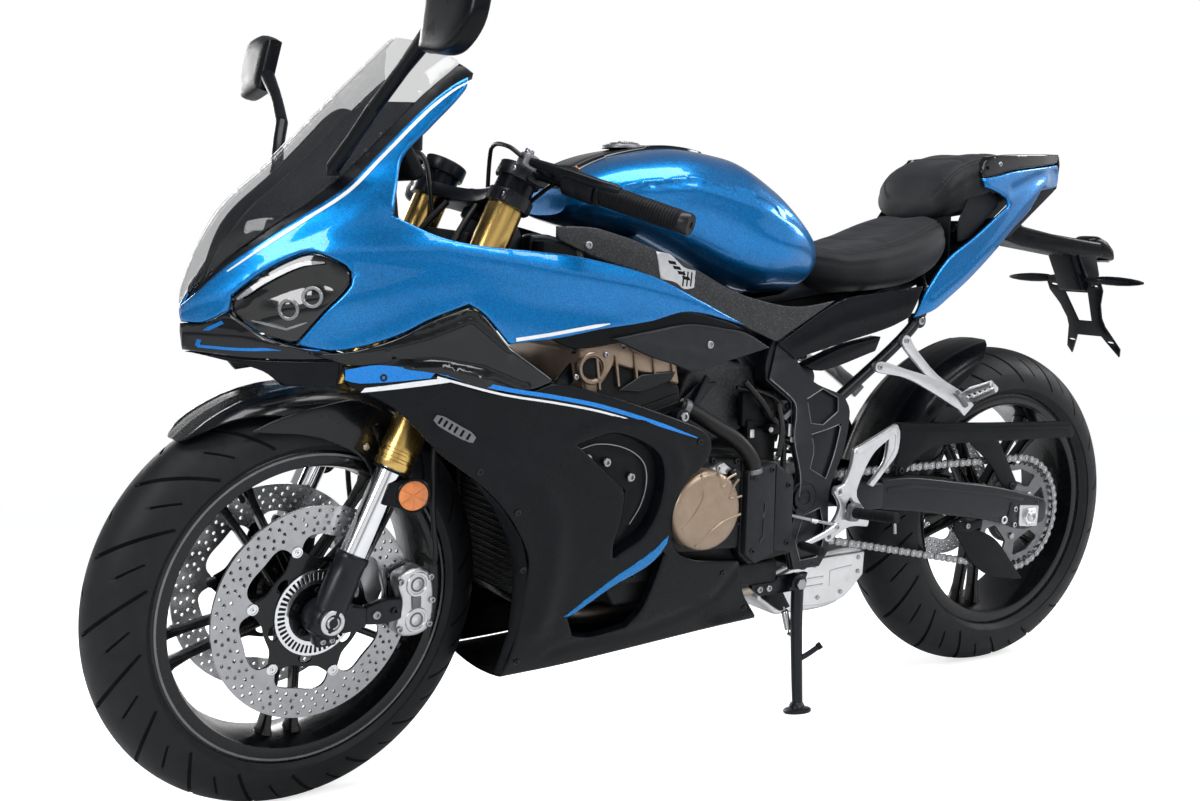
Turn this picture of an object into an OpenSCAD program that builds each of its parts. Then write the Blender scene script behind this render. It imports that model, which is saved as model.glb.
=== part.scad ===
/* [Wheels] */
// Distance between the wheel centres
wheelbase = 1412; // [1380:1:1450]
// Outer radius of the front tyre
front_tyre_r = 302; // [298:1:304]
// Width of the front tyre
front_tyre_w = 120; // [110:1:124]
// Outer radius of the rear tyre
rear_tyre_r = 314; // [308:1:318]
// Width of the rear tyre
rear_tyre_w = 160; // [150:1:164]
// Radius of both rims at the flange
rim_r = 230; // [226:1:234]
// Outer radius of the front brake discs
front_disc_r = 155; // [140:1:160]
// Outer radius of the rear brake disc
rear_disc_r = 120; // [100:1:125]

/* [Steering] */
// Angle of the steering head back from upright
rake = 25.5; // [24:0.5:27]
// Distance from the steering axis at the floor back to the tyre contact
trail = 101; // [95:1:106]
// Half the distance between the fork legs
fork_half = 100; // [98:1:106]
// Radius of the outer fork tubes
fork_outer_r = 27; // [25:1:28]
// Radius of the sliding fork tubes
fork_inner_r = 20.5; // [18:0.5:22]
// Radius of the steering stem
stem_r = 15; // [12:1:18]
// Angle that the steering is left at when parked, to the left
parked_steer = 8.8; // [0:0.1:12]

/* [Parking] */
// Angle that the motorcycle leans over on its side stand
lean = 11; // [9:0.5:12]
// Radius of the side stand leg
stand_leg_r = 11; // [9:1:13]

/* [Running gear] */
// Radius of both wheel axles
axle_r = 10; // [8:1:12]
// Running clearance around axles, stem and pivots
run_gap = 0.05; // [0.03:0.01:0.08]
// Distance of the chain from the middle of the motorcycle
chain_y = 98; // [96:1:101]
// Pitch radius of the rear sprocket
sprocket_r = 108; // [98:1:110]
// Radius of the alternator cover
alternator_r = 64; // [58:1:68]

/* [Bodywork] */
// Thickness of the plastic panels
skin_t = 3; // [2:0.5:4]
// Thickness of the windscreen
screen_t = 3; // [2:0.5:4]
// Half width of the fairing at its widest
fairing_half = 214; // [206:1:220]
// Half width of the fuel tank
tank_half = 150; // [140:1:154]
// Half width of the rider seat
seat_half = 128; // [115:1:134]

/* [Hidden] */
$fn = 48;

// The motorcycle is drawn upright, +X forward, +Y to its left and +Z up. The floor is at zero,
// and the front wheel stands 706 mm ahead of zero. It is then leaned over onto its side stand.
front_x = 706;
rear_x = front_x - wheelbase;
park_pitch = 0.112;
park_shift = [19.5, -210.9, 0.25];

// Steering axis: where it meets the floor, and places along it
head_floor_x = front_x + trail;
function head_x(z) = head_floor_x - z * tan(rake);
head_low = 690;
head_high = 858;
// Distance of the fork legs in front of the steering axis
fork_offset = (front_x - head_x(front_tyre_r)) * cos(rake);
fork_split = 225;
casting_top = 96;

// Half widths of parts between the wheels and their carriers
rim_half = 52;
rear_rim_half = 66;
disc_t = 5;
front_hub_half = 65.5;
rear_hub_half = 78;
plate_in = 112;
pivot = [-148, 0, 392];
front_sprocket = [-62, 0, 388];
stand_pivot = [-150, 116, 246];
stand_foot = [-133, 151, 28.9];

module parked() translate(park_shift) rotate([0, park_pitch, 0]) rotate([-lean, 0, 0]) children();

module turned(angle) translate([head_floor_x, 0, 0])
    rotate(a = angle, v = [-sin(rake), 0, cos(rake)]) translate([-head_floor_x, 0, 0]) children();

// Pieces of the steering, at the angle that they are parked at
module steered() parked() turned(parked_steer) children();

module both() {
    children();
    mirror([0, 1, 0]) children();
}

// A side-view outline of [x, z] points as a plate from y0 to y1
module plate(points, y0, y1) translate([0, y1, 0]) rotate([90, 0, 0])
    linear_extrude(y1 - y0) polygon(points);

// A round bar between two points
module rod(a, b, r) {
    d = b - a;
    translate(a) rotate([0, acos(d[2] / norm(d)), atan2(d[1], d[0])]) cylinder(h = norm(d), r = r);
}

// A disc or tube across the motorcycle, from y0 to y1
module across(x, z, y0, y1, r) translate([x, y1, z]) rotate([90, 0, 0])
    cylinder(h = y1 - y0, r = r);

// Children are drawn with Z along the left fork leg, up from the wheel centre
module along_fork(y) translate([front_x, y, front_tyre_r]) rotate([0, -rake, 0]) children();

// ---- Body surface: half width of the bodywork at a side-view point ----
nose_profile = [[560, 846], [640, 852], [680, 858], [727, 860], [790, 842], [856, 806],
    [926, 732], [1000, 660], [1112, 545]];
side_widths = [[120, 0.26], [160, 0.44], [200, 0.57], [300, 0.76], [400, 0.89], [480, 0.945],
    [560, 0.98], [640, 1], [740, 1], [820, 0.95], [900, 0.88], [1000, 0.77], [1060, 0.725],
    [1112, 0.655]];
nose_reach = [[640, 330], [740, 330], [820, 300], [900, 235], [1000, 165], [1060, 135], [1112, 120]];

function body_y(x, z) =
    let (back = max(lookup(z, nose_profile) - x, 0),
         reach = lookup(z, nose_reach),
         t = min(back / reach, 1),
         wide = fairing_half * lookup(z, side_widths) * pow(1 - pow(1 - t, 2), 0.92))
    back > reach ? wide * (1 - 0.12 * pow((back - reach) / 500, 2)) : wide;

// The two halves of a panel meet at the middle with this half gap
half_seam = 0.4;
function unit(v) = v / norm(v);

function body_normal(x, z) =
    let (e = 4,
         dx = (body_y(x + e, z) - body_y(x - e, z)) / (2 * e),
         dz = (body_y(x, z + e) - body_y(x, z - e)) / (2 * e))
    unit([-dx, 1, -dz]);

function body_point(p, depth) =
    let (n = body_normal(p[0], p[1]), q = [p[0], body_y(p[0], p[1]), p[1]] - depth * n)
    [q[0], max(q[1], half_seam), q[2]];

// Points along a chain of straight runs, with k steps in each
function run_points(line, k) = [
    for (i = [0 : len(line) - 2]) for (j = [0 : k - 1]) line[i] + (line[i + 1] - line[i]) * j / k,
    line[len(line) - 1]];

function outline_area(p) = let (n = len(p))
    [for (i = [0 : n - 1]) p[i][0] * p[(i + 1) % n][1] - p[(i + 1) % n][0] * p[i][1]] *
    [for (i = [0 : n - 1]) 0.5];

function backwards(p) = [for (i = [len(p) - 1 : -1 : 0]) p[i]];

// A panel of the body surface between an upper and a lower line of [x, z] points
module skin(upper, lower, k = 2, rows = 3, lift = 0, t = skin_t) {
    a = run_points(upper, k);
    b = run_points(lower, k);
    cols = len(a);
    flip = outline_area(concat(a, backwards(b))) < 0;
    outer = [for (r = [0 : rows]) for (c = [0 : cols - 1])
        body_point(a[c] + (b[c] - a[c]) * r / rows, -lift)];
    inner = [for (r = [0 : rows]) for (c = [0 : cols - 1])
        body_point(a[c] + (b[c] - a[c]) * r / rows, t - lift)];
    closed_sheet(outer, inner, rows, cols, flip);
}

// The solid between two grids of points, each rows + 1 by cols
module closed_sheet(outer, inner, rows, cols, flip) {
    m = (rows + 1) * cols;
    quads = [
        for (r = [0 : rows - 1]) for (c = [0 : cols - 2])
            each [[r * cols + c, r * cols + c + 1, (r + 1) * cols + c + 1, (r + 1) * cols + c]],
        for (r = [0 : rows - 1]) for (c = [0 : cols - 2])
            each [[m + r * cols + c, m + (r + 1) * cols + c, m + (r + 1) * cols + c + 1,
                m + r * cols + c + 1]],
        for (c = [0 : cols - 2]) each [[c, m + c, m + c + 1, c + 1],
            [rows * cols + c, rows * cols + c + 1, m + rows * cols + c + 1, m + rows * cols + c]],
        for (r = [0 : rows - 1]) each [[r * cols, (r + 1) * cols, m + (r + 1) * cols, m + r * cols],
            [r * cols + cols - 1, m + r * cols + cols - 1, m + (r + 1) * cols + cols - 1,
                (r + 1) * cols + cols - 1]]];
    tris = [for (q = quads) each [[q[0], q[1], q[2]], [q[0], q[2], q[3]]]];
    polyhedron(concat(outer, inner), flip ? [for (f = tris) backwards(f)] : tris, convexity = 8);
}

// A closed body through rings of [x, low z, high z, half width, squareness]
ring_sides = 20;
function ring_at(s) = [for (i = [0 : ring_sides - 1])
    let (a = 360 * i / ring_sides, c = cos(a), d = sin(a), e = 2 / s[4])
    [s[0], s[3] * sign(c) * pow(abs(c), e), (s[1] + s[2]) / 2 + (s[2] - s[1]) / 2 * sign(d) * pow(abs(d), e)]];
module loft(sections) {
    n = ring_sides;
    k = len(sections);
    points = [for (s = sections) each ring_at(s)];
    walls = [for (r = [0 : k - 2]) for (i = [0 : n - 1]) let (j = (i + 1) % n)
        each [[r * n + i, r * n + j, (r + 1) * n + i], [r * n + j, (r + 1) * n + j, (r + 1) * n + i]]];
    polyhedron(points, concat(walls, [[for (i = [n - 1 : -1 : 0]) i],
        [for (i = [0 : n - 1]) (k - 1) * n + i]]), convexity = 6);
}

// ---- Wheels ----
// Tyre section: a round crown on straight walls down to the beads
module tyre_ring(r, w, bead_r, bead_half) {
    crown = (r - rim_r - 2) / (1 - cos(98));
    rotate([90, 0, 0]) rotate_extrude($fn = 96) polygon(concat(
        [[bead_r, -bead_half], [bead_r + 14, -bead_half]],
        [for (i = [-7 : 7]) let (a = i * 14) [r - crown + crown * cos(a), w / 2 * sin(a) / sin(98)]],
        [[bead_r + 14, bead_half], [bead_r, bead_half]]));
}

module rim_barrel(half) rotate([90, 0, 0]) rotate_extrude($fn = 96) polygon([
    [rim_r - 24, -half], [rim_r, -half], [rim_r, -half + 4], [rim_r - 14, -half + 5],
    [rim_r - 14, half - 5], [rim_r, half - 4], [rim_r, half], [rim_r - 24, half],
    [rim_r - 24, half - 8], [rim_r - 30, 0], [rim_r - 24, -half + 8]]);

module spokes(count, half) for (i = [0 : count - 1]) rotate([0, i * 360 / count + 12, 0])
    both_ways() translate([26, -half, 6]) rotate([0, -4, 0]) cube([rim_r - 50, 2 * half, 11]);

module both_ways() {
    children();
    mirror([0, 0, 1]) children();
}

module hub(half, r) difference() {
    rotate([90, 0, 0]) cylinder(h = 2 * half, r = r, center = true);
    rotate([90, 0, 0]) cylinder(h = 2 * half + 2, r = axle_r + run_gap, center = true);
}

module wheel(half, hub_half, hub_r) difference() {
    union() {
        rim_barrel(half);
        spokes(5, 12);
        rotate([90, 0, 0]) cylinder(h = 2 * hub_half, r = hub_r, center = true);
    }
    rotate([90, 0, 0]) cylinder(h = 2 * hub_half + 2, r = axle_r + run_gap, center = true);
}

module at_front_wheel() steered() translate([front_x, 0, front_tyre_r]) children();
module at_rear_wheel() parked() translate([rear_x, 0, rear_tyre_r]) children();

module front_tyre() color("#1b1c1e") at_front_wheel()
    tyre_ring(front_tyre_r, front_tyre_w, rim_r - 14, rim_half - 5);
module rear_tyre() color("#1b1c1e") at_rear_wheel()
    tyre_ring(rear_tyre_r, rear_tyre_w, rim_r - 14, rear_rim_half - 5);
module front_rim() color("#141518") at_front_wheel() wheel(rim_half, front_hub_half, 34);
module rear_rim() color("#141518") at_rear_wheel() wheel(rear_rim_half, rear_hub_half, 42);

module brake_disc(r, inner, y0, y1) difference() {
    across(0, 0, y0, y1, r);
    across(0, 0, y0 - 1, y1 + 1, inner);
    for (i = [0 : 5]) rotate([0, i * 60 + 30, 0]) across(r * 0.58, 0, y0 - 1, y1 + 1, r * 0.15);
}

module front_discs() color("#b9bcc0") at_front_wheel()
    both() brake_disc(front_disc_r, 24, front_hub_half, front_hub_half + disc_t);
module rear_disc() color("#b9bcc0") at_rear_wheel()
    brake_disc(rear_disc_r, 24, -rear_hub_half - disc_t, -rear_hub_half);
module rear_sprocket() color("#5a5d60") at_rear_wheel() difference() {
    union() {
        across(0, 0, rear_hub_half, chain_y - 2, 60);
        across(0, 0, chain_y - 3, chain_y + 3, sprocket_r - 13);
    }
    across(0, 0, rear_hub_half - 1, chain_y + 4, 24);
}

module front_axle() color("#8f9296") at_front_axle() across(0, 0, -fork_half - 24, fork_half + 24, axle_r);
module at_front_axle() steered() translate([front_x, 0, front_tyre_r]) children();
module rear_axle() color("#8f9296") at_rear_wheel() across(0, 0, -146, 146, axle_r);

// ---- Steering ----
module triple_clamps() color("#202226") steered() {
    difference() {
        union() {
            clamp(fork_level(head_low - 1) - 30, 30);
            clamp(fork_level(head_high + 1), 22);
            rod(axis_point(head_low - 20), axis_point(head_high + 15), stem_r);
        }
        both() along_fork(fork_half) translate([0, 0, 300]) cylinder(h = 500, r = fork_outer_r);
    }
}

function axis_point(z) = [head_x(z), 0, z];
// Place along the fork where the steering axis is at a height
function fork_level(z) = (z - front_tyre_r) / cos(rake) + fork_offset * tan(rake);
fork_above_clamp = 54.35;
fork_top = fork_level(head_high + 1) + fork_above_clamp;

module clamp(level, h) along_fork(0) translate([0, 0, level]) linear_extrude(h) polygon([
    [-fork_offset - 26, -24], [-fork_offset - 26, 24], [-30, fork_half + 24], [26, fork_half + 30],
    [32, fork_half - 20], [14, 40], [14, -40], [32, -fork_half + 20], [26, -fork_half - 30],
    [-30, -fork_half - 24]]);

module fork_tubes() color("#c69a4a") steered() both() along_fork(fork_half) difference() {
    translate([0, 0, fork_split]) cylinder(h = fork_top - fork_split, r = fork_outer_r);
    translate([0, 0, fork_split - 1]) cylinder(h = 102, r = fork_inner_r);
}

module fork_legs() color("#c9ccd0") steered() both() difference() {
    union() {
        along_fork(fork_half) translate([0, 0, casting_top - 1])
            cylinder(h = fork_split + 101 - casting_top, r = fork_inner_r);
        along_fork(fork_half) translate([0, 0, -24]) cylinder(h = casting_top + 24, r = 24);
        plate([for (p = [[-62, -22], [-62, 6], [-10, 26], [-10, -22]]) p + [front_x, front_tyre_r]],
            fork_half - 14, fork_half + 8);
    }
    across(front_x, front_tyre_r, fork_half - 40, fork_half + 40, axle_r);
}

// Calipers grip the discs behind the fork legs
module front_calipers() color("#a9acb0") steered() both() translate([front_x, 0, front_tyre_r]) {
    difference() {
        plate([[-172, -48], [-178, 0], [-166, 52], [-112, 44], [-120, 0], [-114, -42]],
            front_hub_half - 26, fork_half + 10);
        plate([[-161, -60], [-161, 60], [-90, 60], [-90, -60]],
            front_hub_half - 5.2, front_hub_half + disc_t + 5.2);
    }
    plate([[-119, -20], [-119, 8], [-62, 6], [-62, -20]], fork_half - 12, fork_half + 6);
}

module front_fender() color("#0c0d10") steered() translate([front_x, 0, front_tyre_r]) {
    rotate([90, 0, 0]) rotate([0, 0, 54]) rotate_extrude(angle = 82, $fn = 96) polygon([
        [262, -70], [300, -70], [316, -50], [320, 0], [316, 50], [300, 70], [262, 70], [262, 67],
        [298, 67], [312, 48], [316, 0], [312, -48], [298, -67], [262, -67]]);
    both() {
        plate([[-96, 166], [-150, 225], [-120, 270], [0, 264], [70, 255], [20, 200], [-40, 168]], 66, 71);
        translate([-fender_bolt * sin(rake), 72.7, fender_bolt * cos(rake)]) rotate([90, 0, 0])
            cylinder(h = 4, r = 9);
    }
}
fender_bolt = 240;

// Handlebar places from the fork leg line: forward, left and up along the fork
bar_elbow = [-4, 141, fork_top + 7];
bar_out = [-116, 358, fork_top - 2];
function fork_frame(p) = [front_x - p[2] * sin(rake) + p[0] * cos(rake), p[1],
    front_tyre_r + p[2] * cos(rake) + p[0] * sin(rake)];

module handlebars() color("#17181b") steered() both() {
    along_fork(fork_half) difference() {
        translate([0, 0, fork_top - 13]) cylinder(h = 22, r = fork_outer_r + 7);
        translate([0, 0, fork_top - 14]) cylinder(h = 14, r = fork_outer_r);
    }
    rod(fork_frame([-2, fork_half + fork_outer_r + 2, bar_elbow[2]]), fork_frame(bar_elbow), 11);
    rod(fork_frame(bar_elbow), fork_frame(bar_elbow + (bar_out - bar_elbow) * 0.45), 11);
    translate(fork_frame(bar_elbow)) rotate([0, -rake, 0]) cylinder(h = 26, r = 13, center = true);
    rod(fork_frame(bar_elbow + (bar_out - bar_elbow) * 0.4), fork_frame(bar_out), 16.5);
}

module hand_levers() color("#26282c") steered() both() {
    rod(fork_frame(bar_elbow + [3.1, 23.8, -0.7]), fork_frame(bar_elbow + [50, 34, -6]), 8);
    rod(fork_frame(bar_elbow + [50, 34, -6]), fork_frame(bar_elbow + [4, 190, -16]), 6);
}

// ---- Chassis ----
module main_frame() color("#1a1c20") parked() {
    difference() {
        union() {
            rod(axis_point(head_low), axis_point(head_high), 30);
            plate([[head_x(700) - 14, 700], [head_x(838) - 14, 838], [365, 842], [330, 740], [400, 690]], -53, 53);
        }
        rod(axis_point(head_low - 5), axis_point(head_high + 5), stem_r + run_gap);
    }
    both() {
        plate([[372, 722], [364, 832], [330, 832], [60, 756], [-80, 690], [-150, 600], [-120, 560],
            [-60, 600], [40, 690], [300, 740]], 52, 82);
        plate([[-84, 686], [-150, 600], [-120, 560], [-62, 600]], 84, plate_in + 2);
        plate([[-80, 690], [-150, 600], [-232, 566], [-246, 540], [-200, 470], [-216, 300], [-190, 271],
            [-130, 271], [-118, 330], [-128, 470], [-116, 562], [-62, 600]], plate_in, plate_in + 14);
    }
    plate([[170, 786], [170, 823.8], [200, 832.3], [200, 792]], -84, 84);
    across(-150, 600, -plate_in - 2, plate_in + 2, 22);
    across(-165, 280, -plate_in - 2, plate_in + 2, 14);
}

module rear_subframe() color("#1a1c20") parked() {
    both() {
        plate([[-10, 690], [-10, 722], [-140, 738], [-182, 758.2], [-310, 758.2], [-380, 764.2], [-440, 778.2],
            [-500, 806], [-500, 893.4], [-545, 897.2], [-610, 907.1], [-670, 927.4], [-712, 945.4],
            [-815.7, 960], [-815.7, 934], [-700, 846], [-420, 738]], 34, 51.7);
        rod([-214, plate_in - 10.5, 543], [-416, plate_in - 10.5, 692], 10);
        rod([-416, plate_in - 10.5, 692], [-474, 45, 778], 10);
        across(-416, 692, plate_in - 22, plate_in - 0.3, 12);
    }
    across(-560, 860, -40, 40, 9);
}

module engine_block() color("#2a2b2e") parked() {
    plate([[-112, 250], [-112, 292], [242, 292], [220, 250]], -110, 110);
    plate([[-112, 290], [-112, 430], [-60, 486], [120, 486], [232, 430], [262, 330], [242, 290]], -128, 84);
    plate([[2, 290], [2, 486], [120, 486], [232, 430], [262, 330], [242, 290]], 83, 128);
    plate([[2, 330], [2, 486], [120, 486], [232, 430], [262, 330]], -150, 150);
    plate([[82, 485], [130, 706.8], [200, 720.3], [300, 664], [262, 440], [236, 420]], -118, 118);
    across(front_sprocket[0], front_sprocket[2], 80, 104, chain_lead - 7.4);
}

module engine_covers() color("#8a7464") parked() {
    both() across(96, 408, 150.3, 164, alternator_r);
    both() across(96, 408, 163, 186, alternator_r - 10);
    across(96, 408, 185, 196, alternator_r - 16);
}

module sprocket_cover() color("#1e2024") parked()
    plate([[-108, 310], [-108, 440], [-60, 470], [1.6, 472], [1.6, 320], [-20, 300]], plate_in, 160);

module radiator() color("#25272b") parked() {
    plate([[324, 262], [376, 266], [392, 560], [350, 564]], -128, 128);
    both() {
        plate([[297.4, 640], [372, 558], [360, 550], [292.5, 612]], 90, 98);
        across(360, 480, 120, body_y(360, 480) - skin_t - 1.3, 5);
    }
}

module exhaust_header() color("#9c9a96") parked() for (y = [-48, 48]) {
    plate([[285.8, 575], [280.6, 545], [320, 542], [322, 571]], y - 24, y + 24);
    rod([300, y, 554], [297, y, 236], 16);
    rod([297, y, 236], [200, y * 0.8, 222], 16);
    rod([200, y * 0.8, 222], [-117.6, y * 0.6, 222], 16);
    across(297, 236, y - 17, y + 17, 17);
    across(200, 222, y * 0.8 - 17, y * 0.8 + 17, 17);
}

module muffler() color("#c4c3bf") parked()
    plate([[-118.3, 246], [-118.3, 200], [-160, 168], [-300, 172], [-366, 220], [-368, 268], [-330, 278],
        [-200, 262]], -80, 60);

tank_sections = [
    [298, 858, 905, 0.55 * tank_half, 2.6], [262, 848, 936, 0.78 * tank_half, 2.6],
    [180, 828, 962, 0.94 * tank_half, 2.6], [90, 794, 974, tank_half, 2.5], [0, 758, 966, tank_half, 2.4],
    [-80, 740, 930, 0.95 * tank_half, 2.4], [-140, 740, 880, 0.85 * tank_half, 2.4],
    [-172, 760, 845, 0.72 * tank_half, 2.4]];
module fuel_tank() color("#0d5c9c") parked() loft(tank_sections);

// The tank's top at a place along a section, across the motorcycle
function tank_top(s, y) = (s[1] + s[2]) / 2 + (s[2] - s[1]) / 2 * pow(1 - pow(abs(y) / s[3], s[4]), 1 / s[4]);
module tank_cover() color("#15161a") parked() {
    stations = [for (i = [0 : 4]) tank_sections[i]];
    across_steps = [-42, -28, -14, 0, 14, 28, 42];
    top = [for (y = across_steps) for (s = stations) [s[0], y, tank_top(s, y) + 5]];
    under = [for (y = across_steps) for (s = stations) [s[0], y, tank_top(s, y) + 0.4]];
    closed_sheet(top, under, len(across_steps) - 1, len(stations), false);
    translate([150, 0, tank_sections[2][2] + 9.2]) cylinder(h = 10, r = 34);
}
module rider_seat() color("#202226") parked() loft([
    [-188, 778, 826, 0.5 * seat_half, 2.6], [-240, 760, 820, 0.85 * seat_half, 2.8],
    [-310, 758, 832, seat_half, 2.8], [-380, 764, 850, seat_half, 2.8], [-440, 778, 874, 0.93 * seat_half, 2.6],
    [-486, 800, 884, 0.75 * seat_half, 2.6]]);

module pillion_seat() color("#202226") parked() loft([
    [-492, 892, 946, 70, 2.6], [-545, 896, 978, 88, 2.6], [-610, 906, 1000, 92, 2.6],
    [-670, 926, 1000, 76, 2.6], [-712, 944, 994, 54, 2.6]]);

// Tail panels follow a narrowing plan
tail_widths = [[-900, 38], [-840, 50], [-750, 80], [-650, 105], [-550, 122], [-450, 130], [-350, 132]];
function tail_y(x) = lookup(x, tail_widths);
module tail_skin(upper, lower, k = 1, rows = 2) {
    a = run_points(upper, k);
    b = run_points(lower, k);
    grid = [for (r = [0 : rows]) for (c = [0 : len(a) - 1]) a[c] + (b[c] - a[c]) * r / rows];
    closed_sheet([for (p = grid) [p[0], tail_y(p[0]), p[1]]],
        [for (p = grid) [p[0], tail_y(p[0]) - skin_t, p[1]]], rows, len(a),
        outline_area(concat(a, backwards(b))) < 0);
}

tail_crease = [[-540, 936], [-594, 954], [-650, 965], [-736, 975], [-830, 984]];
module tail_fairing() color("#0d5c9c") parked() {
    both() tail_skin([[-415, 748], [-462, 800], [-528, 836], [-595, 878], [-632, 905]],
        [[-385, 702], [-468, 733], [-521, 765], [-592, 816], [-653, 861]]);
    both() tail_skin(tail_crease, [[-548, 927], [-620, 918], [-632, 905], [-653, 861], [-742, 925]], 2);
    both() tail_skin([[-530, 950], [-594, 990], [-650, 998], [-736, 1003], [-824, 1006]], tail_crease, 2);
    plate([[-824, 930], [-828, 1004], [-816, 1004], [-816, 930]], -56, 56);
    plate([[-722, 1000], [-826, 1002], [-826, 1007], [-722, 1006]], -84, 84);
}

module tail_light() color("#6a1216") parked()
    plate([[-824.7, 934], [-826.1, 960], [-840, 958], [-836, 934]], -40, 40);

module side_covers() color("#26282c") parked() both() {
    plate([[345, 826], [345, 846], [296, 846], [196, 820], [102, 786], [22, 746], [-42, 730], [-97, 722],
        [-138, 722], [-196, 730], [-72, 664], [3, 694], [99, 736], [193, 775], [278, 799]], 127, 133);
    across(200, 783, 82.3, 128, 5);
    across(0, 708, 82.3, 128, 5);
    plate([[-76, 660], [-206, 730], [-300, 745], [-400, 756], [-372, 700], [-230, 661], [-114, 634]], 127, 132);
    across(-300, 736, 52, 128, 5);
    plate([[270, 680], [131, 698], [20, 684], [-28, 660], [118, 627], [200, 651]], 168, 172);
    across(150, 660, 118.3, 169, 6);
}

// ---- Fairing ----
// Shared edges of the fairing panels, as side-view points
trim_line = [[859, 727], [811, 782], [770, 818], [725, 852], [670, 893], [622, 941], [563, 1001], [501, 1047]];
screen_edge = [[845, 752], [800, 800], [757, 838], [712, 872], [660, 918], [612, 966], [560, 1020], [508, 1066]];
duct_top = [[690, 682], [669, 682], [582, 719], [526, 739], [464, 684], [392, 632]];
side_top = [[690, 656], [640, 653], [574, 643], [500, 619], [430, 616], [391, 625]];
seam = 0.6;
under = skin_t + 0.8;
function moved(line, d) = [for (p = line) p + d];

module upper_fairing() color("#0d5c9c") parked() both() {
    skin(trim_line, [[857, 722], [806, 748], [773, 780], [725, 806], [683, 790], [620, 852], [590, 950], [507, 1029]]);
    skin([[683, 790], [620, 852], [564, 828], [507, 817], [430, 811], [348, 803], [226, 777], [133, 739], [32, 697]],
        [[741, 682], [669, 682 + seam], [582, 719 + seam], [526, 739 + seam], [464, 684 + seam],
            [384, 690], [270, 705], [152, 721], [32, 695]]);
}

module windscreen() color("#8e959b", 0.5) parked() both() skin(
    [[859.5, 734], [829, 815], [796, 867], [738, 920], [675, 985], [620, 1040], [575, 1085], [548, 1110]],
    screen_edge, t = screen_t);

// Black band that the windscreen's edge and the fairing's edge both sit on
module cockpit_panel() color("#131417") parked() both() skin(moved(screen_edge, [-2, 8]),
    concat([[838, 742]], moved([for (i = [1 : 7]) trim_line[i]], [-6, -6])), lift = -under - 0.4);

module headlights() color("#0b0c0e") parked() {
    both() skin([[846, 728], [804, 752], [770, 786], [722, 812], [680, 800]],
        [[846, 690], [815, 700], [788, 692], [765, 684], [735, 676]], lift = -under);
    plate([[640, 690], [640, 780], [700, 790], [776, 740], [770, 700]], -60, 60);
}

module fairing_beak() color("#0c0d10") parked() both() skin(
    [[856, 694], [814, 706], [780, 698], [741, 681.4], [690.6, 681.4]],
    [[856, 668], [833, 666], [798, 662], [746, 662], [690.6, 658]]);

module air_ducts() color("#0c0d10") parked() both() skin(duct_top, moved(side_top, [0, seam]));

module side_fairings() color("#0c0d10") parked() both() {
    skin(concat(side_top, [[314, 608], [222, 579], [122, 543], [92, 510]]),
        concat([[685, 629], [625, 596]], run_points([[564, 533], [347, 532]], 3),
            [[283, 545], [236, 531], [199, 505], [183, 473]]), k = 1);
    skin([[347, 532], [255, 456], [256, 409], [264, 352]], [[564, 533], [502, 486], [427, 397], [409, 315]]);
    skin([[92, 510], [132, 463], [153, 413], [153, 372]], [[183, 473], [186, 425], [207, 379], [264, 352]]);
    skin([[264, 352], [153, 372]], [[328, 256], [166, 352]], k = 3);
    skin([[264, 352], [328, 256]], [[409, 315], [407, 240]], k = 3);
}

module belly_pan() color("#0c0d10") parked() {
    both() skin([[407, 239.4], [328, 255.4], [302, 218], [204, 216], [166, 351.4], [125, 333], [84, 317], [-4, 306]],
        [[410, 164], [340, 166], [300, 168], [204, 174], [150, 178], [84, 183], [20, 186], [-78, 192]]);
    plate([[384, 164], [-70, 188], [-70, 192], [384, 168]], -96, 96);
}

// Mirrors stand on the black band at the windscreen's foot
mirror_root = [676, 906];
module mirrors() color("#15171a") parked() both() {
    foot = body_point(mirror_root, -12.4);
    translate(foot) cylinder(h = 17, r = 8.5, center = true);
    rod(foot, [652, 186, 992], 8);
    rod([652, 186, 992], [632, 318, 1076], 7);
    translate([632, 372, 1090]) rotate([0, 78, 0]) linear_extrude(26, center = true)
        polygon([[-42, -70], [-50, 40], [-30, 78], [20, 74], [48, 30], [40, -60]]);
}

// Clocks on the stay that runs forward from the head tube
module instrument_panel() color("#101114") parked() {
    translate([560, 0, 946]) rotate([0, 28, 0]) cube([24, 168, 92], center = true);
    plate([[head_x(765) + 34, 765], [head_x(800) + 34, 800], [530, 850], [548, 920], [566, 910],
        [639.7, 770], [639.7, 720], [560, 740]], -12, 12);
}

module plate_bracket() color("#141518") parked() {
    plate([[-690, 842], [-690, 880], [-742, 884], [-760, 866], [-960, 840], [-1040, 832], [-1046, 800],
        [-760, 824]], -33.7, 33.7);
    plate([[-943, 785], [-935, 785], [-1038, 600], [-1046, 600]], -66, 66);
    plate([[-941, 781], [-933, 781], [-914, 813], [-924, 813]], -30, 30);
    both() rod([-955, 56, 762], [-955, 166, 760], 9);
}

module rider_footrests() color("#c9ccd0") parked() both() {
    plate([[-186, 322], [-200, 322], [-232, 352], [-220, 388], [-212, 410], [-196, 418], [-186, 404],
        [-190, 380], [-172, 350], [-172, 330]], plate_in + 14.3, plate_in + 23);
    plate([[-214, 392], [-232, 356], [-262, 372], [-268, 400], [-300, 440], [-322, 520], [-300, 528],
        [-222, 470], [-206, 416]], plate_in + 22, plate_in + 28);
    rod([-238, 136, 366], [-262, 236, 372], 10);
}

module pillion_footrests() color("#c9ccd0") parked() both() {
    across(-372, 659, plate_in - 0.1, plate_in + 12, 10);
    across(-311, 614, plate_in - 0.1, plate_in + 12, 9);
    rod([-372, plate_in + 8.5, 659], [-484, 150, 560], 8);
    rod([-311, plate_in + 8, 614], [-484, 150, 552], 7);
    rod([-484, 144, 556], [-470, 238, 590], 9);
}

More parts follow.
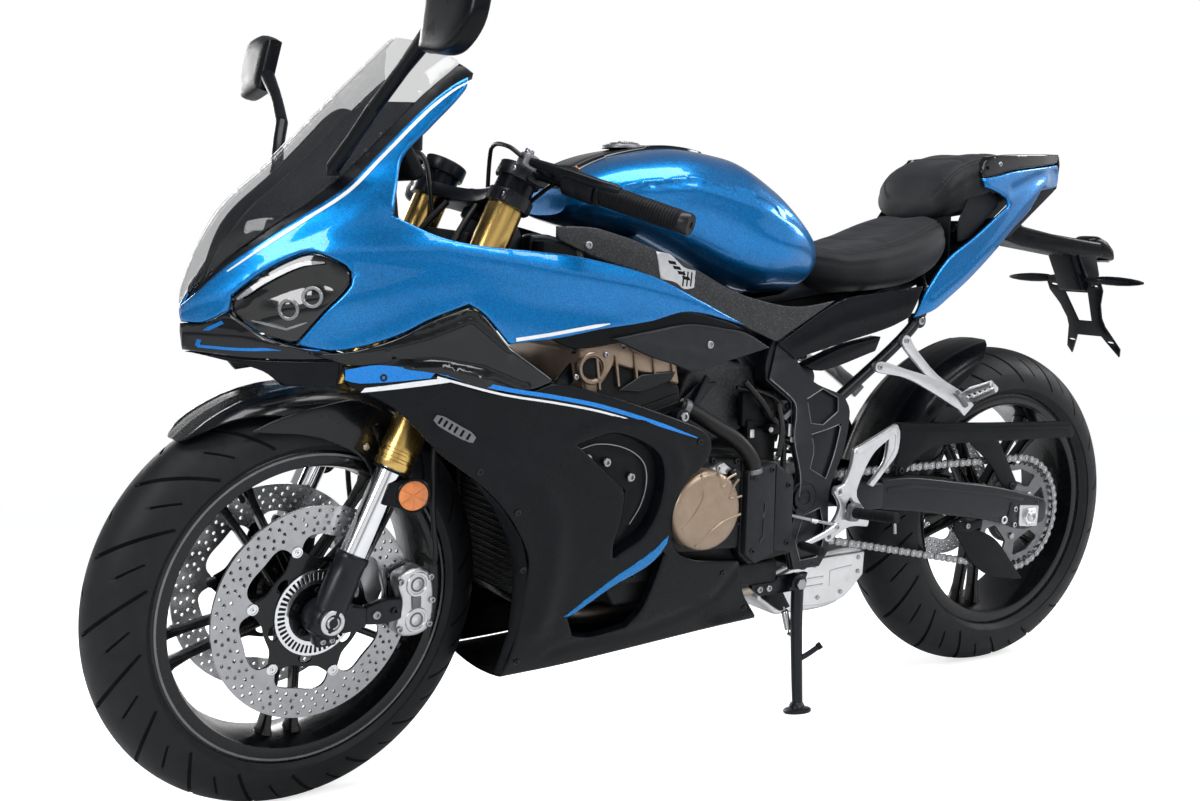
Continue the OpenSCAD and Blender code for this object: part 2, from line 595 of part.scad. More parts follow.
module gear_lever() color("#c9ccd0") parked() {
    across(-205, 345, plate_in + 23.3, 151, 8);
    rod([-205, 146, 345], [-132, 146, 320], 5);
    rod([-132, 140, 320], [-132, 196, 320], 8);
}
module brake_pedal() color("#c9ccd0") parked() mirror([0, 1, 0]) {
    across(-205, 345, plate_in + 23.3, 151, 8);
    rod([-205, 146, 345], [-132, 146, 320], 5);
    rod([-132, 140, 320], [-132, 196, 320], 8);
}

// Points given from the rear wheel's centre line, to side-view places
function from_rear(points) = [for (p = points) [rear_x + p[0], p[1]]];

module swingarm() color("#24262a") parked() difference() {
    union() {
        across(pivot[0], pivot[2], -plate_in + 0.3, plate_in - 0.3, 26);
        plate([[-150, 368], [-150, 416], [-266, 420], [-266, 362]], -84, 84);
        plate([[-256, 362], [-256, 412], [-330, 410], [-330, 360]], -132, 132);
        both() plate(concat([[-322, 360], [-322, 416], [-400, 413]],
            from_rear([[80, 376], [-50, 344], [-54, 300], [6, 286], [74, 308]])), 113, 132);
    }
    across(rear_x, rear_tyre_r, -160, 160, axle_r);
}

module shock_absorber() color("#b33") parked() {
    across(-262, 437, -14, 14, 16.6);
    rod([-262, 0, 437], [-170.5, 0, 570], 24);
    across(-170.5, 570, -14, 14, 14);
}
module chain_guard() color("#1e2024") parked() {
    plate(concat([[-372, 508]], from_rear([[-119, 486], [-137, 456], [146, 462]]), [[-440, 454], [-400, 440]]),
        112, 117);
    plate(from_rear([[106, 466], [46, 466], [0, 358], [26, 364]]), 112, 117);
    plate([[-372, 508], [-400, 450], [-392, 413.5], [-368, 414.5]], 112, 117);
}
module rear_hugger() color("#15161a") parked() {
    translate([rear_x, 0, rear_tyre_r]) rotate([90, 0, 0]) rotate([0, 0, 18]) rotate_extrude(angle = 66, $fn = 96)
        polygon([[290, -87], [318, -84], [334, -50], [338, 0], [334, 50], [318, 84], [290, 87], [290, 84],
            [316, 81], [330, 48], [334, 0], [330, -48], [316, -81], [290, -84]]);
    both() plate(from_rear([[298, 417], [256, 417], [256, 392], [298, 392]]), 84.5, 95.7);
}

chain_lead = 40;
module drive_chain() color("#9a9da1") parked() difference() {
    chain_loop(8, chain_y - 9, chain_y + 9);
    chain_loop(-7, chain_y - 10, chain_y + 10);
}
module chain_loop(grow, y0, y1) hull() {
    across(rear_x, rear_tyre_r, y0, y1, sprocket_r + grow);
    across(front_sprocket[0], front_sprocket[2], y0, y1, chain_lead + grow);
}

module rear_caliper() color("#8f9296") parked() translate([rear_x, 0, rear_tyre_r]) difference() {
    plate([[40, 52.6], [80, 62.8], [102, 66.8], [120, 95], [70, 130], [36, 110]], -124, -60);
    across(0, 0, -rear_hub_half - 10.2, -rear_hub_half + 5.2, rear_disc_r + 5.2);
}

module stand_bracket() color("#1a1c20") parked() {
    plate([[-186, 258], [-116, 258], [-113, 249.5], [-60, 249.5], [-80, 226], [-134, 226], [-170, 228]], 92, 104);
    across(stand_pivot[0], stand_pivot[2], 98, 126, stand_pin_r);
}

stand_pin_r = 6;
module side_stand() color("#1a1c20") parked() difference() {
    union() {
        across(stand_pivot[0], stand_pivot[2], 104.4, 124, 16);
        rod(stand_pivot + [0, 0, -6], stand_foot + [0, 0, 6], stand_leg_r);
        translate(stand_foot) rotate([lean, 0, 0]) cylinder(h = 9, r = 24);
    }
    across(stand_pivot[0], stand_pivot[2], 90, 130, stand_pin_r + run_gap);
}

main_frame();
rear_subframe();
engine_block();
engine_covers();
sprocket_cover();
radiator();
exhaust_header();
muffler();
fuel_tank();
tank_cover();
rider_seat();
pillion_seat();
tail_fairing();
tail_light();
side_covers();
upper_fairing();
windscreen();
headlights();
fairing_beak();
air_ducts();
mirrors();
cockpit_panel();
instrument_panel();
side_fairings();
belly_pan();
plate_bracket();
rider_footrests();
pillion_footrests();
gear_lever();
brake_pedal();
swingarm();
rear_axle();
shock_absorber();
chain_guard();
rear_hugger();
drive_chain();
rear_caliper();
stand_bracket();
triple_clamps();
fork_tubes();
fork_legs();
front_axle();
front_fender();
handlebars();
hand_levers();
front_calipers();
front_tyre();
front_rim();
front_discs();
rear_tyre();
rear_rim();
rear_disc();
rear_sprocket();
side_stand();
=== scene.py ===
import bmesh
import bpy
import math
import numpy as np
from mathutils import Matrix, Vector
from mathutils.geometry import delaunay_2d_cdt


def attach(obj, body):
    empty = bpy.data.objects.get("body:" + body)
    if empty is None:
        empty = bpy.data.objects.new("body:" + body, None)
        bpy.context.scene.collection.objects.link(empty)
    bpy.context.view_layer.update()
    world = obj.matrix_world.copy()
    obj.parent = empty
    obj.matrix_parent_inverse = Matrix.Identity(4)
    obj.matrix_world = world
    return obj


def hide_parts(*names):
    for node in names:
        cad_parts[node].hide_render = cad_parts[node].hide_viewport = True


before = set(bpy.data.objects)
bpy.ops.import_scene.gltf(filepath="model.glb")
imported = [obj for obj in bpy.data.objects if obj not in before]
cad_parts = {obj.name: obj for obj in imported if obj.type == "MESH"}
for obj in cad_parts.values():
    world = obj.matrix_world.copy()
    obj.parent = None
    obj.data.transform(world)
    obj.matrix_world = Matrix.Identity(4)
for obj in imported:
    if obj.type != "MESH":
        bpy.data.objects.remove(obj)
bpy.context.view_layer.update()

# ---- the frame: upright millimetres to the parked motorcycle in metres ----
RAKE, TRAIL = math.radians(25.5), 101.0
FX, RX, FR, RR = 706.0, -706.0, 302.0, 314.0    # wheel centres and tyre radii
HX = FX + TRAIL                                 # where the steering axis meets the floor
HALF_BODY = 214.0                               # widest half width of the fairing
FORK_Y = 100.0                                  # fork leg from the middle
CHAIN_Y, CHAIN_PITCH, TEETH = 98.0, 15.875, 41  # chain from the middle, link length, rear sprocket
TAU = 2 * math.pi
STEM = Vector((-math.sin(RAKE), 0, math.cos(RAKE)))
PARKED_AT = (0.0195, -0.2109, 0.00025)          # metres
PITCH, LEAN, STEER = 0.112, -11, 8.8            # degrees, as it stands on its side stand
PARK = (Matrix.Translation(PARKED_AT) @ Matrix.Rotation(math.radians(PITCH), 4, "Y")
        @ Matrix.Rotation(math.radians(LEAN), 4, "X"))
TURN = (Matrix.Translation((HX / 1000, 0, 0)) @ Matrix.Rotation(math.radians(STEER), 4, STEM)
        @ Matrix.Translation((-HX / 1000, 0, 0)))
PLACE = {"chassis": PARK, "rear_wheel": PARK, "side_stand": PARK, "steering": PARK @ TURN,
         "front_wheel": PARK @ TURN}


def pchip(x, table):
    """Smooth monotone interpolation through a table of pairs, clamped at its ends."""
    t = np.array(table, float)
    t = t[np.argsort(t[:, 0])]
    X, Y = t[:, 0], t[:, 1]
    h = np.diff(X)
    d = np.diff(Y) / h
    m = np.zeros(len(X))
    for i in range(1, len(X) - 1):
        if d[i - 1] * d[i] > 0:
            a, b = 2 * h[i] + h[i - 1], h[i] + 2 * h[i - 1]
            m[i] = (a + b) / (a / d[i - 1] + b / d[i])
    m[0], m[-1] = d[0], d[-1]
    x = np.clip(np.asarray(x, float), X[0], X[-1])
    i = np.clip(np.searchsorted(X, x) - 1, 0, len(h) - 1)
    s = (x - X[i]) / h[i]
    return ((2 * s ** 3 - 3 * s ** 2 + 1) * Y[i] + (s ** 3 - 2 * s ** 2 + s) * h[i] * m[i]
            + (-2 * s ** 3 + 3 * s ** 2) * Y[i + 1] + (s ** 3 - s ** 2) * h[i] * m[i + 1])


NOSE = [(560, 846), (640, 852), (680, 858), (727, 860), (790, 842), (856, 806), (926, 732), (1000, 660), (1112, 545)]
WIDE = [(120, .26), (160, .44), (200, .57), (300, .76), (400, .89), (480, .945), (560, .98), (640, 1), (740, 1),
        (820, .95), (900, .88), (1000, .77), (1060, .725), (1112, .655)]
REACH = [(640, 330), (740, 330), (820, 300), (900, 235), (1000, 165), (1060, 135), (1112, 120)]
TAIL = [(-900, 38), (-840, 50), (-750, 80), (-650, 105), (-550, 122), (-450, 130), (-350, 132)]


def set_back(x, z):
    """How far behind the nose line a point is, the depth of the rounding there, and their share."""
    back = np.maximum(pchip(z, NOSE) - x, 0)
    reach = pchip(z, REACH)
    return back, reach, np.minimum(back / reach, 1)


def body_y(x, z, power=0.92):
    back, reach, t = set_back(x, z)
    w = HALF_BODY * pchip(z, WIDE) * (1 - (1 - t) ** 2) ** power
    return np.where(back > reach, w * (1 - 0.12 * ((back - reach) / 500) ** 2), w)


def nose_y(x, z):
    """The body surface, rounder across the middle of the windscreen."""
    x, z = np.asarray(x, float), np.asarray(z, float)
    k = np.clip(set_back(x, z)[2] / 0.35, 0, 1)
    s = np.clip((z - 770) / 80, 0, 1)
    return body_y(x, z, 0.92 - (0.92 - 0.62) * s * s * (3 - 2 * s) * (1 - k * k * (3 - 2 * k)))


def tail_y(x, z):
    mid = pchip(x, [(-840, 985), (-740, 940), (-620, 880), (-520, 830), (-420, 745)])
    return pchip(x, TAIL) - 0.0009 * (z - mid) ** 2


def flat_y(y):
    return lambda x, z: np.full(np.shape(x), float(y))


def surface(surf, x, z, lift):
    x, z = np.asarray(x, float), np.asarray(z, float)
    e = 4.0
    dx = (surf(x + e, z) - surf(x - e, z)) / (2 * e)
    dz = (surf(x, z + e) - surf(x, z - e)) / (2 * e)
    n = np.stack([-dx, np.ones_like(dx), -dz], -1)
    n /= np.linalg.norm(n, axis=-1, keepdims=True)
    p = np.stack([x, surf(x, z), z], -1) + n * np.asarray(lift, float)[..., None]
    return p, n


# ---- outlines ----
def spline(pts, step=6.0, closed=True, corner=38):
    """A polyline eased into a curve, keeping its sharp corners."""
    P = [np.array(p, float) for p in pts]
    n = len(P)
    sharp = set()
    for i in range(n):
        if not closed and i in (0, n - 1):
            sharp.add(i)
            continue
        a, b = P[i] - P[i - 1], P[(i + 1) % n] - P[i]
        c = np.dot(a, b) / (np.linalg.norm(a) * np.linalg.norm(b) + 1e-9)
        if math.degrees(math.acos(max(-1, min(1, c)))) > corner:
            sharp.add(i)
    out = []
    for i in range(n if closed else n - 1):
        p1, p2 = P[i], P[(i + 1) % n]
        p0 = P[i - 1] if i not in sharp else 2 * p1 - p2
        p3 = P[(i + 2) % n] if (i + 1) % n not in sharp else 2 * p2 - p1
        k = max(1, int(np.linalg.norm(p2 - p1) / step))
        for j in range(k):
            t = j / k
            l = np.linalg.norm(p2 - p1)
            m1 = (p2 - p0) / (np.linalg.norm(p2 - p1) + np.linalg.norm(p1 - p0) + 1e-9) * l
            m2 = (p3 - p1) / (np.linalg.norm(p3 - p2) + np.linalg.norm(p2 - p1) + 1e-9) * l
            out.append((2 * t ** 3 - 3 * t ** 2 + 1) * p1 + (t ** 3 - 2 * t ** 2 + t) * m1
                       + (-2 * t ** 3 + 3 * t ** 2) * p2 + (t ** 3 - t ** 2) * m2)
    if not closed:
        out.append(P[-1])
    return np.array(out)


def seg_dist(p, loop, closed=True):
    a, b = (loop, np.roll(loop, -1, axis=0)) if closed else (loop[:-1], loop[1:])
    d = b - a
    L = (d ** 2).sum(1) + 1e-12
    t = np.clip(((p[:, None, :] - a[None]) * d[None]).sum(2) / L[None], 0, 1)
    q = a[None] + t[..., None] * d[None]
    return np.sqrt(((p[:, None, :] - q) ** 2).sum(2)).min(1)


def inside(p, loop):
    x, y = p[:, 0][:, None], p[:, 1][:, None]
    x1, y1 = loop[:, 0][None], loop[:, 1][None]
    x2, y2 = np.roll(loop[:, 0], -1)[None], np.roll(loop[:, 1], -1)[None]
    c = ((y1 > y) != (y2 > y)) & (x < (x2 - x1) * (y - y1) / (y2 - y1 + 1e-12) + x1)
    return (c.sum(1) % 2) == 1


def fill(loops, grid, rings=()):
    """Triangles over the first loop, less the others, with a grid and rings of points inside."""
    pts, edges = [], []
    for L in loops:
        s = len(pts)
        pts += [tuple(q) for q in L]
        edges += [(s + i, s + (i + 1) % len(L)) for i in range(len(L))]
    inner = []
    for L in loops:
        t = np.roll(L, -1, 0) - np.roll(L, 1, 0)
        t /= np.linalg.norm(t, axis=1, keepdims=True) + 1e-9
        normal = np.stack([-t[:, 1], t[:, 0]], 1)
        inner += [(L + normal * r * side, r * 0.93) for r in rings for side in (1, -1)]
    lo, hi = loops[0].min(0), loops[0].max(0)
    gx, gy = np.meshgrid(np.arange(lo[0], hi[0], grid), np.arange(lo[1], hi[1], grid * 0.9))
    gx = gx + (np.arange(gx.shape[0]) % 2)[:, None] * grid / 2
    inner.append((np.stack([gx.ravel(), gy.ravel()], 1), max(rings) * 1.25 if rings else grid * 0.45))
    for q, dmin in inner:
        ok = inside(q, loops[0])
        for H in loops[1:]:
            ok &= ~inside(q, H)
        q = q[ok]
        if len(q):
            d = np.min([seg_dist(q, L) for L in loops], axis=0)
            pts += [tuple(v) for v in q[d > dmin]]
    mesh = delaunay_2d_cdt([Vector(p) for p in pts], edges, [], 1 if len(loops) == 1 else 0, 1e-4)
    v = np.array([tuple(q) for q in mesh[0]])
    f = [tuple(t) for t in mesh[2]]
    c = np.array([v[list(t)].mean(0) for t in f])
    ok = inside(c, loops[0])
    for H in loops[1:]:
        ok &= ~inside(c, H)
    return v, [t for t, k in zip(f, ok) if k]


# ---- meshes ----
Y, UP = (0, 1, 0), (0, 0, 1)


def open_edges(faces):
    """Edges that only one face has, in the order in which they are met."""
    edges = {(a, b): 1 for q in faces for a, b in zip(q, q[1:] + q[:1])}
    return [(a, b) for a, b in edges if (b, a) not in edges]


def capped(n):
    """Faces of a prism whose points are its first end, then its other end."""
    return ([tuple(range(n)), tuple(reversed(range(n, 2 * n)))]
            + [(i, n + i, n + (i + 1) % n, (i + 1) % n) for i in range(n)])


def sheet(top, low, n, m, mat):
    """A closed shell between two grids of n by m points."""
    N = n * m
    f = []
    for i in range(n - 1):
        for j in range(m - 1):
            p = i * m + j
            f += [(p, p + 1, p + m + 1, p + m), (N + p, N + p + m, N + p + m + 1, N + p + 1)]
        for p in (i * m, i * m + m - 1):
            f.append((p, p + m, N + p + m, N + p))
    for j in range(m - 1):
        for p in (j, (n - 1) * m + j):
            f.append((p, N + p, N + p + 1, p + 1))
    return part(np.vstack([np.reshape(top, (-1, 3)), np.reshape(low, (-1, 3))]), f, mat)


def squared(v, power):
    """A cosine or sine with its corner filled out."""
    return math.copysign(abs(v) ** power, v)


def circle(r, n, c=(0, 0)):
    return np.array([(c[0] + r * math.cos(TAU * i / n), c[1] + r * math.sin(TAU * i / n)) for i in range(n)])


def part(v, f, m=None):
    return [np.array(v, float).reshape(-1, 3), [tuple(int(i) for i in t) for t in f], m]


def mirrored(p):
    return [p[0] * [1, -1, 1], [tuple(reversed(t)) for t in p[1]], p[2]]


def both(*parts):
    return [q for p in parts for q in (p, mirrored(p))]


def moved(p, M):
    v = np.c_[p[0], np.ones(len(p[0]))] @ np.array(M).T
    return [v[:, :3]] + list(p[1:])


def panel(outline, surf, lift=0.0, t=2.5, roll=4.0, grid=9.0, holes=(), features=(), mat=None, step=6.0,
          bulge=0.0, bulge_w=60.0):
    """A moulded panel over a side-view outline: rolled edges, its thickness, and creases or swages."""
    loops = [spline(o, step) for o in (outline, *holes)]
    v, f = fill(loops, grid, [share * roll for share in (0.12, 0.35, 0.7, 1.05)] if roll > 0 else [])
    d = np.min([seg_dist(v, L) for L in loops], axis=0)
    up = np.full(len(v), float(lift))
    if roll > 0:
        k = np.clip(roll - d, 0, roll)
        up -= roll - np.sqrt(np.maximum(roll ** 2 - k ** 2, 0))
    if bulge:
        up += bulge * (1 - np.exp(-(d / bulge_w) ** 2))
    for line, h, w in features:
        dd = seg_dist(v, np.array(line, float), False)
        up += h * np.exp(-(dd / w) ** 2)
    top, n = surface(surf, v[:, 0], v[:, 1], up)
    top[:, 1] = np.maximum(top[:, 1], 0.6)
    low = top - n * t
    low[:, 1] = np.maximum(low[:, 1], 0.3)
    N = len(v)
    a, b, c = v[f[0][0]], v[f[0][1]], v[f[0][2]]
    turn = (b[0] - a[0]) * (c[1] - a[1]) - (c[0] - a[0]) * (b[1] - a[1])
    F = [tuple(reversed(q)) for q in f] if turn > 0 else list(f)
    rim = open_edges(F)
    faces = F + [tuple(N + i for i in reversed(q)) for q in F] + [(b, a, N + a, N + b) for a, b in rim]
    return part(np.vstack([top, low]), faces, mat)


def lathe(profile, centre=(0, 0, 0), axis=Y, n=64, closed=False, mat=None):
    """Turned solid: profile is (distance along the axis, radius)."""
    w = Vector(axis).normalized()
    u = Vector((1, 0, 0)) - w * w.x
    if u.length < 1e-3:
        u = w.orthogonal()
    u.normalize()
    s = w.cross(u)
    c = Vector(centre)
    v = []
    for i in range(n):
        a = TAU * i / n
        r = u * math.cos(a) + s * math.sin(a)
        v += [tuple(c + w * h + r * q) for h, q in profile]
    k = len(profile)
    f = []
    for i in range(n):
        j = (i + 1) % n
        for q in range(k if closed else k - 1):
            q2 = (q + 1) % k
            f.append((i * k + q, j * k + q, j * k + q2, i * k + q2))
    if not closed:
        f.append(tuple(i * k for i in reversed(range(n))))
        f.append(tuple(i * k + k - 1 for i in range(n)))
    return part(v, f, mat)


def disc(c, axis, r, h0, h1, bevel=0.8, n=32, mat=None):
    b = min(bevel, r * 0.4, abs(h1 - h0) * 0.4)
    return lathe([(h0, r - b), (h0 + b * 0.3, r - b * 0.3), (h0 + b, r), (h1 - b, r), (h1 - b * 0.3, r - b * 0.3),
                  (h1, r - b)], c, axis, n, mat=mat)


def ring(c, axis, r0, r1, h0, h1, b=0.8, n=64, mat=None):
    return lathe([(h0, r0 + b), (h0, r1 - b), (h0 + b, r1), (h1 - b, r1), (h1, r1 - b), (h1, r0 + b), (h1 - b, r0),
                  (h0 + b, r0)], c, axis, n, True, mat)


def bolt(c, axis, r=5.0, h=4.0, socket=True, mat="bolt"):
    p = [(0, r), (h * 0.75, r), (h, r * 0.82)]
    if socket:
        p += [(h, r * 0.5), (h * 0.35, r * 0.46)]
    return [lathe(p, c, axis, 18, mat=mat)]


def bolts(points, y, *size, **kw):
    """Bolts facing outwards at these (x, z) points."""
    return [b for x, z in points for b in bolt((x, y, z), Y, *size, **kw)]


def tube(path, r, n=14, mat=None, smooth=4, radii=None):
    """A round tube along a path of points, eased into a curve."""
    P = [np.array(p, float) for p in path]
    if smooth > 1 and len(P) > 2:
        Q = []
        for i in range(len(P) - 1):
            p1, p2 = P[i], P[i + 1]
            p0 = P[i - 1] if i else 2 * p1 - p2
            p3 = P[i + 2] if i + 2 < len(P) else 2 * p2 - p1
            for j in range(smooth):
                t = j / smooth
                Q.append(0.5 * (2 * p1 + (p2 - p0) * t + (2 * p0 - 5 * p1 + 4 * p2 - p3) * t * t
                                + (3 * p1 - p0 - 3 * p2 + p3) * t ** 3))
        Q.append(P[-1])
        if radii is not None:
            radii = np.interp(np.linspace(0, len(P) - 1, len(Q)), range(len(P)), radii)
        P = Q
    T = []
    for i in range(len(P)):
        d = P[min(i + 1, len(P) - 1)] - P[max(i - 1, 0)]
        T.append(d / (np.linalg.norm(d) + 1e-9))
    u = np.cross(T[0], [0, 1, 0])
    if np.linalg.norm(u) < 0.1:
        u = np.cross(T[0], [1, 0, 0])
    v = []
    for i, p in enumerate(P):
        u = u - T[i] * np.dot(u, T[i])
        u /= np.linalg.norm(u) + 1e-9
        w = np.cross(T[i], u)
        rr = r if radii is None else radii[i]
        for k in range(n):
            a = TAU * k / n
            v.append(p + (u * math.cos(a) + w * math.sin(a)) * rr)
    f = []
    for i in range(len(P) - 1):
        for k in range(n):
            k2 = (k + 1) % n
            f.append((i * n + k, i * n + k2, (i + 1) * n + k2, (i + 1) * n + k))
    f += [tuple(reversed(range(n))), tuple((len(P) - 1) * n + k for k in range(n))]
    return part(v, f, mat)


def bevelled(v, f, width, seg=2, angle=28):
    bm = bmesh.new()
    vs = [bm.verts.new(tuple(p)) for p in v]
    for t in f:
        try:
            bm.faces.new([vs[i] for i in t])
        except ValueError:
            pass
    bmesh.ops.recalc_face_normals(bm, faces=bm.faces)
    bm.edges.ensure_lookup_table()
    es = [e for e in bm.edges if len(e.link_faces) == 2 and e.calc_face_angle(0) > math.radians(angle)]
    if es and width > 0:
        bmesh.ops.bevel(bm, geom=es, offset=width, segments=seg, profile=0.5, affect="EDGES", clamp_overlap=True)
    bm.verts.index_update()
    V = [tuple(q.co) for q in bm.verts]
    F = [tuple(q.index for q in t.verts) for t in bm.faces]
    bm.free()
    return V, F


def cut_out(loops, top, low, bevel, seg, mat):
    """A flat plate with holes: top and low place a point of the outline on its two faces."""
    v, f = fill(loops, 1e5)
    N = len(v)
    edges = {(a, b) for t in f for a, b in zip(t, t[1:] + t[:1])}
    F = f + [tuple(N + i for i in reversed(t)) for t in f] + [(b, a, N + a, N + b) for a, b in edges
                                                             if (b, a) not in edges]
    V, F = bevelled([top(p) for p in v] + [low(p) for p in v], F, bevel, seg, 40)
    return part(V, F, mat)


def prism(outline, y0, y1, bevel=1.5, mat=None, ease=0, corner=38, seg=2, holes=()):
    """A side-view outline given a thickness across the motorcycle, with rounded edges."""
    o = spline(outline, ease, corner=corner) if ease else np.array(outline, float)
    if len(holes):
        return cut_out([o] + [np.array(h, float) for h in holes], lambda p: (p[0], y1, p[1]),
                       lambda p: (p[0], y0, p[1]), bevel, seg, mat)
    V, F = bevelled([(x, y, z) for y in (y0, y1) for x, z in o], capped(len(o)), bevel, seg)
    return part(V, F, mat)


def block(c, size, bevel=2.0, rot=None, mat=None, seg=2):
    x, y, z = [s / 2 for s in size]
    v = [(a, b, d) for a in (-x, x) for b in (-y, y) for d in (-z, z)]
    f = [(0, 1, 3, 2), (4, 6, 7, 5), (0, 4, 5, 1), (2, 3, 7, 6), (0, 2, 6, 4), (1, 5, 7, 3)]
    V, F = bevelled(v, f, bevel, seg)
    M = Matrix.Translation(c) @ (rot.to_4x4() if rot else Matrix.Identity(4))
    return moved(part(V, F, mat), M)


def loft(rings, mat):
    """A skin over rings with the same number of points."""
    k, n = len(rings), len(rings[0])
    v = np.concatenate([np.array(r, float) for r in rings])
    f = []
    for i in range(k - 1):
        for j in range(n):
            j2 = (j + 1) % n
            f.append((i * n + j, i * n + j2, (i + 1) * n + j2, (i + 1) * n + j))
    f += [tuple(reversed(range(n))), tuple((k - 1) * n + j for j in range(n))]
    return part(v, f, mat)


MATS = {}


def piece(name, parts, body="chassis", replaces=(), smooth=40):
    """One object from several meshes, each with its material, riding on a body."""
    V, F, I, names = [], [], [], []
    base = 0
    for p in parts:
        if p[2] not in names:
            names.append(p[2])
        V.append(p[0])
        F += [tuple(i + base for i in t) for t in p[1]]
        I += [names.index(p[2])] * len(p[1])
        base += len(p[0])
    v = np.concatenate(V) / 1000
    v = (np.c_[v, np.ones(len(v))] @ np.array(PLACE[body]).T)[:, :3]
    me = bpy.data.meshes.new(name)
    me.from_pydata([tuple(q) for q in v], [], F)
    me.validate()
    for n in names:
        me.materials.append(MATS[n])
    if len(me.polygons) == len(I):
        me.polygons.foreach_set("material_index", I)
    bm = bmesh.new()
    bm.from_mesh(me)
    bmesh.ops.recalc_face_normals(bm, faces=bm.faces)
    bm.to_mesh(me)
    bm.free()
    me.polygons.foreach_set("use_smooth", [True] * len(me.polygons))
    o = bpy.data.objects.new(name, me)
    bpy.context.scene.collection.objects.link(o)
    me.set_sharp_from_angle(angle=math.radians(smooth))
    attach(o, body)
    if replaces:
        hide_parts(*replaces)
    return o


# ---- materials ----
def nodes_of(name):
    m = bpy.data.materials.new(name)
    m.use_nodes = True
    nt = m.node_tree
    b = nt.nodes["Principled BSDF"]
    co = nt.nodes.new("ShaderNodeTexCoord").outputs["Object"]
    MATS[name] = m
    return nt, b, co


def add(nt, kind, **kw):
    n = nt.nodes.new(kind)
    for k, v in kw.items():
        if k in n.inputs:
            n.inputs[k].default_value = v
        else:
            setattr(n, k, v)
    return n


def noise(nt, co, scale, detail=3.0, rough=0.55, stretch=None):
    if stretch:
        m = add(nt, "ShaderNodeMapping")
        m.inputs["Scale"].default_value = stretch
        nt.links.new(co, m.inputs["Vector"])
        co = m.outputs[0]
    n = add(nt, "ShaderNodeTexNoise", Scale=scale, Detail=detail, Roughness=rough)
    nt.links.new(co, n.inputs["Vector"])
    return n.outputs["Fac"]


def ramp(nt, fac, stops):
    r = nt.nodes.new("ShaderNodeValToRGB")
    e = r.color_ramp.elements
    for position, _ in stops[1:-1]:
        e.new(position)
    for q, (position, c) in zip(e, stops):
        q.position, q.color = position, (*c, 1)
    nt.links.new(fac, r.inputs["Fac"])
    return r.outputs["Color"]


def spread(nt, fac, lo, hi, a=0.3, b=0.7):
    m = add(nt, "ShaderNodeMapRange")
    m.inputs[1].default_value, m.inputs[2].default_value = a, b
    m.inputs[3].default_value, m.inputs[4].default_value = lo, hi
    nt.links.new(fac, m.inputs[0])
    return m.outputs[0]


def bump(nt, b, height, strength, dist, prev=None):
    n = add(nt, "ShaderNodeBump")
    n.inputs["Strength"].default_value = strength
    n.inputs["Distance"].default_value = dist
    nt.links.new(height, n.inputs["Height"])
    if prev is not None:
        nt.links.new(prev, n.inputs["Normal"])
    nt.links.new(n.outputs[0], b.inputs["Normal"])
    return n.outputs[0]


def voronoi(nt, co, scale, **kw):
    v = add(nt, "ShaderNodeTexVoronoi", Scale=scale, **kw)
    nt.links.new(co, v.inputs["Vector"])
    return v


def split_color(nt, v):
    s = nt.nodes.new("ShaderNodeSeparateColor")
    nt.links.new(v.outputs["Color"], s.inputs[0])
    return s.outputs


def finish(name, color, rough, vary=0.12, metal=0.0, coat=0.0, coat_rough=0.03, grain=None, scale=60.0, rv=0.25,
           brushed=None, spec=0.5, sheen=0.0):
    """Painted, moulded or machined surface: colour, roughness and relief all vary over it."""
    nt, b, co = nodes_of(name)
    n1 = noise(nt, co, scale, 4)
    c = np.array(color)
    lo, hi = tuple(c * (1 - vary)), tuple(np.minimum(c * (1 + vary), 1))
    nt.links.new(ramp(nt, n1, [(0.32, lo), (0.68, hi)]), b.inputs["Base Color"])
    n2 = noise(nt, co, scale * 0.35, 5, 0.65, brushed)
    nt.links.new(spread(nt, n2, rough * (1 - rv), min(rough * (1 + rv), 1)), b.inputs["Roughness"])
    for socket, value in (("Metallic", metal), ("Coat Weight", coat), ("Coat Roughness", coat_rough),
                          ("Specular IOR Level", spec), ("Sheen Weight", sheen)):
        b.inputs[socket].default_value = value
    prev = None
    if brushed:
        prev = bump(nt, b, noise(nt, co, 900, 2, 0.5, brushed), 0.12, 0.0004)
    if grain:
        kind, gs, strength, dist = grain
        if kind == "leather":
            h = spread(nt, voronoi(nt, co, gs, feature="DISTANCE_TO_EDGE").outputs["Distance"], 0, 1, 0, 0.25)
        elif kind == "cells":
            h = voronoi(nt, co, gs).outputs["Distance"]
        else:
            h = noise(nt, co, gs, 3, 0.6)
        bump(nt, b, h, strength, dist, prev)
    return nt, b, co


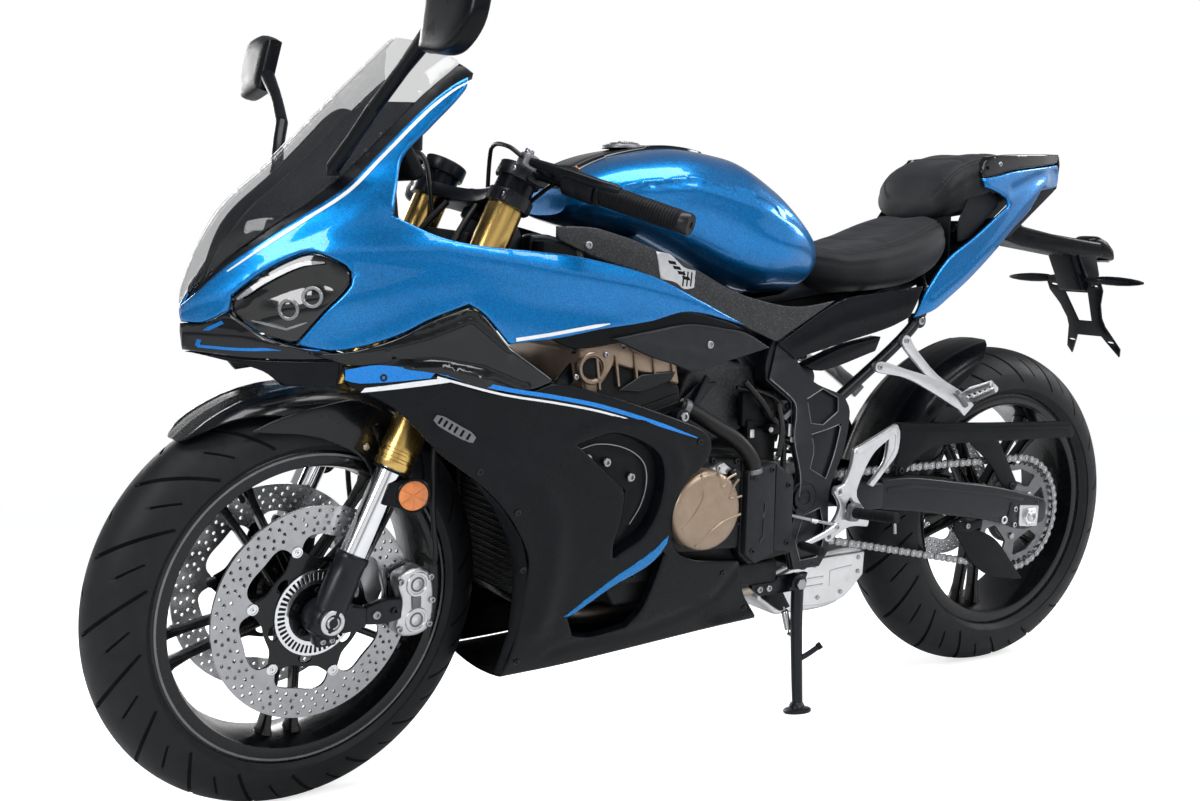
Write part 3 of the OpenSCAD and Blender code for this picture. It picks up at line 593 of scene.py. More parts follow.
FINISHES = {
    "black_gloss": ((0.0022, 0.0028, 0.0042), 0.14, 0.3,
                    dict(grain=("noise", 160, 0.04, 0.0004), coat=0.42, coat_rough=0.02, spec=0.2)),
    "black_satin": ((0.0025, 0.0032, 0.0048), 0.30, 0.25,
                    dict(grain=("noise", 900, 0.10, 0.0002), coat=0.06, coat_rough=0.16, spec=0.12)),
    "black_matte": ((0.0035, 0.0042, 0.0058), 0.48, 0.2,
                    dict(grain=("cells", 1500, 0.35, 0.0002), spec=0.14, rv=0.12)),
    "grey_matte": ((0.014, 0.0155, 0.0185), 0.52, 0.14, dict(grain=("cells", 1700, 0.3, 0.0002), spec=0.24, rv=0.1)),
    "frame_black": ((0.005, 0.0065, 0.0095), 0.34, 0.2,
                    dict(grain=("noise", 700, 0.15, 0.0002), metal=0.12, spec=0.2, coat=0.2, coat_rough=0.3)),
    "rim_black": ((0.003, 0.0035, 0.0045), 0.26, 0.2,
                  dict(grain=("noise", 500, 0.06, 0.0003), metal=0.1, coat=0.3, coat_rough=0.08, spec=0.22)),
    "white_stripe": ((0.72, 0.74, 0.76), 0.28, 0.04, dict(grain=("noise", 200, 0.03, 0.0003), coat=1.0)),
    "alloy": ((0.58, 0.585, 0.60), 0.36, 0.06, dict(grain=("noise", 450, 0.16, 0.0003), metal=0.95)),
    "alloy_dark": ((0.16, 0.162, 0.17), 0.42, 0.12, dict(grain=("noise", 450, 0.2, 0.0003), metal=0.9)),
    "steel_disc": ((0.36, 0.365, 0.375), 0.26, 0.06,
                   dict(grain=("noise", 1400, 0.08, 0.0002), metal=1.0, brushed=(1, 1, 1))),
    "steel": ((0.5, 0.5, 0.505), 0.3, 0.1, dict(metal=1.0, brushed=(0.1, 1, 1))),
    "chrome": ((0.72, 0.73, 0.75), 0.09, 0.03, dict(grain=("noise", 90, 0.02, 0.0003), metal=1.0)),
    "gold": ((0.60, 0.40, 0.13), 0.24, 0.08, dict(metal=1.0, brushed=(1, 1, 0.06))),
    "bronze": ((0.29, 0.215, 0.155), 0.38, 0.08,
               dict(grain=("noise", 520, 0.18, 0.0003), metal=0.75, coat=0.2, coat_rough=0.25)),
    "bolt": ((0.34, 0.345, 0.36), 0.3, 0.1, dict(grain=("noise", 800, 0.1, 0.0002), metal=1.0)),
    "bolt_black": ((0.02, 0.02, 0.022), 0.34, 0.2, dict(grain=("noise", 800, 0.15, 0.0002), metal=0.8)),
    "tyre_rubber": ((0.0056, 0.0064, 0.0080), 0.52, 0.22,
                    dict(grain=("noise", 700, 0.3, 0.0004), rv=0.16, spec=0.24)),
    # near-black rubber laid on the tyre grooves and the vent slots: painted shade in these gaps
    "tread_gap": ((0.0015, 0.0017, 0.002), 0.7, 0.2, dict(grain=("noise", 900, 0.3, 0.0003), spec=0.1)),
    "rubber": ((0.0045, 0.0047, 0.0055), 0.6, 0.2, dict(grain=("noise", 900, 0.3, 0.0003), spec=0.16, rv=0.12)),
    "hose": ((0.005, 0.005, 0.0056), 0.42, 0.2, dict(grain=("noise", 500, 0.2, 0.0003), spec=0.28)),
    "engine": ((0.007, 0.0075, 0.0085), 0.44, 0.2, dict(grain=("noise", 380, 0.35, 0.0005), metal=0.2, spec=0.25)),
    "header": ((0.40, 0.35, 0.30), 0.34, 0.22, dict(metal=1.0, scale=14, brushed=(1, 1, 0.2))),
    "silencer": ((0.66, 0.665, 0.67), 0.33, 0.05, dict(metal=0.9, scale=25, brushed=(0.15, 1, 1))),
    "chain": ((0.26, 0.26, 0.27), 0.34, 0.25, dict(grain=("noise", 900, 0.15, 0.0003), metal=1.0, scale=300)),
    "spring": ((0.03, 0.03, 0.034), 0.3, 0.2, dict(grain=("noise", 500, 0.1, 0.0003), metal=0.5, coat=0.5)),
    "core": ((0.02, 0.021, 0.022), 0.5, 0.25, dict(grain=("noise", 900, 0.4, 0.0004), metal=0.6)),
    "amber": ((0.75, 0.20, 0.015), 0.18, 0.15, dict(grain=("cells", 520, 0.5, 0.0008), coat=1.0)),
    "red_lens": ((0.30, 0.008, 0.012), 0.14, 0.2, dict(grain=("cells", 420, 0.4, 0.0008), coat=1.0)),
    "lens_black": ((0.003, 0.0035, 0.0045), 0.08, 0.3,
                   dict(grain=("noise", 60, 0.015, 0.0004), spec=0.3, coat=0.6, coat_rough=0.01)),
    "lamp_grey": ((0.16, 0.165, 0.175), 0.3, 0.15, dict(grain=("cells", 700, 0.25, 0.0005), coat=1.0)),
    "mirror_glass": ((0.55, 0.57, 0.6), 0.06, 0.03, dict(grain=("noise", 30, 0.01, 0.0004), metal=1.0)),
    "vinyl": ((0.0045, 0.0052, 0.0065), 0.46, 0.18,
              dict(grain=("leather", 720, 0.45, 0.0004), spec=0.18, rv=0.18, sheen=0.04)),
    "vinyl_top": ((0.0075, 0.0085, 0.0105), 0.54, 0.2,
                  dict(grain=("cells", 900, 0.55, 0.0005), spec=0.18, rv=0.15, sheen=0.05)),
    "thread": ((0.05, 0.05, 0.052), 0.7, 0.2, dict(grain=("noise", 2500, 0.4, 0.0003))),
}


def make_materials():
    for name, (*look, rest) in FINISHES.items():
        finish(name, *look, **rest)
    # Metallic paint: fine flakes under a clear coat with a very slight orange peel
    for name, lo, hi in (("paint_blue", (0.0, 0.095, 0.28), (0.0, 0.225, 0.62)),
                         ("stripe_blue", (0.0, 0.16, 0.55), (0.01, 0.25, 0.74))):
        nt, b, co = nodes_of(name)
        flake = split_color(nt, voronoi(nt, co, 1500.0))
        nt.links.new(ramp(nt, flake[0], [(0.1, lo), (0.9, hi)]), b.inputs["Base Color"])
        nt.links.new(spread(nt, flake[1], 0.26, 0.44, 0, 1), b.inputs["Roughness"])
        for socket, value in (("Metallic", 0.92), ("Coat Weight", 0.8), ("Coat IOR", 1.4), ("Coat Roughness", 0.02)):
            b.inputs[socket].default_value = value
        bump(nt, b, noise(nt, co, 130, 2), 0.05, 0.0004)
    # Speckled moulding
    nt, b, co = nodes_of("speckle")
    v = voronoi(nt, co, 620.0)
    stops = [(0.0, (0.004, 0.0045, 0.0055)), (0.70, (0.008, 0.009, 0.0105)), (0.94, (0.04, 0.044, 0.05))]
    nt.links.new(ramp(nt, split_color(nt, v)[0], stops), b.inputs["Base Color"])
    nt.links.new(spread(nt, noise(nt, co, 400, 4), 0.3, 0.55), b.inputs["Roughness"])
    bump(nt, b, v.outputs["Distance"], 0.5, 0.0006)
    # Windscreen: clear, lightly smoked
    nt, b, co = nodes_of("screen")
    stops = [(0.3, (0.020, 0.023, 0.027)), (0.7, (0.034, 0.038, 0.043))]
    nt.links.new(ramp(nt, noise(nt, co, 3.0, 2), stops), b.inputs["Base Color"])
    nt.links.new(spread(nt, noise(nt, co, 40, 3), 0.01, 0.04), b.inputs["Roughness"])
    for socket, value in (("IOR", 1.49), ("Alpha", 0.20), ("Coat Weight", 1.0), ("Coat Roughness", 0.01)):
        b.inputs[socket].default_value = value
    # Radiator core: fine fins
    nt, b, co = finish("fins", (0.02, 0.021, 0.022), 0.4, 0.2, metal=0.7)
    w = add(nt, "ShaderNodeTexWave", Scale=110.0, bands_direction="Z")
    nt.links.new(co, w.inputs["Vector"])
    bump(nt, b, w.outputs["Fac"], 0.8, 0.002)


make_materials()


# ---- camera, lamps, floor ----
FLOOR_R, FLOOR_GLOW = 60, 0.72
FOCAL_PX, FRAME_PX, SENSOR_MM = 1334, 1200, 36
CAMERA_AT, CAMERA_AIM, CAMERA_ROLL = (1.3213, 1.8381, 0.8425), (-0.5216, -0.8436, -0.1276), 1.27


def lamp(name, loc, to, width, height, power):
    L = bpy.data.lights.new(name, "AREA")
    L.shape = "RECTANGLE"
    L.size, L.size_y, L.energy = width, height, power
    o = bpy.data.objects.new(name, L)
    bpy.context.scene.collection.objects.link(o)
    o.location = loc
    o.rotation_euler = (Vector(to) - Vector(loc)).to_track_quat("-Z", "Y").to_euler()


def mixed(nt, share, a, b):
    m = add(nt, "ShaderNodeMix", data_type="RGBA")
    nt.links.new(share, m.inputs[0])
    nt.links.new(a, m.inputs[6])
    if b is None:
        m.inputs[7].default_value = (1, 1, 1, 1)
    else:
        nt.links.new(b, m.inputs[7])
    return m.outputs[2]


def studio():
    """Soft grey surroundings with one bright band for reflections, seen as plain white."""
    w = bpy.data.worlds.new("studio")
    bpy.context.scene.world = w
    w.use_nodes = True
    nt = w.node_tree
    bg = nt.nodes["Background"]
    sep = nt.nodes.new("ShaderNodeSeparateXYZ")
    nt.links.new(nt.nodes.new("ShaderNodeTexCoord").outputs["Generated"], sep.inputs[0])
    height = spread(nt, sep.outputs[2], 0, 1, -1, 1)
    light = ramp(nt, height, [(0.0, (0.16, 0.16, 0.165)), (0.5, (0.26, 0.265, 0.275)), (1.0, (0.46, 0.47, 0.49))])
    glossy = ramp(nt, height, [(0.42, (0.30, 0.305, 0.315)), (0.50, (1.0, 1.0, 1.0)), (0.57, (1.0, 1.0, 1.0)),
                               (0.66, (0.34, 0.34, 0.34)), (0.86, (0.20, 0.205, 0.215))])
    ray = nt.nodes.new("ShaderNodeLightPath").outputs
    seen = add(nt, "ShaderNodeMath", operation="MAXIMUM")
    nt.links.new(ray["Is Camera Ray"], seen.inputs[0])
    nt.links.new(ray["Is Transmission Ray"], seen.inputs[1])
    lit = mixed(nt, ray["Is Glossy Ray"], light, glossy)
    nt.links.new(mixed(nt, seen.outputs[0], lit, None), bg.inputs["Color"])
    bg.inputs["Strength"].default_value = 1.0


def floor():
    me = bpy.data.meshes.new("floor")
    me.from_pydata([(x, y, 0) for x, y in circle(FLOOR_R, 64)], [], [tuple(range(64))])
    fl = bpy.data.objects.new("floor", me)
    bpy.context.scene.collection.objects.link(fl)
    m = bpy.data.materials.new("floor")
    m.use_nodes = True
    nt = m.node_tree
    b = nt.nodes["Principled BSDF"]
    cloud = add(nt, "ShaderNodeTexNoise", Scale=1.2)
    stops = [(0.0, (0.66, 0.665, 0.67)), (1.0, (0.72, 0.725, 0.73))]
    nt.links.new(ramp(nt, cloud.outputs["Fac"], stops), b.inputs["Base Color"])
    b.inputs["Roughness"].default_value = 0.9
    b.inputs["Specular IOR Level"].default_value = 0.1
    b.inputs["Emission Color"].default_value = (1, 1, 1, 1)
    lit = add(nt, "ShaderNodeMath", operation="MULTIPLY")
    lit.inputs[1].default_value = FLOOR_GLOW
    nt.links.new(nt.nodes.new("ShaderNodeLightPath").outputs["Is Camera Ray"], lit.inputs[0])
    nt.links.new(lit.outputs[0], b.inputs["Emission Strength"])
    me.materials.append(m)


def stage():
    sc = bpy.context.scene
    fwd = Vector(CAMERA_AIM).normalized()
    right = fwd.cross(Vector(UP)).normalized()
    up = right.cross(fwd)
    roll = math.radians(CAMERA_ROLL)
    c, s = math.cos(roll), math.sin(roll)
    m = Matrix((c * right + s * up, -s * right + c * up, -fwd)).transposed().to_4x4()
    m.translation = CAMERA_AT
    cam = bpy.data.cameras.new("camera")
    cam.sensor_width, cam.sensor_fit = SENSOR_MM, "HORIZONTAL"
    cam.lens = FOCAL_PX / FRAME_PX * SENSOR_MM
    cam.clip_end = 100
    ob = bpy.data.objects.new("camera", cam)
    sc.collection.objects.link(ob)
    ob.matrix_world = PARK @ m
    sc.camera = ob
    lamp("top_soft", (0.2, 0.9, 3.6), (0, 0, 0.7), 3.6, 1.3, 135)
    lamp("left_strip", (-0.9, 3.6, 2.7), (-0.1, 0, 0.6), 2.8, 0.7, 66)
    lamp("front_box", (3.8, 1.6, 2.1), (0.4, 0, 0.6), 1.2, 1.2, 58)
    lamp("right_fill", (0.3, -3.8, 2.2), (0, 0, 0.6), 2.8, 1.0, 62)
    lamp("rear_box", (-3.8, 0.9, 2.3), (-0.5, 0, 0.6), 1.2, 1.2, 50)
    studio()
    floor()
    sc.view_settings.view_transform = "Standard"


stage()


# ---- fairing ----
def stripe(line, width, mat, surf=nose_y, lift=0.6, t=0.8, taper=(1, 1)):
    """A thin painted line, as a raised film."""
    c = spline(line, 5.0, False)
    d = np.gradient(c, axis=0)
    d /= np.linalg.norm(d, axis=1, keepdims=True) + 1e-9
    n = np.stack([-d[:, 1], d[:, 0]], 1)
    k = np.linspace(0, 1, len(c))
    w = width / 2 * np.interp(k, [0, 0.15, 0.85, 1], [taper[0], 1, 1, taper[1]])[:, None]
    a, _ = surface(surf, *(c + n * w).T, lift)
    b, nn = surface(surf, *(c - n * w).T, lift)
    q = np.vstack([a, b, a - nn * t, b - nn * t])
    N = len(c)
    f = []
    for i in range(N - 1):
        f += [(i, i + 1, N + i + 1, N + i), (2 * N + i, 3 * N + i, 3 * N + i + 1, 2 * N + i + 1),
              (i, 2 * N + i, 2 * N + i + 1, i + 1), (N + i, N + i + 1, 3 * N + i + 1, 3 * N + i)]
    f += [(0, N, 3 * N, 2 * N), (N - 1, 3 * N - 1, 4 * N - 1, 2 * N - 1)]
    return part(q, f, mat)


def skirt(loop, surf, l0, l1, mat, inward=0.0):
    """A wall round a hole, from one depth to another."""
    L = spline(loop)
    c = L.mean(0)
    a, _ = surface(surf, *L.T, l0)
    b, _ = surface(surf, *(L + (c - L) * inward).T, l1)
    n = len(L)
    return part(np.vstack([a, b]), [(i, (i + 1) % n, n + (i + 1) % n, n + i) for i in range(n)], mat)


TRIM = [(811, 782), (770, 818), (725, 852), (670, 893), (622, 941), (563, 1001), (526, 1032), (501, 1047)]
EDGE = [(845, 752), (800, 800), (757, 838), (712, 872), (660, 918), (612, 966), (560, 1020), (508, 1066)]
EAR = [(507, 1029), (559, 976), (599, 934), (615, 887), (622, 854)]
SIDE_TOP = [(564, 828), (507, 817), (430, 811), (348, 803), (226, 777), (133, 739), (32, 697)]
BLUE_LOW = [(152, 721), (227, 708), (317, 698), (384, 688), (461, 682)]
DUCT_TOP = [(464, 681), (503, 723), (526, 737), (582, 717), (621, 697), (669, 680), (703, 674), (741, 681)]
LAMP_REAR = [(709, 726), (679, 762), (677, 779), (683, 788), (714, 804), (730, 802), (773, 776), (808, 744), (811, 724)]
VENT = [(347, 532), (309, 541), (283, 545), (236, 531), (196, 505), (183, 473), (186, 425), (207, 379), (260, 347),
        (264, 369), (256, 409), (255, 456)]
GAP = [(322, 255), (304, 220), (269, 212), (205, 219), (184, 246), (170, 300), (163, 343), (189, 326), (255, 296)]


def profile(z0, z1, n, inset=0.4):
    return [(float(pchip(z, NOSE)) - inset, float(z)) for z in np.linspace(z0, z1, n)]


def fairing():
    """Painted side panels, windscreen, nose, headlights, ducts, belly and their bolts."""
    blue = [(859.4, 727)] + TRIM + EAR + SIDE_TOP + BLUE_LOW + DUCT_TOP + LAMP_REAR + [(836, 706), (858.6, 705)]
    crease = [([(805, 706), (760, 762), (690, 812), (560, 812), (420, 790), (250, 760), (120, 725)], 3.2, 15),
              ([(690, 700), (600, 738), (500, 752), (400, 735), (300, 722)], -3.0, 26),
              ([(620, 860), (640, 880), (668, 850), (722, 820), (790, 772), (850, 720)], 1.6, 9)]
    piece("upper_panels", both(panel(blue, nose_y, features=crease, mat="paint_blue", roll=3.5, grid=8)),
          replaces=["upper_fairing"])
    lines = [stripe([(p[0] - 3, p[1] - 7) for p in TRIM], 3.6, "white_stripe", lift=0.9, taper=(0.4, 0.5)),
             stripe([(455, 688), (400, 694), (340, 702), (300, 707)], 5.0, "white_stripe", lift=0.9, taper=(1, 0.3)),
             stripe([(816, 708), (836, 692), (841, 674)], 4.5, "stripe_blue", lift=1.2),
             stripe([(841, 674), (798, 672.5), (757, 675), (714, 675)], 4.0, "stripe_blue", lift=1.2, taper=(1, .3))]
    piece("paint_lines", both(*lines))
    blue_low = [(685, 636), (668, 632), (581, 639), (574, 647), (645, 657), (685, 650)]
    white_low = [(667, 619.5), (554, 633), (568, 638), (662, 626)]
    band = [(576, 655), (480, 628), (391, 611), (314, 594), (222, 566), (126, 533)]
    # small slotted vent above the side opening; its slots are near-black strips laid on the vent, painted shade
    vent = [(574, 586), (545, 568), (517, 552)]
    slot_at = spline(vent, 8.5, False)[1:-1]
    along = np.array([0.86, 0.51])
    across_ = np.array([-along[1], along[0]])
    piece("side_vents", both(stripe(vent, 15, "alloy_dark", lift=4.2, t=2.0, taper=(.55, .55)),
                             *[stripe([p - across_ * 4.6, p, p + across_ * 4.6], 3.2, "tread_gap", lift=4.8, t=1.0)
                               for p in slot_at]))
    piece("side_bands", both(panel(blue_low, nose_y, 0.8, 1.0, 0, mat="stripe_blue"),
                             panel(white_low, nose_y, 0.8, 1.0, 0, mat="white_stripe"),
                             stripe([(x, z - 6) for x, z in band], 6, "stripe_blue", lift=0.7, taper=(1, .25)),
                             stripe([(x - 4, z - 15) for x, z in band[:-1]], 3.2, "white_stripe", lift=0.7,
                                    taper=(1, .2))))
    cowl = EDGE + [(494, 1052)] + [(x - 4, z - 4) for x, z in reversed(TRIM)] + [(846, 736)]
    inner = profile(748, 1004, 11, 13) + [(610, 1018), (556, 1016)] + [(x + 2, z + 2) for x, z in reversed(EDGE[1:6])]
    piece("screen_cowl", both(panel(cowl, nose_y, -2.4, 2, 1.5, mat="black_satin"),
                              panel(inner, nose_y, -13, 2, 2, mat="black_matte")), replaces=["cockpit_panel"])
    glass = profile(731, 1109, 22) + [(531, 1092), (508, 1068)] + [(x, z) for x, z in reversed(EDGE)]
    piece("screen_glass", both(panel(glass, nose_y, 0.6, 3, 1.4, 8, mat="screen", step=8)), replaces=["windscreen"],
          smooth=60)
    beak = [(858.8, 703), (838, 704), (812, 721), (776, 692), (741, 679), (703, 672), (691, 664), (746, 661),
            (798, 661), (833, 665), (856.5, 667)]
    chin = [(856, 664), (833, 663), (798, 659), (746, 659), (691, 661), (694, 640), (696, 625), (756, 625), (776, 643),
            (820, 656)]
    piece("nose_beak", both(panel(beak, nose_y, 0.4, 2.5, 2.5, 7, mat="black_gloss",
                                  features=[([(850, 690), (800, 688), (720, 672)], 2.0, 6)]),
                            panel(chin, nose_y, -3, 2.5, 2.5, 7, mat="black_satin")), replaces=["fairing_beak"])
    lens = [(810, 722), (807, 743), (772, 775), (730, 800), (714, 802), (685, 787), (679, 778), (681, 762), (711, 726),
            (742, 682), (776, 695)]
    bowl = [([(800, 728), (760, 745), (715, 765)], -6, 18)]
    drl = [(800, 739), (770, 764), (730, 787), (705, 790)]
    piece("lamp_lens", both(panel(lens, nose_y, -1.5, 3, 3, 7, mat="lens_black", bulge=4, bulge_w=26,
                                  features=bowl)), replaces=["headlights"])
    P, n = surface(nose_y, [748, 722], [728, 745], [-1.0, -0.5])
    eyes = []
    for p, q in zip(P, n):
        eyes += [ring(p, q, 10, 14.5, -2, 3.4, 1, 32, "lamp_grey"), disc(p, q, 10, -2, 2.2, 2, 24, "lens_black")]
    piece("lamp_inner", both(stripe(drl, 5.5, "lamp_grey", lift=3.4, t=2.5, taper=(.5, .4)),
                             stripe([(786, 712), (750, 702), (728, 712)], 3.0, "lamp_grey", lift=2.6, t=2.5,
                                    taper=(.4, .4)), *eyes))
    duct = [(741, 678), (703, 671), (669, 677), (621, 694), (582, 714), (526, 734), (503, 720), (465, 679), (424, 650),
            (392, 628), (430, 617), (500, 620), (574, 644), (640, 654), (690, 657)]
    piece("gloss_ducts", both(panel(duct, nose_y, 0.5, 2.5, 3, 6, mat="black_gloss",
                                    features=[([(735, 672), (660, 668), (585, 690), (526, 712), (470, 668)], 5, 8),
                                              ([(700, 664), (640, 664), (575, 668), (500, 655), (440, 630)], -5, 9),
                                              ([(610, 655), (560, 652), (500, 634)], 4, 6)])), replaces=["air_ducts"])
    side = [(690, 655), (640, 652), (574, 642), (500, 618), (430, 615), (391, 624), (314, 607), (222, 578), (122, 542),
            (95, 524), (92, 497), (114, 474), (132, 463), (145, 445), (153, 413), (153, 372), (146, 352), (125, 334),
            (84, 319), (-4, 308), (-27, 249), (-81, 188), (40, 184), (198, 173), (307, 165), (412, 162), (408, 240),
            (409, 315), (412, 363), (427, 397), (460, 445), (502, 486), (534, 510), (564, 533), (625, 596), (685, 629)]
    feats = [([(339, 196), (294, 205), (172, 208), (59, 236), (31, 250), (-4, 300)], -2.5, 7),
             ([(560, 560), (470, 520), (400, 470), (372, 420), (366, 330), (372, 250)], 4.5, 20),
             ([(350, 545), (300, 560), (230, 548), (170, 515), (150, 480)], 3, 10),
             ([(408, 262), (340, 248)], -1.5, 3)]
    sp = panel(side, nose_y, 0, 3, 4, 9, holes=[VENT, GAP], features=feats, mat="black_satin")
    back = [(355, 545), (283, 556), (228, 542), (184, 514), (168, 475), (172, 420), (196, 370), (262, 338), (278, 369),
            (268, 409), (266, 450)]
    fin = [(332, 259), (258, 311), (190, 349), (161, 374), (163, 358), (189, 328), (255, 298), (318, 260)]
    floor_l = np.array([(412, 162), (307, 165), (198, 173), (40, 184), (-81, 188)], float)
    fl = spline(floor_l, 20, False)
    yy = nose_y(fl[:, 0], fl[:, 1]) - 1.5
    rows = [[(x, y * k, z - 9 * (1 - k * k)) for (x, z), y in zip(fl, yy)] for k in np.linspace(1, -1, 13)]
    n = len(fl)
    pan = part(np.array(rows).reshape(-1, 3), [(i * n + j, i * n + j + 1, (i + 1) * n + j + 1, (i + 1) * n + j)
                                               for i in range(12) for j in range(n - 1)], "black_satin")
    seam_line = [(340, 518), (300, 526), (250, 516), (214, 492), (204, 462), (210, 424), (228, 392)]
    piece("side_panels", both(sp, skirt(VENT, nose_y, -2, -24, "black_satin", inward=0.04),
                              skirt(GAP, nose_y, -1, -12, "black_satin"),
                              panel(back, nose_y, -22, 2, 0, 10, mat="black_matte",
                                    features=[([(330, 520), (240, 500), (215, 440), (245, 370)], 5, 9)]),
                              panel(fin, nose_y, 1.4, 2, 1.4, 6, mat="paint_blue")) + [pan],
          replaces=["side_fairings", "belly_pan"])
    seam = stripe(seam_line, 1.6, "lamp_grey", nose_y, -17.5, 1)
    bl = []
    for x, z in ((318, 506), (283, 497), (236, 470)):
        p, q = surface(nose_y, [x], [z], [-18])
        bl += bolt(p[0], q[0], 7, 5)
    for x, z in ((505, 505), (440, 440), (420, 350), (395, 190), (120, 520), (-40, 215), (30, 290), (640, 640)):
        p, q = surface(nose_y, [x], [z], [0])
        bl += bolt(p[0], q[0], 5, 2.2, mat="bolt_black")
    piece("panel_bolts", both(seam, *bl))
    # inner air guides beside the radiator
    o3 = np.array([(502, 200, 486), (460, 193, 445), (427, 186, 397), (411, 176, 350), (408, 160, 300), (407, 138, 240),
                   (411, 97, 166)], float)
    i3 = np.array([(470, 128, 500), (440, 126, 450), (418, 124, 400), (402, 122, 350), (398, 120, 300), (396, 112, 240),
                   (402, 88, 176)], float)
    rows = [o3 + (i3 - o3) * k + np.array([1, 0, 0]) * 14 * math.sin(math.pi * k) for k in np.linspace(0, 1, 7)]
    guide = part(np.array(rows).reshape(-1, 3), [(i * 7 + j, i * 7 + j + 1, (i + 1) * 7 + j + 1, (i + 1) * 7 + j)
                                                 for i in range(6) for j in range(6)], "black_matte")
    piece("air_guides", both(guide))


fairing()


# ---- wheels ----
def at(parts, v):
    return [moved(p, Matrix.Translation(v)) for p in parts]


def polar(r, a):
    """A point on the wheel's plane: angles run from the front, upwards."""
    return np.array([r * math.cos(a), r * math.sin(a)])


REPEAT, GROOVE = 40, 3.4    # rows in one repeat of the tread, and the depth of its grooves


def tyre(R, W, half, count):
    """Tyre carcass with its tread cut in: long swept grooves and short ones between them."""
    full = math.radians(98)
    cr = (R - 232) / (1 - math.cos(full))
    pr = [(-half, 216), (-half - 3, 222), (-half - 3.5, 229), (-half - 7, 233), (-W / 2 + 2.6, 238),
          (-W / 2 + 1.4, 241)]
    pr = [p for p in pr if abs(p[0]) < W / 2 + 0.6]
    arc = [(W / 2 * math.sin(a) / math.sin(full), R - cr + cr * math.cos(a))
           for a in np.radians(np.linspace(-92, 92, 61))]
    prof = pr + arc + [(-h, r) for h, r in reversed(pr)]
    n = REPEAT * count
    v, f, _ = lathe(prof, n=n, closed=True)
    k = len(prof)
    s = np.cumsum([0] + [math.dist(prof[i], prof[i + 1]) for i in range(k - 1)])
    w = np.tile(s / s[-1] * 2 - 1, n)
    aw = np.abs(w)
    # each row of points is turned about the axle by the tread's sweep, so the grooves run along the rows
    turn = 1.25 * aw ** 1.2 * (TAU / count)
    c, q = np.cos(turn), np.sin(turn)
    x, z = v[:, 0].copy(), v[:, 2].copy()
    v[:, 0], v[:, 2] = c * x - q * z, q * x + c * z
    step = (np.repeat(np.arange(n), k) + REPEAT // 2 * (w < 0)) % REPEAT
    cut = (((step < 2) & (aw > 0.05) & (aw < 0.70)) | ((step == REPEAT // 2) & (aw > 0.34) & (aw < 0.60)))
    rad = np.hypot(v[:, 0], v[:, 2])
    v[:, (0, 2)] *= (1 - GROOVE * cut / rad)[:, None]
    # the groove faces take a darker rubber than the tread: painted shade in the grooves
    deep = [q for q in f if cut[list(q)].sum() >= 2]
    flat = [q for q in f if cut[list(q)].sum() < 2]
    return [picked(v, flat, "tyre_rubber"), picked(v, deep, "tread_gap")]


def picked(v, f, mat):
    """Only the points that these faces use."""
    used = sorted({i for q in f for i in q})
    new = {i: j for j, i in enumerate(used)}
    return part(v[used], [tuple(new[i] for i in q) for q in f], mat)


def barrel(half, mat):
    f = [(half - 5, 216), (half - 4.5, 227), (half - 3, 230), (half - 1.2, 230), (half, 228.5), (half, 210),
         (half - 1.5, 207), (half - 8, 206), (half - 20, 202)]
    prof = [(-h, r) for h, r in f] + [(0, 200)] + list(reversed(f))
    return lathe(prof, n=120, closed=True, mat=mat)


def beam(rings_, mat, n=16, e=0.55):
    """A rounded bar: rings of (centre, half vector a, half vector b)."""
    out = []
    for c, a, b in rings_:
        c, a, b = [np.array(q, float) for q in (c, a, b)]
        row = []
        for i in range(n):
            t = TAU * (i + 0.5) / n
            row.append(c + a * squared(math.cos(t), e) + b * squared(math.sin(t), e))
        out.append(row)
    return loft(out, mat)


def wheel_spokes(mat, depth=12, hub=26):
    out = []
    for i in range(5):
        t = math.radians(i * 72 + 12)
        u, w = np.array([math.cos(t), 0, -math.sin(t)]), np.array([math.sin(t), 0, math.cos(t)])
        for s in (1, -1):
            rows = []
            for r, off, wd, d in ((hub, 9, 11, depth + 6), (60, 12, 7.5, depth + 1), (110, 15.5, 5.5, depth - 1),
                                  (165, 19.5, 5.2, depth - 1), (190, 22, 7, depth + 2), (203, 24, 11, depth + 7)):
                rows.append((u * r + w * s * off, w * wd, np.array([0, d, 0])))
            out.append(beam(rows, mat))
    return out


def to_bobbin(nb, phase):
    """How far an angle is from the nearest of a disc's bobbins."""
    def near(a):
        d = (a - phase) / (TAU / nb)
        return abs(d - round(d)) * TAU / nb
    return near


def rotor(R, r_in, r_bob, y0, y1, nb, rows, phase, per):
    """A drilled brake disc whose inner edge reaches in to each of its bobbins."""
    N = 216
    near = to_bobbin(nb, phase)
    inner = np.array([polar(r_in + 1.5 * math.cos(nb * 2 * a)
                            - (r_in - r_bob + 7) * math.exp(-(near(a) / 0.115) ** 2), a)
                      for a in (TAU * i / N for i in range(N))])
    holes = [inner]
    for r, off in rows:
        for i in range(nb * per // 2):
            a = phase + TAU * (i + off) / (nb * per // 2)
            if near(a) < 0.07 and r < r_in + 14:
                continue
            holes.append(circle(2.6, 10, polar(r, a)))
    return prism(circle(R, N), y0, y1, 0.35, "steel_disc", holes=holes, seg=1)


def carrier(r_hub, r_mid, r_bob, y0, y1, nb, phase):
    N = 180
    out = []
    for i in range(N):
        a = TAU * i / N
        out.append(polar(r_mid + (r_bob + 4 - r_mid) * math.exp(-(to_bobbin(nb, phase)(a) / 0.17) ** 2), a))
    wins = []
    for k in range(nb):
        a0 = phase + TAU * (k + 0.5) / nb
        wins.append(np.array([polar(r_hub + 7 + 7 * math.sin(t), a0 + 0.16 * math.cos(t))
                              for t in np.linspace(0, TAU, 14, endpoint=False)]))
    return prism(np.array(out), y0, y1, 1.0, "rim_black", holes=[circle(24, 48)] + wins, seg=1)


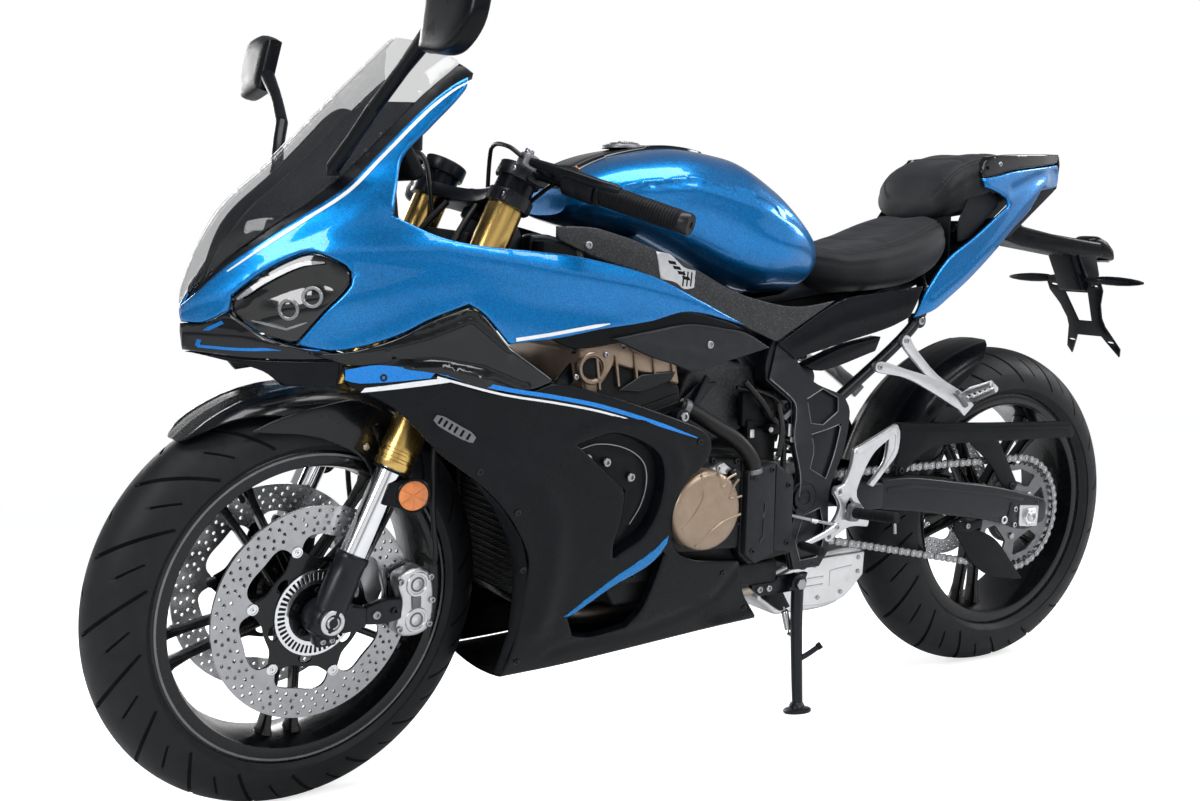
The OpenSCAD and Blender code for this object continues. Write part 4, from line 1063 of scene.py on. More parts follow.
def bobbins(r, nb, phase, y0, y1, rad=8.5):
    out = []
    for k in range(nb):
        c = polar(r, phase + TAU * k / nb)
        o = (c[0], y0, c[1])
        h = y1 - y0
        out.append(lathe([(0, rad), (h - 0.8, rad), (h, rad - 0.8), (h, rad - 2.4), (h - 1.2, rad - 2.8),
                          (h - 1.2, 3.4), (h - 0.2, 3.0), (h - 0.2, 1.6), (h - 1.8, 1.4)], o, n=22, mat="chrome"))
    return out


def toothed(r0, r1, y0, y1, n):
    """A speed sensor's ring, slotted between its teeth."""
    holes = [circle(r0, 90)]
    for i in range(n):
        a = TAU * i / n
        w = math.pi / n * 0.52
        slot = ((r0 + 6, -1), (r1 - 4, -1), (r1 - 4, 1), (r0 + 6, 1))
        holes.append(np.array([polar(r, a + s * w) for r, s in slot]))
    return prism(circle(r1, 120), y0, y1, 0.25, "chrome", holes=holes, seg=1)


def valve(a, y):
    c, d = polar(203, a), polar(1, a)
    ax = (-d[0], 0, -d[1])
    return [lathe([(0, 5), (3, 5), (4, 3.4), (22, 3.0), (23, 3.8), (31, 3.8), (32, 2.8)], (c[0], y, c[1]), ax, 14,
                  mat="rubber")]


def front_wheel():
    """Front tyre, five twin spokes and rim, two drilled discs on their carriers."""
    C = (FX, 0, FR)
    piece("tyre_f", at(tyre(302, 120, 47, 18), C), "front_wheel", ["front_tyre"], 50)
    hub = [lathe([(-65.4, 27), (-65.4, 33), (-60, 34), (-46, 34), (-42, 29), (-20, 28), (-14, 34), (14, 34), (20, 28),
                  (42, 29), (46, 34), (60, 34), (65.4, 33), (65.4, 27), (62, 25), (62, 10.3), (-62, 10.3), (-62, 25)],
                 n=48, closed=True, mat="rim_black")]
    rim = [barrel(52, "rim_black")] + wheel_spokes("rim_black") + hub + valve(1.1, 0)
    rim += [ring((0, s * 51.6, 0), Y, 222, 225.5, -0.25, 0.6, 0.2, 120, "alloy_dark") for s in (1, -1)]
    piece("rim_f", at(rim, C), "front_wheel", ["front_rim"])
    ph = math.radians(12)
    d = []
    for s in (1, -1):
        q = [rotor(155, 113, 97, 65.7, 70.3, 6, [(121, 0.1), (130, 0.45), (139.5, 0.2), (148, 0.6)], ph, 16),
             carrier(60, 80, 97, 66.3, 69.7, 6, ph)] + bobbins(97, 6, ph, 64.9, 72.0, 8.6)
        q += [toothed(42, 63, 70.6, 72.6, 48), ring((0, 0, 0), Y, 42.5, 62.5, 70, 70.7, 0.2, 60, "black_matte")]
        for k in range(5):
            c = polar(33, 0.4 + TAU * k / 5)
            q += bolt((c[0], 69.6, c[1]), Y, 4.6, 3.6, mat="bolt_black")
        d += q if s == 1 else [mirrored(p[:3]) for p in q]
    piece("discs_f", at(d, C), "front_wheel", ["front_discs"], 30)


front_wheel()


# ---- steering ----
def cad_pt(f, y, l):
    """Forward, left and up along the fork, from the wheel centre."""
    return np.array([FX - l * math.sin(RAKE) + f * math.cos(RAKE), y, FR + l * math.cos(RAKE) + f * math.sin(RAKE)])


AX = (-math.sin(RAKE), 0, math.cos(RAKE))
FW = (math.cos(RAKE), 0, math.sin(RAKE))


def frame_box(c, size, bevel, mat, seg=2):
    """A bevelled block square to the fork."""
    rot = Matrix(((FW[0], 0, AX[0]), Y, (FW[2], 0, AX[2])))
    return block(tuple(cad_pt(*c)), size, bevel, rot, mat, seg)


def fork_prism(outline, l0, l1, bevel, mat):
    """An outline seen down the fork, (forward, left), given a height along it."""
    o = spline(outline, 8, corner=50)
    V, F = bevelled([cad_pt(*p, l) for l in (l0, l1) for p in o], capped(len(o)), bevel, 2, 35)
    return part(V, F, mat)


def forks():
    """Gold fork tubes, legs with their axle clamps, the axle and the reflectors."""
    g = [(227, 20.9), (227, 25.4), (229, 27), (238, 27), (239, 25.6), (243, 25.6), (244, 27), (249, 27), (250, 25.6),
         (254, 25.6), (255, 27), (262, 27), (264, 26.6), (520, 26.6), (560, 27), (684, 27), (688, 26), (690, 23),
         (690, 15), (686, 14.5), (686, 8), (689, 7.6), (689, 0.5)]
    a = lathe(g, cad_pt(0, FORK_Y, 0), AX, 56, mat="gold")
    cap = [lathe([(688.4, 19), (689.2, 22.4), (689.9, 22.4), (690.2, 21.4), (690.2, 12)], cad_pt(0, FORK_Y, 0), AX, 40,
                 mat="alloy_dark")]
    seal = lathe([(222.6, 20.7), (222.6, 25.5), (224, 26.6), (226.6, 26.6), (226.6, 20.7)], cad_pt(0, FORK_Y, 0), AX, 48,
                 mat="rubber")
    piece("fork_gold", both(a, *cap), "steering", ["fork_tubes"])
    slide = lathe([(90, 20.4), (324, 20.4)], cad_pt(0, FORK_Y, 0), AX, 48, mat="chrome")
    cast = lathe([(-23.6, 12), (-23.6, 19), (-21, 22.5), (-14, 24), (60, 24), (66, 22.6), (84, 22.6), (88, 24),
                  (95, 24), (97, 22.6), (97.5, 20.6)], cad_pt(0, FORK_Y, 0), AX, 48, mat="frame_black")
    q = [slide, cast, seal]
    lug = np.array([(-62, -22), (-62, 6), (-40, 12), (-22, 40), (-8, 52), (-8, -22), (-30, -26)]) + [FX, FR]
    q += [prism(lug, 88, 107, 3, "frame_black", ease=8)]
    # clamp foot round the axle, its pinch bolts and the axle's end
    q += [lathe([(78, 15), (78, 25), (80, 27), (104, 27), (110, 25), (114, 24), (117, 22), (117, 13)],
                (FX, 0, FR), Y, 44, mat="frame_black")]
    q += [prism(np.array([(-14, -40), (14, -40), (20, -18), (-20, -18)]) + [FX, FR], 84, 106, 3, "frame_black")]
    for dx in (-7, 7):
        q += bolt((FX + dx, 106, FR - 31), Y, 4.4, 3.2)
    piece("fork_low", both(*q), "steering", ["fork_legs"])
    axle = lathe([(-123.8, 7), (-123.8, 9), (-122.5, 10), (122.5, 10), (123.8, 9), (123.8, 7), (119, 6.4), (119, 0.5)],
                 (FX, 0, FR), Y, 36, mat="steel")
    nut = both(lathe([(116.8, 10.3), (116.8, 17.5), (118.4, 18.4), (122.4, 18.4), (123.8, 17), (123.8, 12.4),
                      (121, 11)], (FX, 0, FR), Y, 40, mat="alloy"))
    piece("axle_f", [axle] + nut, "steering", ["front_axle"])
    # amber reflector in its cup, on a bracket behind the leg
    c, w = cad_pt(-32, 130.5, 204), Vector((0.25, 0.97, 0.0)).normalized()
    refl = [ring(c, w, 21.6, 25.4, -5, 3.4, 1.0, 48, "black_satin"), disc(c, w, 22, -4.4, 2.2, 1.4, 44, "amber")]
    u = w.orthogonal().normalized()
    for k in range(3):
        t = math.pi * k / 3 + 0.3
        e = u * math.cos(t) + w.cross(u) * math.sin(t)
        o = Vector(c) + w * 2.4
        refl += [tube([o - e * 20, o + e * 20], 0.8, 6, "amber", 1)]
    arm = [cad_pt(a, 0, b)[[0, 2]] for a, b in ((6, 176), (8, 206), (-20, 226), (-48, 216), (-50, 192), (-28, 180))]
    refl += [prism(np.array(arm), 122, 126, 1.4, "black_satin")]
    piece("fork_reflectors", both(*refl), "steering")


def calipers():
    """Radial front calipers, their pads and hoses."""
    W = np.array([FX, FR])
    out = [(-114, -44), (-126, -50), (-150, -52), (-168, -46), (-175, -30), (-177, 0), (-174, 28), (-166, 46),
           (-150, 52), (-124, 48), (-113, 42), (-116, 24), (-121, 10), (-121, -8), (-116, -24)]
    body = prism(np.array(out) + W, 76, 104, 5.5, "alloy", ease=9, seg=3)
    inner = prism(np.array(out) + W, 41, 60, 4.5, "alloy", ease=9, seg=3)
    bridge = prism(np.array([(-163, -44), (-170, -42), (-176.5, -10), (-176.5, 12), (-170, 42), (-163, 46)]) + W, 56,
                   80, 1.5, "alloy")
    q = [body, inner, bridge]
    for x, z in ((-146, 27), (-146, -27)):
        q += [lathe([(102.6, 20), (104.6, 19), (106.2, 18), (106.2, 14.6), (104.8, 13.8), (104.8, 5), (105.6, 4)],
                    (FX + x, 0, FR + z), Y, 32, mat="alloy")]
        q += [ring((FX + x, 103.2, FR + z), Y, 8.5, 11.5, 0.6, 2.6, 0.4, 28, "alloy_dark")]
    for x, z in ((-170, 36), (-174, 0), (-170, -36), (-120, 35), (-120, -37)):
        q += bolt((FX + x + 2.5, 103.4, FR + z), Y, 5.2, 4.4)
    q += [prism(np.array([(-152, -8), (-138, -10), (-136, 10), (-152, 9)]) + W, 103, 107.4, 1.4, "alloy_dark")]
    # pads and their pin between the halves
    for y0, y1 in ((60.6, 64.4), (71.6, 75.4)):
        q += [prism(np.array([(-153, -36), (-116, -30), (-116, 30), (-153, 36)]) + W, y0, y1, 0.8, "core", ease=0)]
    q += [tube([(FX - 160, 44, FR), (FX - 160, 102, FR)], 3, 12, "steel", 1)]
    q += [prism(np.array([(-121, -21), (-121, 9), (-96, 12), (-62, 6), (-62, -20), (-92, -24)]) + W, 89, 105, 3,
                "frame_black", ease=8)]
    q += bolt((FX - 78, 104.4, FR - 7), Y, 6.4, 4.6)
    q += bolt((FX - 108, 104.4, FR - 6), Y, 5.4, 4.0, mat="bolt_black")
    q += [lathe([(0, 4), (5, 4), (6, 3), (12, 3), (12.5, 4.2), (17, 4.2), (18, 3)], (FX - 160, 90, FR + 50),
                UP, 14, mat="rubber")]
    piece("calipers_f", both(*q), "steering", ["front_calipers"])
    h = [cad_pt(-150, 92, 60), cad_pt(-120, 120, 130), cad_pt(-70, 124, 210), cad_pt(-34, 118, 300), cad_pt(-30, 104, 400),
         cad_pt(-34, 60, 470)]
    h[0] = np.array([FX - 160, 90, FR + 66])
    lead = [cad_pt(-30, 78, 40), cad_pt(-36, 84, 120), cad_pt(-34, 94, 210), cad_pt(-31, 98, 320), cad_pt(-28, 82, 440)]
    piece("brake_hoses", both(tube(h, 4.2, 12, "hose", 8),
                              *[disc(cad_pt(-31, 116, 296), AX, 6.4, -5, 5, 1, 16, "alloy_dark")])
          + [tube(lead, 3.0, 10, "hose", 8)], "steering")


def arch(sec, centre, angles, reach, m, dr, rib, thin, top=lambda a: 0, rib_from=0):
    """Rows of points over a wheel, from a half section; reach tells how much of it each angle has."""
    L = np.r_[0, np.cumsum(np.linalg.norm(np.diff(sec, axis=0), axis=1))]
    g = []
    for a in angles:
        s = np.interp(a, *reach)
        k = np.linspace(-s, s, m)
        side = np.abs(k)
        y = np.interp(side * L[-1], L, sec[:, 0]) * np.sign(k)
        r = np.interp(side * L[-1], L, sec[:, 1]) - dr + top(a)
        r += 1.6 * np.exp(-((side - rib[0]) / rib[1]) ** 2) * (a > rib_from)
        t = math.radians(a)
        g.append(np.stack([centre[0] + r * math.cos(t), y * (1 - dr / thin), centre[1] + r * math.sin(t)], 1))
    return np.array(g)


def fender():
    """Front fender over the tyre, with its side braces."""
    sec = spline([(0, 320), (30, 318.4), (50, 314.5), (63, 305), (69.4, 290), (70, 262)], 3.0, False)
    reach = ([54.6, 56, 60, 66, 76, 86, 108, 120, 130, 135.4],
             [0.16, 0.26, 0.40, 0.50, 0.66, 0.84, 0.92, 0.80, 0.66, 0.52])
    top, low = [arch(sec, (FX, FR), np.linspace(54.6, 135.4, 66), reach, 41, dr, (0.30, 0.035), 90,
                     lambda a: np.interp(a, [54.6, 62, 72, 90, 130], [-8, -3, 0, 0, 0]), 58) for dr in (1.7, 4.4)]
    shell = sheet(top, low, 66, 41, "rim_black")
    out = np.array([(-92, 168), (-126, 186), (-149, 225), (-128, 262), (-60, 300), (0, 296), (60, 284), (100, 268),
                    (60, 262), (28, 258), (-8, 248), (-62, 220), (-84, 192)], float) + [FX, FR]
    side = prism(out, 66.3, 70.8, 2.0, "rim_black", ease=9,
                 holes=[np.array([(-108, 214), (-88, 206), (-78, 226), (-98, 238)], float) + [FX, FR]])
    ribs = [prism(np.array([(-120, 200), (-110, 196), (-80, 262), (-92, 266)]) + [FX, FR], 70, 73.4, 1.4,
                  "black_satin")]
    b1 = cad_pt(0, 0, 240)
    q = [side, *ribs, disc((b1[0], 0, b1[2]), Y, 9, 70.5, 76, 1, 26, "black_satin")]
    q += bolt((b1[0] - 24, 70.6, b1[2] - 34), Y, 5.4, 3.4)
    q += bolt((b1[0] + 30, 70.6, b1[2] + 16), Y, 5.4, 3.4)
    piece("fender_f", [shell] + both(*q), "steering", ["front_fender"], 50)


def cockpit():
    """Triple clamps, clip-on bars, grips, levers, reservoir and cables."""
    lo_l = (690 - 1 - 302) / math.cos(RAKE) + FORK_OFF * math.tan(RAKE)
    hi_l = (858 + 1 - 302) / math.cos(RAKE) + FORK_OFF * math.tan(RAKE)
    o = [(-FORK_OFF - 25, -20), (-FORK_OFF - 25, 20), (-52, 46), (-34, 90), (-29, 122), (-8, 129), (25, 128), (31, 108),
         (28, 84), (15, 42), (11, 0), (15, -42), (28, -84), (31, -108), (25, -128), (-8, -129), (-29, -122),
         (-34, -90), (-52, -46)]
    q = [fork_prism(o, lo_l - 29.6, lo_l - 0.4, 4, "frame_black"), fork_prism(o, hi_l + 0.4, hi_l + 21.6, 3.5,
                                                                           "frame_black")]
    for s in (1, -1):
        for l, h in ((lo_l - 15, 31), (hi_l + 11, 22)):
            q += [lathe([(-h / 2 + 1, 28), (-h / 2 + 1, 33), (h / 2 - 1, 33), (h / 2 - 1, 28)],
                        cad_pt(0, s * FORK_Y, l), AX, 44, True, "frame_black")]
            q += bolt(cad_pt(24, s * 118, l), FW, 5, 4)
    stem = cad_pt(-FORK_OFF, 0, 0)
    q += [lathe([(lo_l - 34, 12), (lo_l - 33, 15), (hi_l + 22, 15), (hi_l + 22, 21), (hi_l + 30, 21), (hi_l + 31, 19),
                 (hi_l + 31, 9), (hi_l + 27, 8.4), (hi_l + 27, 0.5)], stem, AX, 36, mat="alloy_dark")]
    # shroud and wiring ahead of the steering head, sleeves above the upper clamp
    q += [frame_box((15, 0, lo_l + 84), (13, 132, 108), 5, "black_matte", 3)]
    for s in (1, -1):
        q += [lathe([(hi_l + 22, 27.2), (hi_l + 22, 28.6), (hi_l + 48, 28.6), (hi_l + 48, 27.2)],
                    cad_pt(0, s * FORK_Y, 0), AX, 44, True, "black_satin")]
        q += [tube([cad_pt(24, s * 58, lo_l + 20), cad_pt(30, s * 64, lo_l + 70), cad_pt(24, s * 50, lo_l + 130),
                    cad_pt(8, s * 40, hi_l - 4)], 5, 12, "hose", 6)]
    # cable guides and the lock barrel
    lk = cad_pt(-16, 0, hi_l + 20)
    q += [disc(lk, AX, 19, -2, 5, 1.6, 36, "black_matte"), disc(lk, AX, 12, 4, 6.4, 0.8, 30, "chrome"),
          frame_box((-16, 0, hi_l + 26.6), (2.4, 9, 1), 0.3, "bolt_black")]
    piece("clamps", q, "steering", ["triple_clamps"])
    # bars: clamp ring, riser block, tube, switch box, grip, end weight
    e0, e1 = np.array([-4, 141, 697.0]), np.array([-116, 358, 688.0])
    o0, o1 = Vector(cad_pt(*e0)), Vector(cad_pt(*e1))
    ax, L = (o1 - o0).normalized(), (o1 - o0).length
    b = [lathe([(677.5, 27.4), (677.5, 33), (679, 34), (697, 34), (698.6, 32.6), (698.6, 28), (691, 27.2)],
               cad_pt(0, FORK_Y, 0), AX, 48, mat="frame_black")]
    b += [frame_box((-2, 129, 688), (26, 22, 20), 4, "frame_black"),
          disc(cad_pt(-4, 138, 690), AX, 13, 0.8, 18.6, 2, 32, "frame_black")]
    b += bolt(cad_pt(-4, 138, 708), AX, 6, 3.4)
    b += bolt(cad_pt(24, 118, 688), FW, 4.6, 4)
    b += [lathe([(-2, 11), (0.3 * L, 11)], o0, ax, 32, mat="black_satin")]
    # switch housing in two halves, with buttons
    b += [lathe([(0.18 * L, 11.2), (0.18 * L, 17), (0.185 * L, 18.6), (0.275 * L, 18.6), (0.28 * L, 17.6),
                 (0.283 * L, 19.4), (0.37 * L, 19.4), (0.385 * L, 17.5), (0.385 * L, 11.5)], o0, ax, 36,
                mat="black_matte")]
    b += [frame_box((-24, 175, 708), (22, 40, 20), 5, "black_matte", 3),
          frame_box((-38, 173, 712), (8, 10, 8), 2, "grey_matte"),
          frame_box((-37, 186, 705), (7, 8, 7), 2, "grey_matte"),
          frame_box((-30, 170, 719), (12, 9, 4), 1.4, "grey_matte"),
          frame_box((-28, 184, 719), (9, 6, 4), 1.2, "amber")]
    gp = [(0.40 * L, 12), (0.40 * L, 17.4), (0.408 * L, 18), (0.42 * L, 18), (0.426 * L, 15.6)]
    for k in range(26):
        t = 0.43 + k * 0.0188
        gp += [(t * L, 16.2), ((t + 0.0125) * L, 16.2), ((t + 0.0135) * L, 15.3), ((t + 0.0178) * L, 15.3)]
    gp += [(0.925 * L, 16.4), (0.935 * L, 15)]
    b += [lathe(gp, o0, ax, 40, mat="rubber")]
    b += [lathe([(0.935 * L, 14), (0.938 * L, 15.8), (0.985 * L, 16.2), (0.998 * L, 14.5), (1.0 * L, 11), (1.0 * L, 5),
                 (0.99 * L, 4.4), (0.99 * L, 0.5)], o0, ax, 36, mat="bolt_black")]
    piece("bars", both(*b), "steering", ["handlebars"])
    lv = [frame_box((44, 172, 690.5), (26, 22, 22), 5, "alloy_dark", 3)]
    lv += [disc(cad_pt(50, 174, 700), AX, 7, 0, 6, 1, 22, "bolt")]
    lp = [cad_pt(*(e0 + v)) for v in ([3.1, 23.8, -0.7], [26, 30, -3], [50, 34, -6])]
    lv += [tube(lp, 8, 16, "black_satin", 4, radii=[9, 8.4, 8])]
    tip = [e0 + v for v in (np.array([50, 34, -6.]), np.array([44, 62, -9.]), np.array([31, 110, -12.]),
                            np.array([16, 150, -15.]), np.array([5, 182, -16.]), np.array([3, 190, -16.]))]
    rows = []
    for i, c in enumerate(tip):
        dd = tip[min(i + 1, 5)] - tip[max(i - 1, 0)]
        dd /= np.linalg.norm(dd)
        sd = np.cross(dd, [0, 0, 1])
        w = [6, 5.8, 4.6, 4.4, 5.2, 3.0][i]
        h = [6, 7, 7.6, 7.4, 6.4, 3.4][i]
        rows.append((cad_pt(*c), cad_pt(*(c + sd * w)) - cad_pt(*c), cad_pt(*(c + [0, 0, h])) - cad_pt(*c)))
    lv += [beam(rows, "black_satin", 16, 0.8)]
    piece("levers", both(*lv), "steering", ["hand_levers"], 50)
    # fluid reservoir on the right bar, clutch cable on the left
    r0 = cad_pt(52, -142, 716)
    res = [lathe([(-22, 14), (-20, 17), (14, 17), (15, 18.6), (22, 18.6), (23.4, 17), (23.4, 4)], r0, UP, 36,
                 mat="black_matte")]
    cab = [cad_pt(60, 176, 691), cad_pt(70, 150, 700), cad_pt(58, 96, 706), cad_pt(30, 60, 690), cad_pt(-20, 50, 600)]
    res += [tube(cab, 3.2, 10, "hose", 8)]
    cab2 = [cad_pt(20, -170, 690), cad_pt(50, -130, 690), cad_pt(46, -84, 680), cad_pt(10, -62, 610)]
    res += [tube(cab2, 3.6, 10, "hose", 8),
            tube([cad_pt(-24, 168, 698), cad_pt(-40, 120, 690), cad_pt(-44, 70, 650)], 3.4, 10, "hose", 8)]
    piece("controls", res, "steering")


FORK_OFF = (FX - (HX - FR * math.tan(RAKE))) * math.cos(RAKE)
forks()
calipers()
fender()
cockpit()


# ---- rear wheel and swingarm ----
def rear_wheel():
    """Rear tyre, rim, disc, sprocket and axle."""
    C = (RX, 0, RR)
    piece("tyre_r", at(tyre(314, 160, 61, 18), C), "rear_wheel", ["rear_tyre"], 50)
    hub = [lathe([(-77.8, 34), (-77.8, 41), (-72, 42), (-50, 42), (-44, 35), (-20, 33), (-14, 42), (14, 42), (20, 33),
                  (44, 35), (50, 42), (72, 42), (77.8, 41), (77.8, 34), (74, 30), (74, 10.3), (-74, 10.3), (-74, 30)],
                 n=52, closed=True, mat="rim_black")]
    rim = [barrel(66, "rim_black")] + wheel_spokes("rim_black", 14, 30) + hub + valve(1.1, 0)
    piece("rim_r", at(rim, C), "rear_wheel", ["rear_rim"])
    d = [rotor(120, 90, 76, 78.3, 82.7, 6, [(97, 0.1), (105, 0.5), (113, 0.25)], 0.2, 14),
         carrier(48, 62, 76, 78.6, 82.2, 6, 0.2)] + bobbins(76, 6, 0.2, 78.3, 84.4, 7)
    piece("disc_r", at([mirrored(p) for p in d], C), "rear_wheel", ["rear_disc"], 30)
    N = TEETH * 12
    out = [polar(93.5 + 4.4 * (0.5 + 0.5 * math.cos(TAU * TEETH * i / N)) ** 0.7, TAU * i / N) for i in range(N)]
    wins = []
    for k in range(5):
        a0 = 0.5 + TAU * k / 5
        wins.append(np.array([polar(r, a0 + w) for r, w in ((56, -.34), (60, -.42), (82, -.45), (85, -.40), (86, 0),
                                                            (85, .40), (82, .45), (60, .42), (56, .34))]))
    s = [prism(np.array(out), 95.6, 100.6, 0.5, "alloy_dark", holes=[circle(30, 48)] + wins, seg=1)]
    s += [lathe([(78.1, 26), (78.1, 57), (82, 60), (90, 60), (95.4, 56), (95.4, 26)], n=56, closed=True,
                mat="alloy_dark")]
    for k in range(5):
        c = polar(46, 0.5 + TAU * (k + 0.5) / 5)
        s += bolt((c[0], 100.4, c[1]), Y, 6.4, 4.8, False)
    piece("sprocket_r", at(s, C), "rear_wheel", ["rear_sprocket"], 30)
    ax = [lathe([(-145, 8), (-143.6, 10), (143.6, 10), (145.6, 8), (145.6, 5), (141, 4.6), (141, 0.5)], C, Y,
                36, mat="steel")]
    for s_ in (1, -1):
        ax += [lathe([(134.2, 10.4), (134.2, 17.6), (140.2, 17.6), (141.4, 16.4), (141.4, 10.4)], C, (0, s_, 0), 6,
                     mat="chrome"),
               lathe([(132.4, 10.4), (132.4, 20.5), (134.2, 20.5), (134.2, 10.4)], C, (0, s_, 0), 36, mat="alloy")]
    piece("axle_r", ax, "chassis", ["rear_axle"], 25)


def chain():
    """The loop of links round the rear sprocket and the front chain wheel."""
    c0, r0, c1, r1 = np.array([RX, RR]), 108.0, np.array([-62.0, 388.0]), 40.0
    d = c1 - c0
    D = np.linalg.norm(d)
    a = math.atan2(d[1], d[0])
    b = math.acos((r0 - r1) / D)
    pts = []
    for t in np.linspace(a + b, a + TAU - b, 160):
        pts.append(c0 + polar(r0, t))
    for t in np.linspace(a - b, a + b, 80):
        pts.append(c1 + polar(r1, t))
    P = np.array(pts)
    L = np.r_[0, np.cumsum(np.linalg.norm(np.diff(np.vstack([P, P[:1]]), axis=0), axis=1))]
    Q = np.vstack([P, P[:1]])
    n = 2 * round(L[-1] / CHAIN_PITCH / 2)
    s = np.linspace(0, L[-1], n, endpoint=False)
    pins = np.stack([np.interp(s, L, Q[:, 0]), np.interp(s, L, Q[:, 1])], 1)
    out = []
    for i in range(n):
        p, q = pins[i], pins[(i + 1) % n]
        u = (q - p) / np.linalg.norm(q - p)
        w = np.array([-u[1], u[0]])
        m = (p + q) / 2
        o = [p + 6.6 * (math.cos(t) * -u + math.sin(t) * w) for t in np.linspace(1.8, -1.8, 8)]
        o += [m - 4.4 * w]
        o += [q + 6.6 * (math.cos(t) * u + math.sin(t) * w) for t in np.linspace(-1.8, 1.8, 8)]
        o += [m + 4.4 * w]
        y = 4.2 if i % 2 else 5.9
        for s_ in (1, -1):
            v = [(c[0], CHAIN_Y + s_ * h, c[1]) for h in (y, y + 1.5) for c in o]
            out.append(part(v, capped(len(o)), "chain"))
        out.append(lathe([(-4, 4.3), (4, 4.3)], (p[0], CHAIN_Y, p[1]), Y, 10, mat="steel"))
        out.append(lathe([(-8.2, 2.0), (-8.2, 2.4), (8.2, 2.4), (8.2, 2.0)], (p[0], CHAIN_Y, p[1]), Y, 8, mat="steel"))
    piece("chain_links", out, "chassis", ["drive_chain"], 30)


def swing():
    """Swingarm with its axle plates and chain slider, and the chain guards."""
    out = [(-323, 361), (-323, 415), (-400, 412.5), (-520, 394), (-626, 375.5), (-752, 343.5), (-759, 334),
           (-759.5, 306), (-752, 297), (-702, 287), (-664, 296), (-632, 308), (-560, 322), (-440, 344)]
    q = [prism(out, 113.3, 131.7, 4.5, "frame_black", ease=14, seg=3)]
    # raised lip along the upper edge and a pressed panel
    q += [prism([(-334, 400), (-400, 402), (-520, 384), (-626, 365), (-690, 350), (-690, 345), (-626, 358), (-520, 376),
                 (-400, 394), (-334, 392)], 131, 133.2, 0.9, "frame_black")]
    q += [prism([(-656, 345), (-672, 341), (-676, 310), (-662, 304), (-648, 312)], 131, 133.4, 1.0, "frame_black",
                ease=6)]
    # axle slot plate, its captive block and adjuster
    q += [prism([(-682, 337), (-730, 332.5), (-733, 330), (-731, 294), (-728, 292), (-683, 296), (-680, 299),
                 (-680, 334)], 131.6, 134.4, 0.8, "alloy", holes=[circle(10.6, 28, (RX, RR))])]
    q += [tube([(-731, 122.5, 313), (-764, 122.5, 317)], 4, 14, "bolt", 1)]
    q += [lathe([(0, 5), (0, 8.4), (6, 8.4), (7, 7)], (-757, 122.5, 316), (-1, 0, 0.11), 6, mat="bolt")]
    for k in range(5):
        q += [block((-748 + 5 * k, 132.6, 338.6 - 0.2 * k), (0.8, 1.2, 5), 0.2, None, "alloy_dark", 1)]
    q += bolts(((-669, 330), (-669, 300)), 131.4, 5.4, 3.6)
    q += [ring((-640, 131.4, 312), Y, 4, 8, 0, 3, 0.6, 26, "alloy")]
    parts = both(*q)
    parts += [prism([(-257, 363), (-257, 411), (-270, 412), (-330, 409), (-330, 361)], -131.6, 131.6, 5,
                    "frame_black", seg=3),
              prism([(-151, 368.5), (-151, 415.5), (-265, 419.5), (-265, 362.5)], -83.7, 83.7, 5,
                    "frame_black", seg=3)]
    parts += [lathe([(-111.6, 16), (-111.6, 24), (-109, 26), (-84, 26), (-82, 24.5), (82, 24.5), (84, 26), (109, 26),
                     (111.6, 24), (111.6, 16)], (-148, 0, 392), Y, 44, mat="frame_black")]
    # chain slider on the left arm
    parts += [prism([(-330, 409), (-400, 414.4), (-470, 405), (-520, 396), (-520, 391), (-400, 408), (-330, 404)], 88,
                    113, 1.4, "rubber", ease=0)]
    piece("swing", parts, "chassis", ["swingarm"])
    g = [(-376, 509), (-460, 504), (-620, 495), (-824, 486), (-836, 480), (-845, 462), (-842, 456), (-730, 459),
         (-560, 463), (-500, 464), (-458, 461), (-430, 448), (-410, 436), (-398, 426), (-393, 414), (-368, 415),
         (-372, 440), (-378, 470)]
    q = [prism(g, 112.3, 115.4, 1.1, "black_matte", ease=12)]
    q += [prism([(-378, 509), (-620, 495.5), (-826, 486.4), (-834, 481), (-826, 482.4), (-620, 491.5), (-378, 505)],
                96, 116.4, 1.0, "black_matte")]
    q += [prism([(-386, 500), (-620, 487), (-826, 478), (-826, 475), (-620, 484), (-386, 497)], 115, 116.9, 0.7,
                "black_matte")]
    q += [prism([(-552, 464), (-630, 464), (-660, 420), (-690, 374), (-684, 364), (-664, 362), (-652, 372),
                 (-610, 420)], 112.4, 116.2, 1.2, "black_matte", ease=10)]
    q += bolts(((-673, 372), (-381, 424)), 115.6, 6, 3.6, mat="bolt_black")
    # lower chain guide fin
    q += [prism([(-520, 307), (-573, 299), (-641, 270), (-700, 208), (-722, 184), (-700, 186), (-625, 203), (-580, 233),
                 (-548, 272)], 110.4, 114.4, 1.5, "black_matte", ease=9)]
    q += [prism([(-526, 318), (-560, 312), (-600, 316), (-600, 300), (-560, 292), (-524, 300)], 112.5, 116.4, 1.4,
                "black_matte", ease=6)]
    q += bolt((-560, 116, 305), Y, 5.4, 3)
    piece("chain_guards", q, "chassis", ["chain_guard"])


